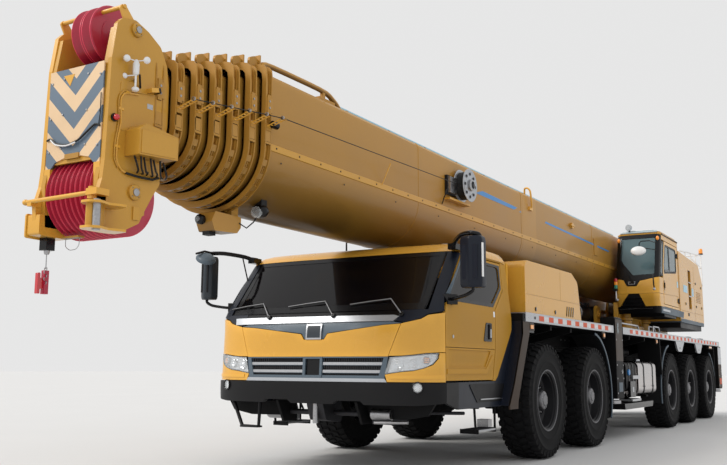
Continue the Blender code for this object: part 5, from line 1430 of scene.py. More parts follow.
# cab steps, both sides
for sg in (1, -1):
    for z, s0, s1, x0, x1 in ((0.40, -1.72, -1.25, 1.12, 1.33), (0.66, -1.74, -1.18, 1.10, 1.345)):
        a, b = sorted((sg * x0, sg * x1))
        g.box(a, b, s0, s1, z, z + 0.02, "alu2")
        g.box(a, b, s0 - 0.005, s0 + 0.012, z - 0.02, z + 0.028, "frame")
        g.box(a, b, s1 - 0.012, s1 + 0.005, z - 0.02, z + 0.028, "frame")
        for i in range(8):
            xx = a + (b - a) * (i + 0.5) / 8
            g.box(xx - 0.006, xx + 0.006, s0 + 0.02, s1 - 0.02, z + 0.02, z + 0.026, "iron")
    for s in (-1.76, -1.21):
        g.bar((sg * 1.30, s, 0.72), (sg * 1.30, s + (0.04 if s < -1.5 else 0.0), 0.40), 0.014, "frame", 8)
    g.box(*sorted((sg * 1.20, sg * 1.33)), -1.46, -1.36, 0.44, 0.52, "steel")
g.done()

# ------------------------------------------------------------------ mirrors
for sidename, sg in (("left", 1), ("right", -1)):
    g = Group(f"mirror_{sidename}_skin", "carrier", (f"mirror_{sidename}",), bevel=0.0, smooth=50)
    X = lambda v: sg * v
    def housing(x0, x1, s0, s1, z0, z1, m, r=0.03, bulge=0.02):
        rings = []
        for z, k in ((z0, 0.84), (z0 + 0.012, 0.94), (z0 + 0.04, 1.0), (z1 - 0.04, 1.0), (z1 - 0.012, 0.94), (z1, 0.84)):
            ring = rounded([(x0, s1), (x0 - 0.0, s0 + 0.02), ((x0 + x1) / 2, s0 - bulge), (x1, s0 + 0.03), (x1, s1)], [0.012, r, 0.05, r, 0.012], 4)
            cx, cs = (x0 + x1) / 2, (s0 + s1) / 2
            rings.append([(X(cx + (x - cx) * k), Y(cs + (s - cs) * k), z) for x, s in ring])
        g.rings(rings, m)
    housing(1.565, 1.795 if sg > 0 else 1.73, -2.665, -2.525, 1.83, 2.33, "navy" if sg > 0 else "bluedark")
    g.box(*sorted((X(1.585), X(1.775 if sg > 0 else 1.71))), -2.524, -2.516, 1.86, 2.30, "mirror")
    g.box(*sorted((X(1.755), X(1.80))), -2.63, -2.60, 1.93, 2.26, "white") if sg > 0 else None
    g.box(*sorted((X(1.60), X(1.76 if sg > 0 else 1.70))), -2.672, -2.660, 1.91, 2.24, "navy" if sg > 0 else "gloss")
    # arms
    g.tube([(X(1.29), -2.18, 2.30), (X(1.36), -2.30, 2.345), (X(1.52), -2.50, 2.375), (X(1.66), -2.58, 2.372), (X(1.74), -2.56, 2.352), (X(1.74), -2.56, 2.31)], 0.024, "gloss", 12, round_steps=2)
    g.tube([(X(1.34), -2.44, 1.735), (X(1.44), -2.52, 1.735), (X(1.60), -2.585, 1.76), (X(1.68), -2.585, 1.80), (X(1.68), -2.585, 1.85)], 0.017, "gloss", 10, round_steps=2)
    g.block((X(1.37), -2.47, 1.735), (0.10, 0.13, 0.10), "gloss", Matrix.Rotation(0.4 * -sg, 3, "Z"))
    g.block((X(1.30), -2.19, 2.30), (0.09, 0.14, 0.06), "gloss")
    # ramp mirror over the front
    if sg < 0:
        g.tube([(X(1.60), -2.58, 2.37), (X(1.62), -2.72, 2.38), (X(1.64), -2.84, 2.34)], 0.012, "gloss", 8)
        lean = Matrix.Translation((X(1.58), Y(-2.74), 2.285)) @ Matrix.Rotation(radians(24), 4, "Y") @ Matrix.Rotation(radians(28), 4, "X")
        g.rings([[(0.13 * rr * cos(2 * pi * i / 24), 0.10 * rr * sin(2 * pi * i / 24), z) for i in range(24)] for rr, z in ((0.35, 0.050), (0.75, 0.038), (0.97, 0.012), (1.0, -0.004), (0.96, -0.012))], "grey", at=lean)
        g.rings([[(0.12 * rr * cos(2 * pi * i / 24), 0.092 * rr * sin(2 * pi * i / 24), z) for i in range(24)] for rr, z in ((1.0, -0.011), (0.9, -0.015), (0.1, -0.017))], "mirror", at=lean)
        g.bar((X(1.28), -2.16, 2.33), (X(1.52), -2.50, 2.372), 0.010, "gloss", 8)
        g.bar((X(1.40), -2.30, 2.35), (X(1.30), -2.30, 2.02), 0.008, "gloss", 6)
    g.done()

# ------------------------------------------------------------------ operator's cab
OCX, OHALF, ORAD = 1.06, 0.40, 0.085
OFLAT, OARC = OHALF - ORAD, ORAD * pi / 2
OFRONT = [(2.08, 6.34), (2.20, 6.27), (2.42, 6.20), (2.60, 6.215), (2.78, 6.26), (3.55, 6.485), (3.62, 6.56), (3.66, 6.70)]


def op_front(z):
    z = min(max(z, OFRONT[0][0]), OFRONT[-1][0])
    for a, b in zip(OFRONT, OFRONT[1:]):
        if z <= b[0]:
            return a[1] + (b[1] - a[1]) * (z - a[0]) / (b[0] - a[0])
    return OFRONT[-1][1]


def op_p(u, z):
    f = op_front(z)
    a = abs(u)
    if a < OFLAT:
        x, s = a, f
    elif a < OFLAT + OARC:
        t = (a - OFLAT) / ORAD
        x, s = OFLAT + ORAD * sin(t), f + ORAD * (1 - cos(t))
    else:
        x, s = OHALF, f + ORAD + (a - OFLAT - OARC)
    return Vector((OCX + (x if u >= 0 else -x), Y(s), z))


def op_fn(u, z):
    e = 0.004
    p = op_p(u, z)
    du = op_p(u + e, z) - op_p(u - e, z)
    dz = op_p(u, z + e) - op_p(u, z - e)
    return p, du.cross(dz).normalized()


def OX(x, z):
    d = x - OCX
    a = abs(d)
    if a > OFLAT:
        from_flat = min(1.0, (a - OFLAT) / ORAD)
        a = OFLAT + ORAD * atan2(from_flat, sqrt(max(1e-9, 1 - from_flat ** 2)))
    return (a if d >= 0 else -a, z)


def OS(s, z, sg=1):
    d = s - op_front(z) - ORAD
    a = OFLAT + OARC + d
    return (sg * a, z)


def of_(points, step=0.05):
    return [OX(*p) for p in resample(points, step)]


def os_(points, sg=1, step=0.05):
    out = [OS(s, z, sg) for s, z in resample(points, step)]
    return out if sg > 0 else out[::-1]


def oskin(g, outline, m, t=0.02, holes=(), step=0.06, lift=0.0):
    g.panel(op_fn, outline, m, t, holes, step, lift)


ODOOR = [(6.62, 2.27), (7.90, 2.27), (7.90, 3.48), (6.80, 3.48), (6.62, 2.95)]
g = Group("operator_cab_shell", "superstructure", ("operator_cab",), smooth=38)
# front: dark frame with its vee, glass opening, lower yellow panel, trapezoid, sill
glass_hole = rounded([(0.745, 3.10), (0.985, 2.795), (1.385, 2.805), (1.385, 3.515), (0.745, 3.515)], 0.03, 3)
frame_out = [OS(6.50, 3.585, -1), OX(0.80, 3.600), OX(1.32, 3.600), OS(6.585, 3.575)]
frame_out = [OX(0.662, 2.742), OX(0.74, 2.728), OX(0.82, 2.716), OX(0.880, 2.606), OX(0.900, 2.592), OX(1.045, 2.590), OX(1.063, 2.600),
             OX(1.11, 2.690), OX(1.28, 2.722), OX(1.40, 2.745), OS(6.335, 2.762), OS(6.345, 2.762)]
frame_out += [OS(op_front(z) + 0.105, z) for z in (2.85, 2.95, 3.05, 3.15, 3.25, 3.35, 3.45)]
frame_out += [OS(6.575, 3.47), OS(6.585, 3.50), OS(6.58, 3.575), OX(1.40, 3.597), OX(1.06, 3.600), OX(0.72, 3.597), OS(6.60, 3.575, -1)]
frame_out += [OS(op_front(z) + 0.10, z, -1) for z in (3.50, 3.4, 3.3, 3.2, 3.1, 3.0, 2.9, 2.8, 2.75)]
oskin(g, frame_out, "gloss", 0.03, holes=[of_(glass_hole)], lift=0.002)
side_low = lambda s0, s1, z0, z1, sg=1: os_([(s0, z0), (s1, z0), (s1, z1), (s0, z1)], sg)
low_front = [OS(6.62, 2.455, -1), OX(0.70, 2.452), OX(1.06, 2.450), OX(1.42, 2.452), OS(6.605, 2.455), OS(6.605, 2.60), OS(6.605, 2.755), OS(6.345, 2.755),
             OX(1.40, 2.738), OX(1.28, 2.715), OX(1.116, 2.683), OX(1.068, 2.594), OX(1.045, 2.583), OX(0.895, 2.585), OX(0.874, 2.600), OX(0.815, 2.709), OX(0.74, 2.721), OX(0.662, 2.735), OS(6.62, 2.735, -1)]
oskin(g, low_front, "yellow", 0.03)
trap = [(0.915, 2.435), (1.100, 2.435), (1.195, 2.215), (0.770, 2.215)]
left_low = [OS(6.62, 2.215, -1)] + of_([(0.70, 2.215), (0.762, 2.215)], 0.05)[:2] + [OX(0.905, 2.435), OX(0.905, 2.446), OX(0.70, 2.446), OS(6.62, 2.446, -1)]
oskin(g, left_low, "yellow", 0.03)
right_low = [OX(1.203, 2.215), OX(1.32, 2.215), OX(1.42, 2.215), OS(6.605, 2.215), OS(6.605, 2.33), OS(6.605, 2.446), OX(1.42, 2.446), OX(1.25, 2.446), OX(1.110, 2.446), OX(1.110, 2.435)]
oskin(g, right_low, "yellow", 0.03)
oskin(g, [OX(x, z) for x, z in resample([(0.905, 2.444), (1.110, 2.444), (1.203, 2.217), (0.762, 2.217)], 0.06)], "black", 0.02, lift=-0.010)
for z in (2.27, 2.345):
    oskin(g, [OX(x, zz) for x, zz in resample([(0.83, z), (1.15, z), (1.14, z + 0.012), (0.84, z + 0.012)], 0.06)], "gloss", 0.012, lift=-0.004)
# plain raised badge blank in the vee
oskin(g, of_([(0.915, 2.620), (1.030, 2.620), (1.038, 2.672), (0.907, 2.672)]), "alu2", 0.008, lift=0.007)
oskin(g, of_([(0.922, 2.627), (1.023, 2.627), (1.030, 2.665), (0.915, 2.665)]), "gloss", 0.008, lift=0.010)
# sill under the cab, grey on the outer side
oskin(g, [OS(6.62, 2.09, -1), OX(0.70, 2.085), OX(1.06, 2.083), OX(1.42, 2.085), OS(6.40, 2.09), OS(6.40, 2.207), OX(1.42, 2.207), OX(1.06, 2.207), OX(0.70, 2.207), OS(6.62, 2.207, -1)], "black", 0.03)
oskin(g, of_([(0.72, 2.165), (1.32, 2.172), (1.32, 2.182), (0.72, 2.175)]), "alu2", 0.01, lift=0.012)
g.plate_x(1.43, 1.462, [(6.38, 2.092), (8.30, 2.088), (8.36, 2.215), (6.40, 2.215)], "grey")
g.plate_x(1.46, 1.472, [(6.46, 2.13), (7.05, 2.13), (7.05, 2.17), (6.46, 2.17)], "silver")
for s in (6.55, 7.20, 7.80, 8.20):
    g.turned("X", (1.462, s, 2.19), [(0.010, 0), (0.010, 0.006), (0.006, 0.009)], 8, "steel")
# outer side round the door
g.panel(op_fn, os_([(6.61, 2.222), (7.975, 2.222), (7.975, 3.50), (7.92, 3.575), (6.60, 3.575), (6.595, 3.49), (6.79, 3.49), (7.91, 3.49), (7.91, 2.262), (6.61, 2.262)], 1), "yellow", 0.03)
# fixed quarter glass before the door
tri = [(6.40, 2.79), (6.606, 2.79), (6.606, 2.96), (6.776, 3.462), (6.60, 3.462)]
oskin(g, os_(tri), "black", 0.012, holes=[os_(inset_tri) for inset_tri in [[(6.425, 2.83), (6.585, 2.83), (6.585, 2.97), (6.735, 3.425), (6.61, 3.425)]]], lift=0.001)
oskin(g, os_([(6.425, 2.83), (6.585, 2.83), (6.585, 2.97), (6.735, 3.425), (6.61, 3.425)]), "glass2", 0.006, lift=-0.004)
# inner side, back wall and floor
inner = [(6.40, 2.22), (7.975, 2.22), (7.975, 3.575), (6.62, 3.575)]
oskin(g, os_([(6.62, 2.22), (7.975, 2.22), (7.975, 3.575), (6.62, 3.575)], -1), "yellow", 0.02, holes=[os_(rounded([(6.72, 2.70), (7.85, 2.70), (7.85, 3.45), (6.80, 3.45)], 0.06), -1)])
oskin(g, os_(rounded([(6.72, 2.70), (7.85, 2.70), (7.85, 3.45), (6.80, 3.45)], 0.06), -1), "glass2", 0.006, lift=-0.006)
g.plate_y(7.955, 7.985, rounded([(OCX - OHALF, 2.20), (OCX + OHALF, 2.20), (OCX + OHALF, 3.60), (OCX - OHALF, 3.60)], 0.03, 3), "yellow")
g.plate_y(7.948, 7.954, rounded([(OCX - 0.30, 2.95), (OCX + 0.30, 2.95), (OCX + 0.30, 3.45), (OCX - 0.30, 3.45)], 0.05, 3), "glass2")
g.box(OCX - OHALF + 0.01, OCX + OHALF - 0.01, 6.36, 7.97, 2.20, 2.238, "plastic")
# roof: gutter, brow, hatch glass with its guard bars
roof = rounded([(OCX - OHALF - 0.004, 6.53), (OCX + OHALF + 0.004, 6.53), (OCX + OHALF + 0.004, 7.99), (OCX - OHALF - 0.004, 7.99)], [0.09, 0.09, 0.05, 0.05], 5)
roof2 = rounded([(OCX - OHALF + 0.03, 6.60), (OCX + OHALF - 0.03, 6.60), (OCX + OHALF - 0.03, 7.95), (OCX - OHALF + 0.03, 7.95)], [0.09, 0.09, 0.05, 0.05], 5)
ring = lambda pts, z: [(x, Y(s), z) for x, s in pts]
g.rings([ring(roof, 3.572), ring(roof, 3.604), ring(roof2, 3.640), ring(roof2, 3.650)], "yellow2")
g.plate_z(3.650, 3.672, rounded([(0.80, 6.66), (1.32, 6.66), (1.32, 7.74), (0.80, 7.74)], 0.05, 4), "gloss")
g.plate_z(3.673, 3.680, rounded([(0.84, 6.70), (1.28, 6.70), (1.28, 7.70), (0.84, 7.70)], 0.04, 4), "sky")
for k in range(6):
    g.bar((0.82 + 0.096 * k, 6.66, 3.690), (0.82 + 0.096 * k, 7.74, 3.690), 0.006, "white", 8)
for s in (6.66, 7.20, 7.74):
    g.bar((0.80, s, 3.690), (1.32, s, 3.690), 0.008, "white", 8)
oskin(g, [OS(6.60, 3.583, -1), OX(0.72, 3.605), OX(1.06, 3.606), OX(1.40, 3.605), OS(6.66, 3.583), OS(6.66, 3.600), OX(1.40, 3.620), OX(1.06, 3.622), OX(0.72, 3.620), OS(6.60, 3.600, -1)], "ochre", 0.02, lift=0.012)
oskin(g, [OX(0.72, 3.612), OX(1.06, 3.612), OX(1.40, 3.612), OX(1.38, 3.650), OX(1.06, 3.655), OX(0.74, 3.650)], "roofglass", 0.02, lift=0.032)
g.bar((1.466, 6.60, 3.588), (1.466, 7.96, 3.588), 0.013, "brown", 8)
# corner lamps, roof lamp, wiper, mirror, handle bar
for x, z in ((0.70, 3.49), (1.42, 3.50)):
    g.ball((x, op_front(z) + 0.005, z), (0.030, 0.030, 0.042), "amber", 14, 8)
g.bar((0.86, 6.66, 3.65), (0.86, 6.66, 3.71), 0.014, "black", 8)
g.turned("Y", (0.86, 6.60, 3.755), [(0.030, 0.10), (0.058, 0.05), (0.062, 0.0), (0.056, -0.006)], 18, "silver")
g.turned("Y", (0.86, 6.592, 3.755), [(0.052, 0.0), (0.040, -0.006), (0.01, -0.008)], 18, "lens")
wz = [(0.985, op_front(2.66) - 0.028, 2.665), (0.870, op_front(2.90) - 0.034, 2.90), (0.765, op_front(3.10) - 0.032, 3.10)]
g.tube(wz, 0.008, "gloss", 8)
g.tube([(0.776, op_front(2.98) - 0.022, 2.98), (0.765, op_front(3.10) - 0.022, 3.10), (0.762, op_front(3.50) - 0.022, 3.50)], 0.007, "gloss", 8)
g.turned("Y", (0.985, op_front(2.66) - 0.035, 2.665), [(0.024, 0.0), (0.024, 0.04)], 14, "gloss")
g.tube([(1.40, 6.30, 3.40), (1.36, 6.10, 3.405), (1.22, 6.03, 3.395), (1.185, 6.03, 3.36), (1.185, 6.03, 3.30)], 0.010, "gloss", 8)
g.tube([(1.41, 6.36, 3.26), (1.30, 6.14, 3.27), (1.20, 6.04, 3.27)], 0.008, "gloss", 8)
at = Matrix.Translation((1.17, Y(6.01), 3.215)) @ Matrix.Rotation(radians(-12), 4, "X") @ Matrix.Rotation(pi, 4, "Z")
n = 28
g.rings([[(rr * 0.140 * cos(2 * pi * i / n), d, rr * 0.088 * sin(2 * pi * i / n)) for i in range(n)] for rr, d in ((0.60, 0.050), (0.92, 0.030), (1.0, 0.006), (1.0, -0.006), (0.95, -0.010))], "white", at=at)
g.rings([[(rr * 0.140 * cos(2 * pi * i / n), d, rr * 0.088 * sin(2 * pi * i / n)) for i in range(n)] for rr, d in ((0.93, -0.010), (0.90, -0.013), (0.05, -0.014))], "mirror", at=at)
g.tube([(1.385, 6.17, 2.79), (1.385, 6.135, 2.76), (1.395, 6.12, 2.60), (1.40, 6.13, 2.52)], 0.013, "gloss", 10)
g.ball((1.40, 6.125, 2.515), (0.026, 0.026, 0.026), "silver", 12, 6)
# lamp tower on its pole at the inner front corner
g.bar((0.700, 6.14, 2.335), (0.700, 6.14, 2.50), 0.011, "white", 10)
g.bar((0.700, 6.20, 2.335), (0.700, 6.14, 2.335), 0.016, "white", 10)
g.ball((0.715, 6.13, 2.335), (0.032, 0.032, 0.028), "silver", 12, 6)
tower = [("black", 2.50, 2.545), ("greenlamp", 2.547, 2.615), ("amber", 2.617, 2.675), ("redlamp", 2.677, 2.735)]
for m, z0, z1 in tower:
    g.turned("Z", (0.700, 6.14, 0), [(0.030, z0), (0.033, z0 + 0.004), (0.033, z1 - 0.004), (0.028, z1)], 18, m)
g.box(0.645, 0.675, 6.12, 6.16, 2.50, 2.56, "black")
g.done()

g = Group("operator_screen_pane", "superstructure", ("operator_windscreen",), smooth=50)
oskin(g, of_(rounded([(0.748, 3.095), (0.988, 2.80), (1.380, 2.81), (1.380, 3.51), (0.748, 3.51)], 0.03, 3)), "glass2", 0.006, lift=-0.006)
g.done()

g = Group("operator_cab_door_skin", "operator_cab_door", ("operator_cab_door",), smooth=40)
win = rounded([(6.70, 2.845), (7.79, 2.945), (7.81, 3.42), (6.865, 3.42), (6.70, 2.99)], [0.05, 0.09, 0.09, 0.04, 0.04], 4)
out = rounded([(6.624, 2.274), (7.896, 2.274), (7.896, 3.476), (6.806, 3.476), (6.624, 2.952)], [0.02, 0.02, 0.04, 0.03, 0.03], 3)
oskin(g, os_(out), "yellow", 0.034, holes=[os_(win)], lift=0.001)
rim = rounded([(6.735, 2.885), (7.75, 2.98), (7.77, 3.385), (6.885, 3.385), (6.735, 3.0)], [0.04, 0.07, 0.07, 0.03, 0.03], 4)
oskin(g, os_(win), "black", 0.012, holes=[os_(rim)], lift=0.003, step=0.05)
oskin(g, os_(rim), "glass2", 0.006, lift=-0.004)
# sliding half: dark upright and bottom rail
oskin(g, os_([(7.17, 2.930), (7.22, 2.935), (7.20, 3.385), (7.14, 3.385)]), "gloss", 0.010, lift=0.006)
oskin(g, os_([(6.735, 2.893), (7.20, 2.937), (7.20, 2.965), (6.735, 2.922)]), "gloss", 0.010, lift=0.006)
# pressed seams, oval pull handle, lock, hinges
for pts in ([(6.64, 2.452), (7.84, 2.490), (7.84, 2.498), (6.64, 2.460)], [(7.836, 2.30), (7.846, 2.30), (7.846, 2.494), (7.836, 2.494)]):
    oskin(g, os_(pts), "ochre2", 0.004, lift=0.0035)
n = 20
hand = [(6.685 + 0.034 * cos(2 * pi * i / n), 2.62 + 0.095 * sin(2 * pi * i / n)) for i in range(n)]
oskin(g, os_(hand, step=0.5), "gloss", 0.008, lift=0.006, step=0.03)
g.bar((1.470, 6.69, 2.57), (1.470, 6.69, 2.67), 0.009, "black", 8)
g.turned("X", (1.461, 6.685, 2.50), [(0.012, 0), (0.012, 0.006), (0.007, 0.008)], 10, "steel")
for z in (2.40, 3.30):
    g.bar((1.470, 7.885, z - 0.05), (1.470, 7.885, z + 0.05), 0.013, "black", 10)
    g.box(1.458, 1.470, 7.80, 7.885, z - 0.035, z + 0.035, "black")
g.box(1.4605, 1.4645, 7.80, 7.89, 2.67, 2.79, "sky")
g.done()

# seat, arm consoles, levers and pedals
g = Group("operator_controls", "superstructure", ("operator_seat",), bevel=0.008, smooth=40)
g.plate_z(2.24, 2.27, rounded([(0.92, 7.14), (1.28, 7.14), (1.28, 7.56), (0.92, 7.56)], 0.03, 3), "black")
g.turned("Z", (1.10, 7.35, 0), [(0.12, 2.27), (0.12, 2.30), (0.07, 2.33), (0.07, 2.46), (0.14, 2.50), (0.14, 2.535)], 20, "plastic")
for x0, x1 in ((0.80, 0.875), (1.305, 1.38)):
    g.plate_x(x0, x1, rounded([(7.00, 2.64), (7.05, 2.60), (7.48, 2.60), (7.50, 2.80), (7.42, 2.86), (7.00, 2.84)], 0.03, 3), "plastic")
    xm = (x0 + x1) / 2
    g.bar((xm, 7.07, 2.84), (xm, 7.05, 2.98), 0.010, "chrome", 10)
    g.ball((xm, 7.045, 3.01), (0.026, 0.028, 0.045), "gloss", 14, 8)
    for k in range(3):
        g.turned("Z", (xm, 7.20 + 0.06 * k, 0), [(0.011, 2.855), (0.011, 2.872), (0.008, 2.876)], 12, ("redlamp", "greenlamp", "white")[k])
    for sg in (-1, 1):
        pass
for x in (0.98, 1.20):
    g.plate_x(x - 0.05, x + 0.05, [(6.70, 2.26), (6.86, 2.42), (6.845, 2.43), (6.68, 2.27)], "rubberhose")
g.plate_x(0.84, 1.34, rounded([(6.68, 2.45), (6.80, 2.42), (6.83, 2.50), (6.72, 2.56)], 0.02, 3), "plastic")
g.bar((1.32, 6.75, 2.26), (1.34, 6.70, 2.90), 0.018, "black", 10)
g.block((1.30, 6.70, 3.02), (0.24, 0.03, 0.17), "gloss", Matrix.Rotation(radians(-18), 3, "X"))
g.done()


def cushion(name, body, centre, size, crown, turn, holder=()):
    """A crowned pad: corners pulled in, piped edge, sewn channels across it."""
    bm = bmesh.new()
    nx, ny = 26, 26
    hx, hy, hz = size[0] / 2, size[1] / 2, size[2] / 2
    grid = {}
    rot = Matrix.Rotation(turn, 4, "X")
    at = Matrix.Translation((centre[0], Y(centre[1]), centre[2])) @ rot

    def pt(i, j, top):
        u, v = -1 + 2 * i / nx, -1 + 2 * j / ny
        pull = 1 - 0.045 * (1 - u * u) - 0.0
        pull2 = 1 - 0.045 * (1 - v * v)
        x, y = hx * u * (pull2 + 0.045 * v * v), hy * v * (pull + 0.045 * u * u)
        edge = max(0.0, 1 - max(abs(u), abs(v)) ** 6)
        z = hz * 0.25 + (hz * 0.75 + crown) * edge ** 0.5 * (1 - 0.35 * max(u * u, v * v))
        if abs(u) < 0.86:
            z -= 0.007 * max(0.0, 1 - (abs(((v + 1) * 2.5) % 1 - 0.5) / 0.07) ** 2) * edge
        for k in (-0.62, 0.62):
            z -= 0.008 * max(0.0, 1 - (abs(u - k) / 0.05) ** 2) * edge
        zz = z if top else -hz * 0.9 * (edge ** 0.25) - 0.0
        return at @ Vector((x, y, zz))

    top = [[bm.verts.new(pt(i, j, True)) for j in range(ny + 1)] for i in range(nx + 1)]
    low = [[bm.verts.new(pt(i, j, False)) for j in range(ny + 1)] for i in range(nx + 1)]
    for i in range(nx):
        for j in range(ny):
            bm.faces.new([top[i][j], top[i + 1][j], top[i + 1][j + 1], top[i][j + 1]])
            bm.faces.new([low[i][j + 1], low[i + 1][j + 1], low[i + 1][j], low[i][j]])
    for i in range(nx):
        bm.faces.new([low[i][0], low[i + 1][0], top[i + 1][0], top[i][0]])
        bm.faces.new([top[i][ny], top[i + 1][ny], low[i + 1][ny], low[i][ny]])
    for j in range(ny):
        bm.faces.new([top[0][j], top[0][j + 1], low[0][j + 1], low[0][j]])
        bm.faces.new([low[nx][j], low[nx][j + 1], top[nx][j + 1], top[nx][j]])
    mesh = bpy.data.meshes.new(name)
    bm.to_mesh(mesh)
    bm.free()
    mesh.materials.append(M["seat"])
    mesh.shade_smooth()
    obj = bpy.data.objects.new(name, mesh)
    scene.collection.objects.link(obj)
    sub = obj.modifiers.new("sub", "SUBSURF")
    sub.levels = sub.render_levels = 1
    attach(obj, body)
    return obj


cushion("operator_seat_cushion", "superstructure", (1.10, 7.34, 2.605), (0.42, 0.46, 0.12), 0.02, 0.0)
cushion("operator_seat_back", "superstructure", (1.10, 7.655, 2.99), (0.40, 0.62, 0.10), 0.02, radians(78))
for sg, nm in ((1, "left"), (-1, "right")):
    cushion(f"cab_seat_cushion_{nm}", "carrier", (0.62 * sg, -1.55, 1.27), (0.45, 0.48, 0.11), 0.02, 0.0)
    cushion(f"cab_seat_back_{nm}", "carrier", (0.62 * sg, -1.245, 1.63), (0.43, 0.62, 0.09), 0.02, radians(77))

# ------------------------------------------------------------------ machinery housings
HL = rounded([(8.03, 2.02), (10.43, 2.02), (10.50, 2.12), (10.50, 2.95), (10.10, 3.34), (8.35, 3.42), (8.03, 3.44)], [0.02, 0.06, 0.10, 0.10, 0.10, 0.06, 0.02], 4)
g = Group("housing_left_skin", "superstructure", ("superstructure_hood_left",), bevel=0.012, smooth=35)
slot_hole = [(8.93, 2.30), (9.20, 2.30), (9.20, 3.13), (8.93, 3.13)]


def flat_x(x):
    return lambda s, z: (Vector((x, Y(s), z)), Vector((1.0, 0.0, 0.0)))


g.panel(flat_x(1.46), HL, "yellow", 0.03, holes=[rounded(slot_hole, 0.02, 2)], step=0.12)
g.panel(flat_x(0.79), HL, "yellow2", 0.03, step=0.12)
ring2 = [(s, z) for s, z in HL]
for (s0, z0), (s1, z1) in zip(ring2, ring2[1:] + ring2[:1]):
    d = Vector((s1 - s0, z1 - z0))
    if d.length < 1e-5:
        continue
    n2 = Vector((d.y, -d.x)).normalized() * 0.012
    g.rings([[(x, Y(s0), z0), (x, Y(s1), z1), (x, Y(s1 - n2.x), z1 - n2.y), (x, Y(s0 - n2.x), z0 - n2.y)] for x in (0.785, 1.445)], "yellow")
# ladder recess: liner, rungs
g.plate_x(1.30, 1.31, slot_hole, "ochre2")
for s in (8.925, 9.195):
    g.box(1.31, 1.44, s, s + 0.010, 2.30, 3.13, "ochre2")
for z in (2.30, 2.57, 2.86, 3.12):
    g.box(1.32, 1.462, 8.93, 9.20, z, z + 0.016, "ochre")
for z in (2.57, 2.86):
    g.bar((1.455, 8.93, z + 0.012), (1.455, 9.20, z + 0.012), 0.014, "alu2", 10)
# squares of pale blue, seams, latches, foot plate
g.box(1.460, 1.4645, 8.42, 8.80, 2.63, 2.78, "sky")
g.box(1.460, 1.4645, 9.27, 9.44, 2.60, 2.77, "sky")
for s0, s1, z0, z1 in ((9.53, 9.54, 2.06, 3.25), (8.05, 9.53, 2.24, 2.25), (9.54, 10.46, 2.245, 2.255), (8.06, 8.07, 2.25, 3.40)):
    g.box(1.4595, 1.4615, s0, s1, z0, z1, "ochre2")
for s in (9.58, 9.66):
    pass
for s, z in ((8.60, 2.40), (9.70, 2.40), (10.30, 2.40), (9.70, 2.90), (10.30, 2.85)):
    g.turned("X", (1.46, s, z), [(0.028, 0), (0.028, 0.006), (0.016, 0.010), (0.016, 0.006)], 14, "black")
    g.box(1.466, 1.474, s - 0.006, s + 0.006, z - 0.02, z + 0.02, "silver")
g.box(1.461, 1.466, 8.80, 8.92, 2.16, 2.22, "black")
for k in range(7):
    g.box(1.458, 1.468, 9.75, 10.20, 2.50 + 0.035 * k, 2.512 + 0.035 * k, "ochre2")
# top: filler and tread patches
g.turned("Z", (1.10, 9.85, 3.36), [(0.06, 0.0), (0.06, 0.05), (0.05, 0.06)], 18, "black")
g.plate_z(3.425, 3.433, [(0.85, 8.40), (1.38, 8.40), (1.38, 9.60), (0.85, 9.60)], "plastic")
for i in range(7):
    for j in range(15):
        g.block((0.89 + 0.075 * i, 8.46 + 0.078 * j, 3.436), (0.034, 0.010, 0.006), "plastic", Matrix.Rotation(radians(45 if (i + j) % 2 else -45), 3, "Z"))
g.done()

HR = rounded([(6.92, 2.20), (8.10, 2.20), (8.16, 2.02), (10.43, 2.02), (10.50, 2.12), (10.50, 2.95), (10.10, 3.10), (7.12, 3.10), (6.92, 2.95)], 0.05, 4)
g = Group("housing_right_skin", "superstructure", ("superstructure_hood_right",), bevel=0.012, smooth=35)
g.plate_x(-1.455, -0.77, HR, "yellow")
for s0, s1, z0, z1 in ((8.26, 8.27, 2.06, 3.06), (9.30, 9.31, 2.06, 3.06), (6.98, 10.46, 2.36, 2.37)):
    g.box(-1.460, -1.454, s0, s1, z0, z1, "ochre2")
for s0 in (7.15, 8.45, 9.50):
    g.box(-1.460, -1.452, s0, s0 + 0.70, 2.48, 2.92, "black")
    for k in range(9):
        g.block((-1.460, s0 + 0.35, 2.51 + 0.047 * k), (0.020, 0.69, 0.012), "yellow2", Matrix.Rotation(radians(30), 3, "Y"))
    for s, z in ((s0 + 0.04, 2.43), (s0 + 0.66, 2.43)):
        g.turned("X", (-1.462, s, z), [(0.016, -0.004), (0.024, 0.0), (0.024, 0.006)], 14, "black")
g.turned("Z", (-1.10, 8.60, 3.10), [(0.08, 0.0), (0.08, 0.26), (0.088, 0.26), (0.088, 0.29), (0.06, 0.30)], 20, "black")
g.turned("Z", (-1.22, 9.70, 3.09), [(0.050, 0.0), (0.050, 0.34), (0.042, 0.34), (0.042, 0.02)], 18, "steel")
g.plate_z(3.10, 3.108, [(-1.38, 7.30), (-0.85, 7.30), (-0.85, 8.30), (-1.38, 8.30)], "plastic")
for i in range(7):
    for j in range(12):
        g.block((-1.345 + 0.075 * i, 7.36 + 0.078 * j, 3.111), (0.034, 0.010, 0.006), "plastic", Matrix.Rotation(radians(45 if (i + j) % 2 else -45), 3, "Z"))
g.done()

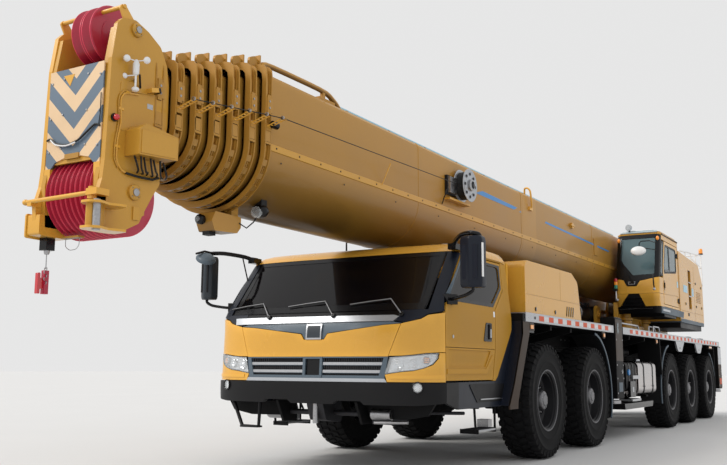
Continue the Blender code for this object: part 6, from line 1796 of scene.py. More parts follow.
# ------------------------------------------------------------------ railings, beacon, steps
g = Group("superstructure_railings", "superstructure", smooth=40)
R = 0.014
post = lambda x, s, z0, z1: g.bar((x, s, z0), (x, s, z1), R, "white", 10)
for x in (1.40, 0.86):
    g.tube([(x, 8.30, 3.43), (x, 8.42, 3.49), (x, 9.40, 3.56), (x, 10.20, 3.60), (x, 10.85, 3.66)], R, "white", 10)
    g.tube([(x, 9.62, 3.33), (x, 9.65, 3.46), (x, 10.85, 3.36)], R * 0.8, "white", 8)
    post(x, 9.05, 3.40, 3.535)
    post(x, 9.65, 3.33, 3.575)
    post(x, 10.20, 3.10, 3.60)
    post(x, 10.85, 2.98, 3.66)
    g.bar((x, 10.20, 3.00), (x, 10.86, 2.98), R, "white", 10)
    g.bar((x, 10.49, 2.60), (x, 10.84, 2.97), R, "white", 10)
for z in (2.98, 3.36, 3.66):
    g.bar((0.86, 10.85, z), (1.40, 10.85, z), R, "white", 10)
g.plate_z(2.965, 2.975, [(0.84, 10.50), (1.42, 10.50), (1.42, 10.86), (0.84, 10.86)], "white")
g.turned("Z", (1.40, 10.86, 0), [(0.050, 3.675), (0.050, 3.695), (0.046, 3.70)], 16, "black")
g.turned("Z", (1.40, 10.86, 0), [(0.045, 3.70), (0.045, 3.78), (0.030, 3.81), (0.004, 3.815)], 18, "amber")
# right side rail
for s in (7.30, 8.40, 9.50):
    g.bar((-1.40, s, 3.09), (-1.40, s, 3.45), R, "white", 10)
g.bar((-1.40, 7.30, 3.45), (-1.40, 9.50, 3.45), R, "white", 10)
g.bar((-1.40, 7.30, 3.28), (-1.40, 9.50, 3.28), R * 0.8, "white", 10)
g.done()

# ------------------------------------------------------------------ turntable
g = Group("turntable_details", "superstructure", bevel=0.004, smooth=40)
for sg in (1, -1):
    for s, z, r in ((9.30, 3.05, 0.16), (10.00, 2.36, 0.13), (6.50, 2.10, 0.085)):
        x0 = (0.68 if s > 7 else 0.25) * sg
        g.turned("X", (x0, s, z), [(r, 0.0), (r, 0.018 * sg), (r * 0.82, 0.024 * sg), (r * 0.45, 0.024 * sg), (r * 0.42, 0.034 * sg), (0.02, 0.036 * sg)], 28, "yellow2")
        if s > 7:
            pts = [(x0 + 0.020 * sg, s + r * 0.64 * cos(2 * pi * i / 6), z + r * 0.64 * sin(2 * pi * i / 6)) for i in range(6)]
            for p in pts:
                g.turned("X", p, [(0.012, 0.0), (0.012, 0.012 * sg), (0.008, 0.016 * sg)], 6, "steel")
    for s in (6.80, 7.60, 8.60, 9.60):
        g.plate_y(s, s + 0.02, [(0.682 * sg, 1.89), (0.80 * sg, 1.89), (0.70 * sg, 2.10), (0.682 * sg, 2.12)], "yellow2")
    g.plate_x(0.682 * sg, 0.70 * sg, [(6.40, 2.20), (7.70, 2.33), (8.98, 3.10), (9.02, 3.04), (7.74, 2.26), (6.40, 2.13)], "yellow2")
    # slewing gearboxes with their motors
    for s in (6.62, 7.98):
        g.turned("Z", (0.74 * sg, s, 0), [(0.085, 1.80), (0.105, 1.81), (0.105, 1.97), (0.13, 1.98), (0.13, 2.02), (0.09, 2.03), (0.09, 2.16), (0.05, 2.18)], 24, "yellow2")
    for a in range(14):
        t = pi * (a + 0.5) / 14 * 2
    # hoses clipped along the cheek
    for k in range(3):
        g.tube([(0.71 * sg, 6.45 + 0.05 * k, 1.93 + 0.03 * k), (0.715 * sg, 7.2, 1.93 + 0.03 * k), (0.715 * sg, 8.6, 1.95 + 0.03 * k), (0.71 * sg, 9.8, 2.02 + 0.03 * k)], 0.011, "rubberhose", 8)
for i in range(40):
    t = 2 * pi * i / 40
    g.turned("Z", (0.845 * cos(t), 7.30 + 0.845 * sin(t), 1.871), [(0.014, 0.0), (0.014, 0.012), (0.009, 0.016)], 6, "steel")
for sg in (1, -1):
    g.box(0.57 * sg, 1.428 * sg, 8.142, 10.308, 1.892, 1.9995, "black")
    g.box(0.70 * sg, 1.428 * sg, 6.742, 7.758, 2.042, 2.1835, "black")
# underside trim of the cab platform and rear mass
g.plate_z(2.185, 2.197, [(0.70, 6.50), (1.43, 6.50), (1.43, 7.98), (0.70, 7.98)], "black")
g.box(0.62, 1.466, 8.05, 10.44, 1.999, 2.075, "grey")
g.box(-1.40, -0.78, 8.10, 10.30, 1.86, 1.897, "black")
# tail plate and lamps
g.box(-0.60, 0.60, 10.30, 10.345, 1.90, 2.30, "yellow")
for x in (-0.50, 0.50):
    g.turned("Y", (x, 10.345, 2.20), [(0.04, 0.0), (0.04, 0.010), (0.03, 0.014)], 18, "redlamp")
g.done()

g = Group("slew_ring_gear", "carrier", ("slew_ring",), smooth=30)
g.turned("Z", (0, 7.30, 0), [(0.70, 1.7003), (0.895, 1.7003), (0.895, 1.745), (0.87, 1.748), (0.86, 1.79), (0.70, 1.79)], 96, "iron", loop=True)
for i in range(96):
    t = 2 * pi * i / 96
    at = Matrix.Translation((0.90 * cos(t), Y(7.30) + 0.90 * sin(t), 1.722)) @ Matrix.Rotation(t, 4, "Z")
    g.rings([[(-0.012, -0.017, z), (0.020, -0.009, z), (0.020, 0.009, z), (-0.012, 0.017, z)] for z in (-0.020, 0.020)], "iron", at=at)
for i in range(48):
    t = 2 * pi * (i + 0.5) / 48
    g.turned("Z", (0.93 * cos(t), 7.30 + 0.93 * sin(t), 1.7003), [(0.016, 0.0), (0.016, 0.012), (0.010, 0.018)], 6, "steel")
g.done()

# ------------------------------------------------------------------ winch, luffing cylinder
g = Group("winch_drum_and_rope", "hoist_winch_drum", ("hoist_winch_drum",), smooth=35)
g.turned("X", (0, 10.00, 2.36), [(0.060, -0.50), (0.355, -0.50), (0.36, -0.494), (0.36, -0.466), (0.355, -0.460), (0.24, -0.455), (0.24, 0.455), (0.355, 0.460), (0.36, 0.466), (0.36, 0.494), (0.355, 0.50), (0.060, 0.50)], 56, "yellow2", loop=True)
prof = []
for k in range(38):
    a = -0.452 + 0.904 * (k + 0.5) / 38
    w = 0.904 / 38 / 2
    prof += [(0.291, a - w), (0.299, a - w * 0.55), (0.302, a), (0.299, a + w * 0.55)]
prof = [(0.236, -0.452)] + prof + [(0.291, 0.452), (0.236, 0.452)]
g.turned("X", (0, 10.00, 2.36), prof, 48, "steel", loop=True)
for sg in (1, -1):
    g.turned("X", (0.50 * sg, 10.00, 2.36), [(0.16, 0.0), (0.16, 0.018 * sg), (0.12, 0.024 * sg), (0.075, 0.024 * sg)], 32, "iron")
    for i in range(8):
        t = 2 * pi * i / 8
        g.turned("X", (0.50 * sg, 10.00 + 0.26 * cos(t), 2.36 + 0.26 * sin(t)), [(0.045, 0.0), (0.045, 0.006 * sg), (0.030, 0.003 * sg)], 16, "black")
g.done()

g = Group("luff_barrel_skin", "luff_cylinder_barrel", ("luff_cylinder_barrel",), smooth=35)
g.turned("Y", (0, 0, 2.10), [(0.128, 2.30), (0.150, 2.300), (0.178, 2.306), (0.180, 2.315), (0.180, 2.50), (0.168, 2.512), (0.168, 6.26), (0.178, 6.27), (0.178, 6.40), (0.150, 6.42), (0.05, 6.42), (0.05, 6.285), (0.128, 6.28)], 56, "black", loop=True)
for i in range(16):
    t = 2 * pi * i / 16
    g.turned("Y", (0.156 * cos(t), 2.300, 2.10 + 0.156 * sin(t)), [(0.007, -0.010), (0.012, -0.008), (0.012, 0.004)], 8, "steel")
g.turned("X", (0, 6.50, 2.10), [(0.075, -0.18), (0.145, -0.18), (0.15, -0.172), (0.15, 0.172), (0.145, 0.18), (0.075, 0.18)], 36, "black", loop=True)
g.tube([(0.10, 6.10, 2.27), (0.10, 5.9, 2.285), (0.10, 2.8, 2.285), (0.09, 2.45, 2.255)], 0.016, "steel", 10)
for s in (3.0, 3.9, 4.8, 5.7):
    g.turned("Y", (0, s, 2.10), [(0.168, 0.0), (0.176, 0.004), (0.176, 0.030), (0.168, 0.034)], 40, "steel", loop=True)
    g.box(0.07, 0.13, s, s + 0.034, 2.26, 2.305, "black")
g.box(0.05, 0.16, 6.05, 6.22, 2.225, 2.30, "black")
g.done()

# ------------------------------------------------------------------ engine housing behind the driver's cab
HOOD = rounded([(-0.64, 1.703), (-0.64, 2.26), (-0.57, 2.326), (1.10, 2.326), (1.345, 2.22), (1.475, 1.703)], [0.0, 0.05, 0.05, 0.10, 0.12, 0.0], 5)
g = Group("engine_housing_skin", "carrier", ("engine_hood",), bevel=0.016, smooth=38, seg=3)
for x0, x1 in ((1.43, 1.47), (-1.47, -1.43)):
    g.plate_x(x0, x1, HOOD, "yellow")
for (s0, z0), (s1, z1) in zip(HOOD, HOOD[1:]):
    d = Vector((s1 - s0, z1 - z0))
    if d.length < 1e-5:
        continue
    nn = Vector((d.y, -d.x)).normalized() * 0.03
    g.rings([[(x, Y(s0), z0), (x, Y(s1), z1), (x, Y(s1 + nn.x), z1 + nn.y), (x, Y(s0 + nn.x), z0 + nn.y)] for x in (-1.432, 1.432)], "yellow")
g.done()
g = Group("engine_housing_details", "carrier", bevel=0.002, smooth=38)
for sg in (1, -1):
    for k in range(4):
        at = Matrix.Rotation(radians(-14), 3, "X")
        g.block((1.472 * sg, 0.86 + 0.085 * k, 1.80), (0.008, 0.022, 0.13), "gloss", at)
    for s0, s1, z0, z1 in ((-0.60, 1.44, 1.925, 1.931), (0.62, 0.626, 1.93, 2.30)):
        g.box(1.468 * sg, 1.4715 * sg, s0, s1, z0, z1, "ochre2")
    for s in (-0.30, 0.40):
        g.turned("X", (1.470 * sg, s, 1.765), [(0.026, 0.0), (0.026, 0.006 * sg), (0.016, 0.009 * sg)], 14, "black")
        g.box(1.475 * sg, 1.482 * sg, s - 0.005, s + 0.005, 1.747, 1.783, "silver")
    g.tube([(1.10 * sg, -0.66, 1.78), (1.10 * sg, -0.70, 1.82), (1.10 * sg, -0.70, 2.10), (1.10 * sg, -0.66, 2.14)], 0.012, "alu2", 8)
for k in range(16):
    g.block((0, 0.0 + 0.055 * k, 2.330), (1.7, 0.020, 0.010), "plastic", Matrix.Rotation(radians(25), 3, "X"))
g.box(-0.88, 0.88, -0.04, -0.025, 2.324, 2.342, "yellow")
g.box(-0.88, 0.88, 0.86, 0.875, 2.324, 2.342, "yellow")
# silencer and intake on the right
g.turned("Z", (-1.15, 1.66, 0), [(0.13, 1.703), (0.15, 1.73), (0.15, 2.16), (0.13, 2.19), (0.06, 2.20)], 28, "iron")
g.bar((-1.15, 1.66, 2.19), (-1.15, 1.66, 2.30), 0.055, "steel", 16)
g.turned("Z", (-0.80, 1.75, 0), [(0.12, 1.703), (0.12, 2.00), (0.14, 2.02), (0.14, 2.10), (0.09, 2.13)], 24, "plastic")
g.done()

# ------------------------------------------------------------------ deck edges, reflective strip, rails, brackets
g = Group("deck_trim", "carrier", bevel=0.003, smooth=38)
for sg, gap0, gap1 in ((1, 2.94, 3.46), (-1, 2.64, 3.16)):
    for s0, s1 in ((-0.70, gap0 - 0.004), (gap1 + 0.004, 11.995)):
        g.box(1.478 * sg, 1.503 * sg, s0, s1, 1.598, 1.706, "alu2")
        g.box(1.40 * sg, 1.479 * sg, s0, s1, 1.698, 1.707, "alu2")
        n = int((s1 - s0 - 0.30) / 0.345)
        for k in range(n):
            a = s0 + 0.42 + 0.345 * k
            g.box(1.502 * sg, 1.5055 * sg, a, a + 0.165, 1.622, 1.684, "reflect")
            g.box(1.502 * sg, 1.5050 * sg, a + 0.170, a + 0.340, 1.622, 1.684, "retro")
    g.turned("X", (1.503 * sg, -0.42, 1.652), [(0.018, 0), (0.018, 0.004 * sg), (0.010, 0.006 * sg)], 10, "black")
    # front corner piece and the box under it with its side lamp
    g.box(1.16 * sg, 1.503 * sg, -0.722, -0.700, 1.598, 1.706, "silver")
    g.box(1.16 * sg, 1.49 * sg, -0.73, -0.43, 1.475, 1.594, "gloss")
    g.box(1.488 * sg, 1.50 * sg, -0.60, -0.44, 1.50, 1.585, "brown")
    g.box(1.498 * sg, 1.506 * sg, -0.565, -0.48, 1.52, 1.565, "orange")
    for s in (2.44, 5.70):
        s = s if sg > 0 or s > 4 else 2.30
        g.plate_x(1.478 * sg, 1.494 * sg, [(s - 0.07, 1.596), (s + 0.07, 1.596), (s + 0.045, 1.50), (s - 0.02, 1.50)], "brown")
        g.box(1.492 * sg, 1.502 * sg, s - 0.02, s + 0.045, 1.52, 1.57, "orange")
    # bright wedge brackets over the rear wheels
    for s in (7.64, 9.53):
        g.plate_x(1.466 * sg, 1.498 * sg, [(s - 0.39, 1.596), (s + 0.40, 1.596), (s + 0.17, 1.41), (s + 0.10, 1.40), (s - 0.14, 1.40), (s - 0.20, 1.42)], "alu2")
        g.plate_x(1.20 * sg, 1.468 * sg, [(s - 0.10, 1.596), (s + 0.10, 1.596), (s + 0.06, 1.42), (s - 0.06, 1.42)], "frame")
        g.turned("X", (1.498 * sg, s, 1.47), [(0.020, 0), (0.020, 0.005 * sg), (0.012, 0.007 * sg)], 12, "steel")
    g.box(1.44 * sg, 1.492 * sg, 10.70, 11.10, 1.52, 1.585, "plastic")
    g.box(1.490 * sg, 1.496 * sg, 10.76, 11.04, 1.535, 1.572, "orange")
    # mudguards
    for s, a0, a1, r in ((1.93, -22, 82, 0.860), (6.80, 98, 196, 0.800), (10.57, -18, 76, 0.740)):
        pts = []
        for k in range(19):
            t = radians(a0 + (a1 - a0) * k / 18)
            pts.append((s + r * cos(t), 0.685 + r * sin(t)))
        for (s0, z0), (s1, z1) in zip(pts, pts[1:]):
            m0 = Vector((s0 - s, z0 - 0.685)).normalized() * 0.012
            m1 = Vector((s1 - s, z1 - 0.685)).normalized() * 0.012
            g.rings([[(x, Y(s0), z0), (x, Y(s1), z1), (x, Y(s1 + m1.x), z1 + m1.y), (x, Y(s0 + m0.x), z0 + m0.y)] for x in (1.10 * sg, 1.478 * sg)], "plastic")
            m0, m1 = m0 * 2.6, m1 * 2.6
            g.rings([[(x, Y(s0), z0), (x, Y(s1), z1), (x, Y(s1 + m1.x), z1 + m1.y), (x, Y(s0 + m0.x), z0 + m0.y)] for x in (1.470 * sg, 1.486 * sg)], "grey")
    # fender side cheeks and splash plates
    g.plate_x(1.478 * sg, 1.497 * sg, [(-0.80, 1.596), (-0.60, 1.596), (-0.60, 1.46), (-0.88, 0.92), (-0.99, 0.70), (-1.00, 0.62), (-1.24, 0.62), (-1.24, 0.66), (-1.09, 0.89), (-0.80, 1.45)], "brown")
    g.plate_x(1.10 * sg, 1.478 * sg, [(-0.806, 1.60), (-0.806, 1.452), (-1.094, 0.893), (-1.25, 0.66), (-1.255, 0.663), (-1.10, 0.897), (-0.812, 1.455), (-0.812, 1.60)], "navy")
    # grab rails on the deck
    base = 3.52 if sg > 0 else 3.30
    for a, b, h in ((base, base + 1.20, 0.075), (5.72, 6.24, 0.11)):
        g.tube([(1.44 * sg, a, 1.70), (1.44 * sg, a + 0.04, 1.70 + h), (1.44 * sg, b - 0.10, 1.70 + h), (1.44 * sg, b, 1.70)], 0.013, "alu2", 10)
    g.tube([(1.36 * sg, 5.72, 1.70), (1.36 * sg, 5.76, 1.81), (1.36 * sg, 6.14, 1.81), (1.36 * sg, 6.24, 1.70)], 0.013, "alu2", 10)
    g.bar((1.44 * sg, 5.98, 1.81), (1.36 * sg, 5.98, 1.81), 0.010, "alu2", 8)
    for s in (8.90, 10.20):
        g.plate_z(1.703, 1.735, rounded([(1.22 * sg, s), (1.42 * sg, s), (1.42 * sg, s + 0.30), (1.22 * sg, s + 0.30)], 0.03, 3), "black")
# tread pattern on the walked part of the deck
for sg in (1, -1):
    for (s0, s1, x0, x1) in ((1.90, 2.58, 0.62, 1.18), (3.56, 6.20, 0.98, 1.38), (8.50, 11.80, 0.98, 1.18)):
        nx, ns = int((x1 - x0) / 0.10), int((s1 - s0) / 0.10)
        for i in range(nx):
            for j in range(ns):
                g.block(((x0 + 0.05 + 0.10 * i) * sg, s0 + 0.05 + 0.10 * j, 1.703), (0.040, 0.012, 0.006), "frame", Matrix.Rotation(radians(45 if (i + j) % 2 else -45), 3, "Z"))
g.done()

# ------------------------------------------------------------------ outrigger legs and jacks
for place, mid, top in (("front", 3.05, 1.83), ("rear", 11.77, 1.595)):
    for side_, sg in (("left", 1), ("right", -1)):
        lane = mid + sg * 0.15
        m = "brown" if place == "front" else "silver"
        g = Group(f"outrigger_leg_skin_{place}_{side_}", f"outrigger_beam_{place}_{side_}", bevel=0.003, smooth=38)
        g.box(1.498 * sg, 1.508 * sg, lane - 0.196, lane + 0.196, 0.64, top - 0.01, "frame" if place == "front" else "brown")
        g.box(1.506 * sg, 1.511 * sg, lane - 0.188, lane + 0.188, 1.18, top - 0.02, m)
        if place == "front":
            g.box(1.509 * sg, 1.514 * sg, lane - 0.12, lane - 0.02, top - 0.24, top - 0.07, "gloss")
            g.box(1.512 * sg, 1.515 * sg, lane - 0.105, lane - 0.035, top - 0.225, top - 0.085, "glass2")
        for s in (lane - 0.165, lane + 0.165):
            for z in (0.70, 0.92, 1.12, top - 0.28 if place == "rear" else 1.50):
                g.turned("X", (1.507 * sg, s, z), [(0.014, 0), (0.014, 0.007 * sg), (0.008, 0.010 * sg)], 6, "steel")
        g.plate_z(top, top + 0.012, rounded([(1.29 * sg, lane - 0.19), (1.495 * sg, lane - 0.19), (1.495 * sg, lane + 0.19), (1.29 * sg, lane + 0.19)], 0.02, 3) if top > 1.7 else [(1.30 * sg, lane - 0.18), (1.49 * sg, lane - 0.18), (1.49 * sg, lane + 0.18), (1.30 * sg, lane + 0.18)], "black") if place == "front" else None
        g.box(1.505 * sg, 1.515 * sg, lane - 0.10, lane + 0.10, 0.72, 0.86, "grey" if place == "front" else "reflect")
        g.turned("X", (1.506 * sg, lane + 0.10, 1.02), [(0.030, 0), (0.034, 0.006 * sg), (0.030, 0.012 * sg), (0.01, 0.013 * sg)], 16, "lens")
        g.done()
        g = Group(f"outrigger_jack_skin_{place}_{side_}", f"outrigger_jack_{place}_{side_}", (f"outrigger_jack_{place}_{side_}",), smooth=38)
        g.turned("Z", (1.395 * sg, lane, 0), [(0.095, 0.541), (0.104, 0.546), (0.104, 0.590), (0.092, 0.600), (0.08, 0.601)], 40, "steel")
        g.turned("Z", (1.395 * sg, lane, 0), [(0.079, 0.595), (0.079, top - 0.124), (0.07, top - 0.12)], 40, "chrome")
        g.done()

# ------------------------------------------------------------------ tanks, steps
TANK = rounded([(0.97, 0.64), (1.47, 0.64), (1.47, 1.19), (0.97, 1.19)], 0.11, 6)
g = Group("fuel_tank_skin", "carrier", ("fuel_tank",), bevel=0.006, smooth=40, seg=3)
g.plate_y(4.42, 5.63, TANK, "alu")
inner_t = rounded([(1.00, 0.67), (1.44, 0.67), (1.44, 1.16), (1.00, 1.16)], 0.10, 6)
g.plate_y(4.405, 4.42, inner_t, "alu")
g.plate_y(5.63, 5.64, inner_t, "alu")
UREA = rounded([(0.99, 0.72), (1.455, 0.72), (1.455, 1.17), (0.99, 1.17)], 0.09, 5)
g.plate_y(3.72, 4.34, UREA, "frame")
for s in (3.90, 4.12):
    g.plate_y(s, s + 0.03, rounded([(0.985, 0.715), (1.460, 0.715), (1.460, 1.176), (0.985, 1.176)], 0.09, 5), "gloss")
STRAP = rounded([(0.962, 0.632), (1.478, 0.632), (1.478, 1.198), (0.962, 1.198)], 0.112, 6)
for s in (4.77, 5.38):
    g.plate_y(s, s + 0.035, STRAP, "gloss")
    g.turned("X", (1.478, s + 0.017, 0.78), [(0.014, 0), (0.014, 0.010), (0.008, 0.014)], 6, "steel")
for s in (4.0, 5.2):
    g.box(0.423, 1.02, s, s + 0.10, 0.95, 1.05, "frame")
    g.box(0.93, 0.965, s, s + 0.10, 0.60, 1.20, "frame")
    g.box(0.93, 1.40, s, s + 0.10, 0.600, 0.632, "frame")
g.turned("Z", (1.33, 4.90, 0), [(0.055, 1.175), (0.055, 1.215), (0.050, 1.225), (0.01, 1.228)], 24, "alu2")
g.bar((1.33, 4.86, 1.225), (1.33, 4.94, 1.225), 0.009, "black", 8)
g.turned("X", (1.453, 3.86, 1.01), [(0.050, 0.0), (0.050, 0.018), (0.042, 0.026), (0.01, 0.027)], 20, "blue")
g.box(1.36, 1.49, 4.02, 4.44, 0.905, 0.96, "alu2")
g.box(1.44, 1.485, 3.86, 4.18, 0.62, 0.87, "gloss")
g.box(1.484, 1.488, 3.98, 4.06, 0.70, 0.78, "silver")
g.done()

HT = rounded([(-1.47, 0.63), (-0.97, 0.63), (-0.97, 1.24), (-1.47, 1.24)], 0.05, 4)
g = Group("hydraulic_tank_skin", "carrier", ("hydraulic_tank",), bevel=0.006, smooth=40)
g.plate_y(3.72, 5.63, HT, "frame")
for s in (4.15, 5.15):
    g.plate_y(s, s + 0.035, rounded([(-1.477, 0.623), (-0.963, 0.623), (-0.963, 1.247), (-1.477, 1.247)], 0.055, 4), "gloss")
for s in (4.0, 5.2):
    g.box(-1.02, -0.423, s, s + 0.10, 1.00, 1.10, "frame")
g.box(-1.478, -1.470, 3.90, 3.97, 0.80, 1.10, "lens")
g.box(-1.476, -1.469, 3.88, 3.99, 0.78, 1.12, "alu2")
for s in (4.45, 4.75, 5.40):
    g.turned("Z", (-1.22, s, 0), [(0.075, 1.235), (0.075, 1.29), (0.06, 1.31), (0.015, 1.315)], 22, "black" if s < 5 else "chrome")
g.box(-1.482, -1.470, 4.35, 4.95, 0.75, 1.12, "frame")
for s, z in ((4.38, 0.78), (4.92, 0.78), (4.38, 1.09), (4.92, 1.09)):
    g.turned("X", (-1.482, s, z), [(0.010, 0), (0.010, -0.005), (0.006, -0.007)], 8, "steel")
g.done()

g = Group("side_steps_and_guards", "carrier", bevel=0.003, smooth=38)
for sg in (1, -1):
    a = 3.50 if sg > 0 else 3.22
    g.box(1.20 * sg, 1.495 * sg, 3.92, 4.46, 0.555, 0.590, "alu2")
    for k in range(6):
        g.box(1.22 * sg, 1.485 * sg, 3.95 + 0.085 * k, 3.965 + 0.085 * k, 0.588, 0.596, "plastic")
    for s in (3.94, 4.42):
        g.box(1.22 * sg, 1.26 * sg, s, s + 0.02, 0.59, 0.72, "frame")
    g.plate_x(1.15 * sg, 1.47 * sg, [(3.55, 0.44), (5.30, 0.44), (5.36, 0.53), (3.52, 0.53)], "frame")
    g.plate_x(1.455 * sg, 1.475 * sg, [(3.55, 0.44), (5.30, 0.44), (5.36, 0.53), (3.52, 0.53)], "gloss")
    for s in (3.60, 5.20):
        g.box(0.43 * sg, 1.18 * sg, s, s + 0.06, 0.47, 0.53, "frame")
g.done()

# ------------------------------------------------------------------ chassis: springs, dampers, shafts, air tanks, rear
g = Group("chassis_details", "carrier", bevel=0.0, smooth=38)
AX = (0.0, 1.93, 6.80, 8.57, 10.57)
for s in AX:
    for sg in (1, -1):
        for k in range(5):
            hl = 0.55 - 0.08 * k
            za = 0.775 + 0.016 * (4 - k)
            g.rings([[(x, Y(s + t * hl), za + 0.10 * t * t * (hl / 0.55) + dz) for t in (-1, -0.5, 0, 0.5, 1)] + [(x, Y(s + t * hl), za + 0.013 + 0.10 * t * t * (hl / 0.55) + dz) for t in (1, 0.5, 0, -0.5, -1)] for x, dz in ((0.45 * sg, 0), (0.53 * sg, 0))], "iron")
        for ds in (-0.07, 0.07):
            g.bar((0.44 * sg, s + ds, 0.59), (0.44 * sg, s + ds, 0.87), 0.010, "steel", 8)
            g.bar((0.54 * sg, s + ds, 0.59), (0.54 * sg, s + ds, 0.87), 0.010, "steel", 8)
        g.bar((0.60 * sg, s + 0.20, 0.70), (0.50 * sg, s + 0.30, 1.30), 0.030, "plastic", 14)
        g.bar((0.59 * sg, s + 0.21, 0.76), (0.545 * sg, s + 0.255, 1.03), 0.040, "black", 14)
        g.box(0.42 * sg, 0.54 * sg, s - 0.60, s - 0.52, 0.86, 1.06, "iron")
        g.box(0.42 * sg, 0.54 * sg, s + 0.52, s + 0.60, 0.86, 1.06, "iron")
        if s > 5:
            g.turned("X", (0.86 * sg, s - 0.12, 0.86), [(0.075, -0.08), (0.085, -0.07), (0.085, 0.03), (0.07, 0.05), (0.02, 0.055)], 20, "black")
for a, b in ((0.22, 1.71), (2.15, 6.58), (7.02, 8.35), (8.79, 10.35)):
    g.bar((0.0, a, 0.70), (0.0, b, 0.70), 0.045, "iron", 16)
    for e in (a, b):
        g.turned("Y", (0, e, 0.70), [(0.075, -0.02), (0.075, 0.02)], 20, "steel")
for sg in (1, -1):
    for z in (1.16, 1.38):
        g.turned("Y", (0.62 * sg, 0, z), [(0.03, 6.05), (0.09, 6.09), (0.10, 6.14), (0.10, 6.80), (0.09, 6.85), (0.03, 6.89)], 24, "black")
    for s in (6.2, 6.74):
        g.box(0.42 * sg, 0.53 * sg, s, s + 0.04, 1.10, 1.44, "frame")
    for k in range(4):
        g.tube([(0.435 * sg, -0.2, 1.30 + 0.035 * k), (0.44 * sg, 2.4, 1.30 + 0.035 * k), (0.44 * sg, 5.9, 1.30 + 0.035 * k), (0.44 * sg, 9.0, 1.32 + 0.035 * k), (0.44 * sg, 11.2, 1.32 + 0.035 * k)], 0.012, "rubberhose", 6)
    for i in range(58):
        s = -0.5 + 0.21 * i
        if 2.6 < s < 3.5 or 11.4 < s < 12.2:
            continue
        g.turned("X", (0.42 * sg, s, 1.53), [(0.014, 0.0), (0.014, 0.010 * sg), (0.008, 0.013 * sg)], 6, "steel")
    # cross beams that carry the deck
    for s in (0.4, 1.2, 4.2, 5.2, 7.4, 9.2, 10.4, 11.3):
        g.plate_y(s, s + 0.05, [(0.42 * sg, 1.30), (0.42 * sg, 1.596), (1.40 * sg, 1.596), (1.40 * sg, 1.54)], "frame")
# outrigger box flanges
for mid in (3.05, 11.77):
    for sg in (1, -1):
        for s0, s1 in ((mid - 0.335, mid - 0.31), (mid + 0.31, mid + 0.335)):
            g.box(0.43 * sg, 1.26 * sg, s0, s1, 1.28, 1.30, "frame")
            g.box(0.43 * sg, 1.26 * sg, s0, s1, 0.84, 0.86, "frame")
g.done()

g = Group("rear_lamps_and_panel", "carrier", bevel=0.003, smooth=38)
g.box(-1.04, 1.04, 12.198, 12.208, 0.96, 1.57, "frame")
for sg in (1, -1):
    g.box(0.66 * sg, 1.02 * sg, 12.205, 12.240, 1.12, 1.26, "gloss")
    for k, m in enumerate(("redlamp", "amber", "white", "redlamp")):
        g.turned("Y", ((0.71 + 0.085 * k) * sg, 12.24, 1.19), [(0.036, 0.0), (0.036, 0.008), (0.028, 0.014), (0.006, 0.016)], 20, m)
    g.box(0.72 * sg, 1.12 * sg, 12.298, 12.303, 0.53, 0.63, "reflect")
    g.turned("Z", (0.55 * sg, 12.22, 0), [(0.02, 0.98), (0.045, 1.0), (0.045, 1.10), (0.02, 1.12)], 14, "steel")
    g.box(0.30 * sg, 0.60 * sg, 12.205, 12.215, 1.34, 1.50, "white")
    g.tube([(1.00 * sg, 12.21, 1.32), (1.00 * sg, 12.27, 1.34), (1.00 * sg, 12.27, 1.50), (1.00 * sg, 12.21, 1.52)], 0.011, "alu2", 8)
g.turned("Y", (0, 0, 0.85), [(0.03, 12.18), (0.075, 12.20), (0.075, 12.25), (0.03, 12.27)], 20, "iron")
g.box(-0.22, 0.22, 12.20, 12.225, 0.74, 1.00, "frame")
g.done()

# ------------------------------------------------------------------ driver's cab inside
g = Group("driver_controls", "carrier", ("cab_interior",), bevel=0.006, smooth=40)
g.plate_z(0.975, 1.00, rounded([(-1.22, -2.45), (1.22, -2.45), (1.22, -1.42), (-1.22, -1.42)], 0.04, 3), "rubberhose")
dash = rounded([(-2.46, 0.985), (-2.30, 0.985), (-2.22, 1.38), (-2.26, 1.50), (-2.34, 1.55), (-2.50, 1.54)], [0.01, 0.02, 0.05, 0.04, 0.03, 0.02], 3)
g.plate_x(-1.10, 1.10, dash, "plastic")
g.block((0.62, -2.29, 1.545), (0.42, 0.14, 0.05), "gloss", Matrix.Rotation(radians(-25), 3, "X"))
for x in (0.52, 0.62, 0.72):
    g.turned("Z", (x, -2.26, 0), [(0.035, 1.555), (0.038, 1.575), (0.032, 1.580)], 20, "silver")
g.plate_x(-0.20, 0.20, rounded([(-2.26, 0.99), (-1.38, 0.99), (-1.38, 1.16), (-1.60, 1.22), (-2.10, 1.22), (-2.26, 1.30)], 0.03, 3), "plastic")
g.bar((0.06, -1.90, 1.20), (0.06, -1.93, 1.36), 0.010, "chrome", 10)
g.ball((0.06, -1.935, 1.38), (0.024, 0.024, 0.030), "gloss", 12, 6)
g.bar((0.62, -2.36, 1.32), (0.62, -2.10, 1.495), 0.030, "plastic", 14)
tilt = Matrix.Translation((0.62, Y(-2.075), 1.51)) @ Matrix.Rotation(radians(53), 4, "X")
n = 40
g.rings([[((0.205 + 0.015 * cos(a)) * cos(2 * pi * i / n), (0.205 + 0.015 * cos(a)) * sin(2 * pi * i / n), 0.015 * sin(a)) for i in range(n)] for a in [2 * pi * k / 10 for k in range(10)]], "gloss", loop=True, at=tilt)
g.rings([[(0.05 * k * cos(2 * pi * i / 18), 0.05 * k * sin(2 * pi * i / 18), z) for i in range(18)] for k, z in ((1.0, -0.03), (1.0, 0.0), (0.8, 0.01))], "plastic", at=tilt)
for a in (0, 120, 240):
    t = radians(a + 90)
    p, q = tilt @ Vector((0.04 * cos(t), 0.04 * sin(t), -0.01)), tilt @ Vector((0.20 * cos(t), 0.20 * sin(t), 0.0))
    g.bar((p.x, p.y + 3.0, p.z), (q.x, q.y + 3.0, q.z), 0.012, "plastic", 8)
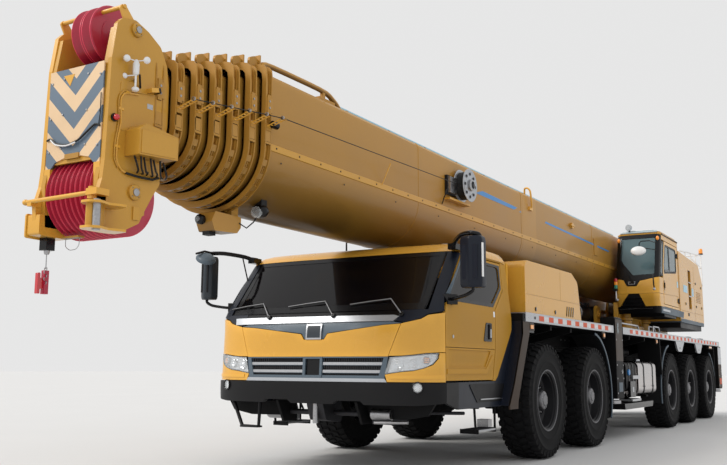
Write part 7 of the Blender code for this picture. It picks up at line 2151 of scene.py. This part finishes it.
for sg in (1, -1):
    g.plate_z(1.00, 1.02, rounded([(0.44 * sg, -1.74), (0.80 * sg, -1.74), (0.80 * sg, -1.34), (0.44 * sg, -1.34)], 0.02, 2), "black")
    g.turned("Z", (0.62 * sg, -1.54, 0), [(0.14, 1.02), (0.10, 1.05), (0.10, 1.15), (0.15, 1.19), (0.15, 1.21)], 24, "plastic")
for x in (0.50, 0.72):
    g.plate_x(x - 0.04, x + 0.04, [(-2.28, 1.02), (-2.16, 1.10), (-2.17, 1.115), (-2.29, 1.04)], "rubberhose")
g.done()

# ------------------------------------------------------------------ CAD nodes that stay
SHOWN = {"chassis_frame": "frame", "deck": "frame", "engine_block": "iron", "front_axles": "frame", "rear_axles": "frame",
         "slew_ring": "steel", "luff_cylinder_barrel": "black", "luff_cylinder_rod": "chrome", "hoist_winch_drum": "steel",
         "cab_interior": "plastic", "operator_seat": "seat", "turntable": "yellow2", "hydraulic_tank": "black",
         "windscreen": "glass", "operator_windscreen": "glass2", "driver_cab": "yellow", "cab_door_left": "yellow",
         "cab_door_right": "yellow", "operator_cab": "yellow", "operator_cab_door": "yellow", "superstructure_hood_left": "yellow",
         "superstructure_hood_right": "yellow", "engine_hood": "yellow", "fuel_tank": "alu", "front_bumper": "black",
         "mirror_left": "plastic", "mirror_right": "plastic", "boom_base_section": "ochre", "boom_head": "ochre",
         "upper_sheaves": "red", "lower_sheaves": "red", "cable_reel": "steel"}
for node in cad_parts:
    if node in SHOWN:
        dress(node, SHOWN[node])
    elif node.startswith("wheel"):
        dress(node, "tyre")
    elif node.startswith("boom_section"):
        dress(node, "ochre2")
    elif node.startswith("outrigger_jack"):
        dress(node, "chrome")
    else:
        dress(node, "frame")

# ------------------------------------------------------------------ floor
def floor():
    mat, nt, b = node_material("studio_floor")
    tex = noise(nt, 0.4, 3.0)
    c = ramp(nt, tex.outputs["Fac"], [(0.3, grey(0.70)), (0.7, grey(0.715))])
    nt.links.new(c, b.inputs["Base Color"])
    b.inputs["Roughness"].default_value = 0.85
    bm = bmesh.new()
    n = 12
    v = [[bm.verts.new((-150 + 300 * i / n, -150 + 300 * j / n, -0.001)) for j in range(n + 1)] for i in range(n + 1)]
    for i in range(n):
        for j in range(n):
            bm.faces.new([v[i][j], v[i + 1][j], v[i + 1][j + 1], v[i][j + 1]])
    mesh = bpy.data.meshes.new("studio_floor")
    bm.to_mesh(mesh)
    bm.free()
    mesh.materials.append(mat)
    obj = bpy.data.objects.new("studio_floor", mesh)
    scene.collection.objects.link(obj)


floor()
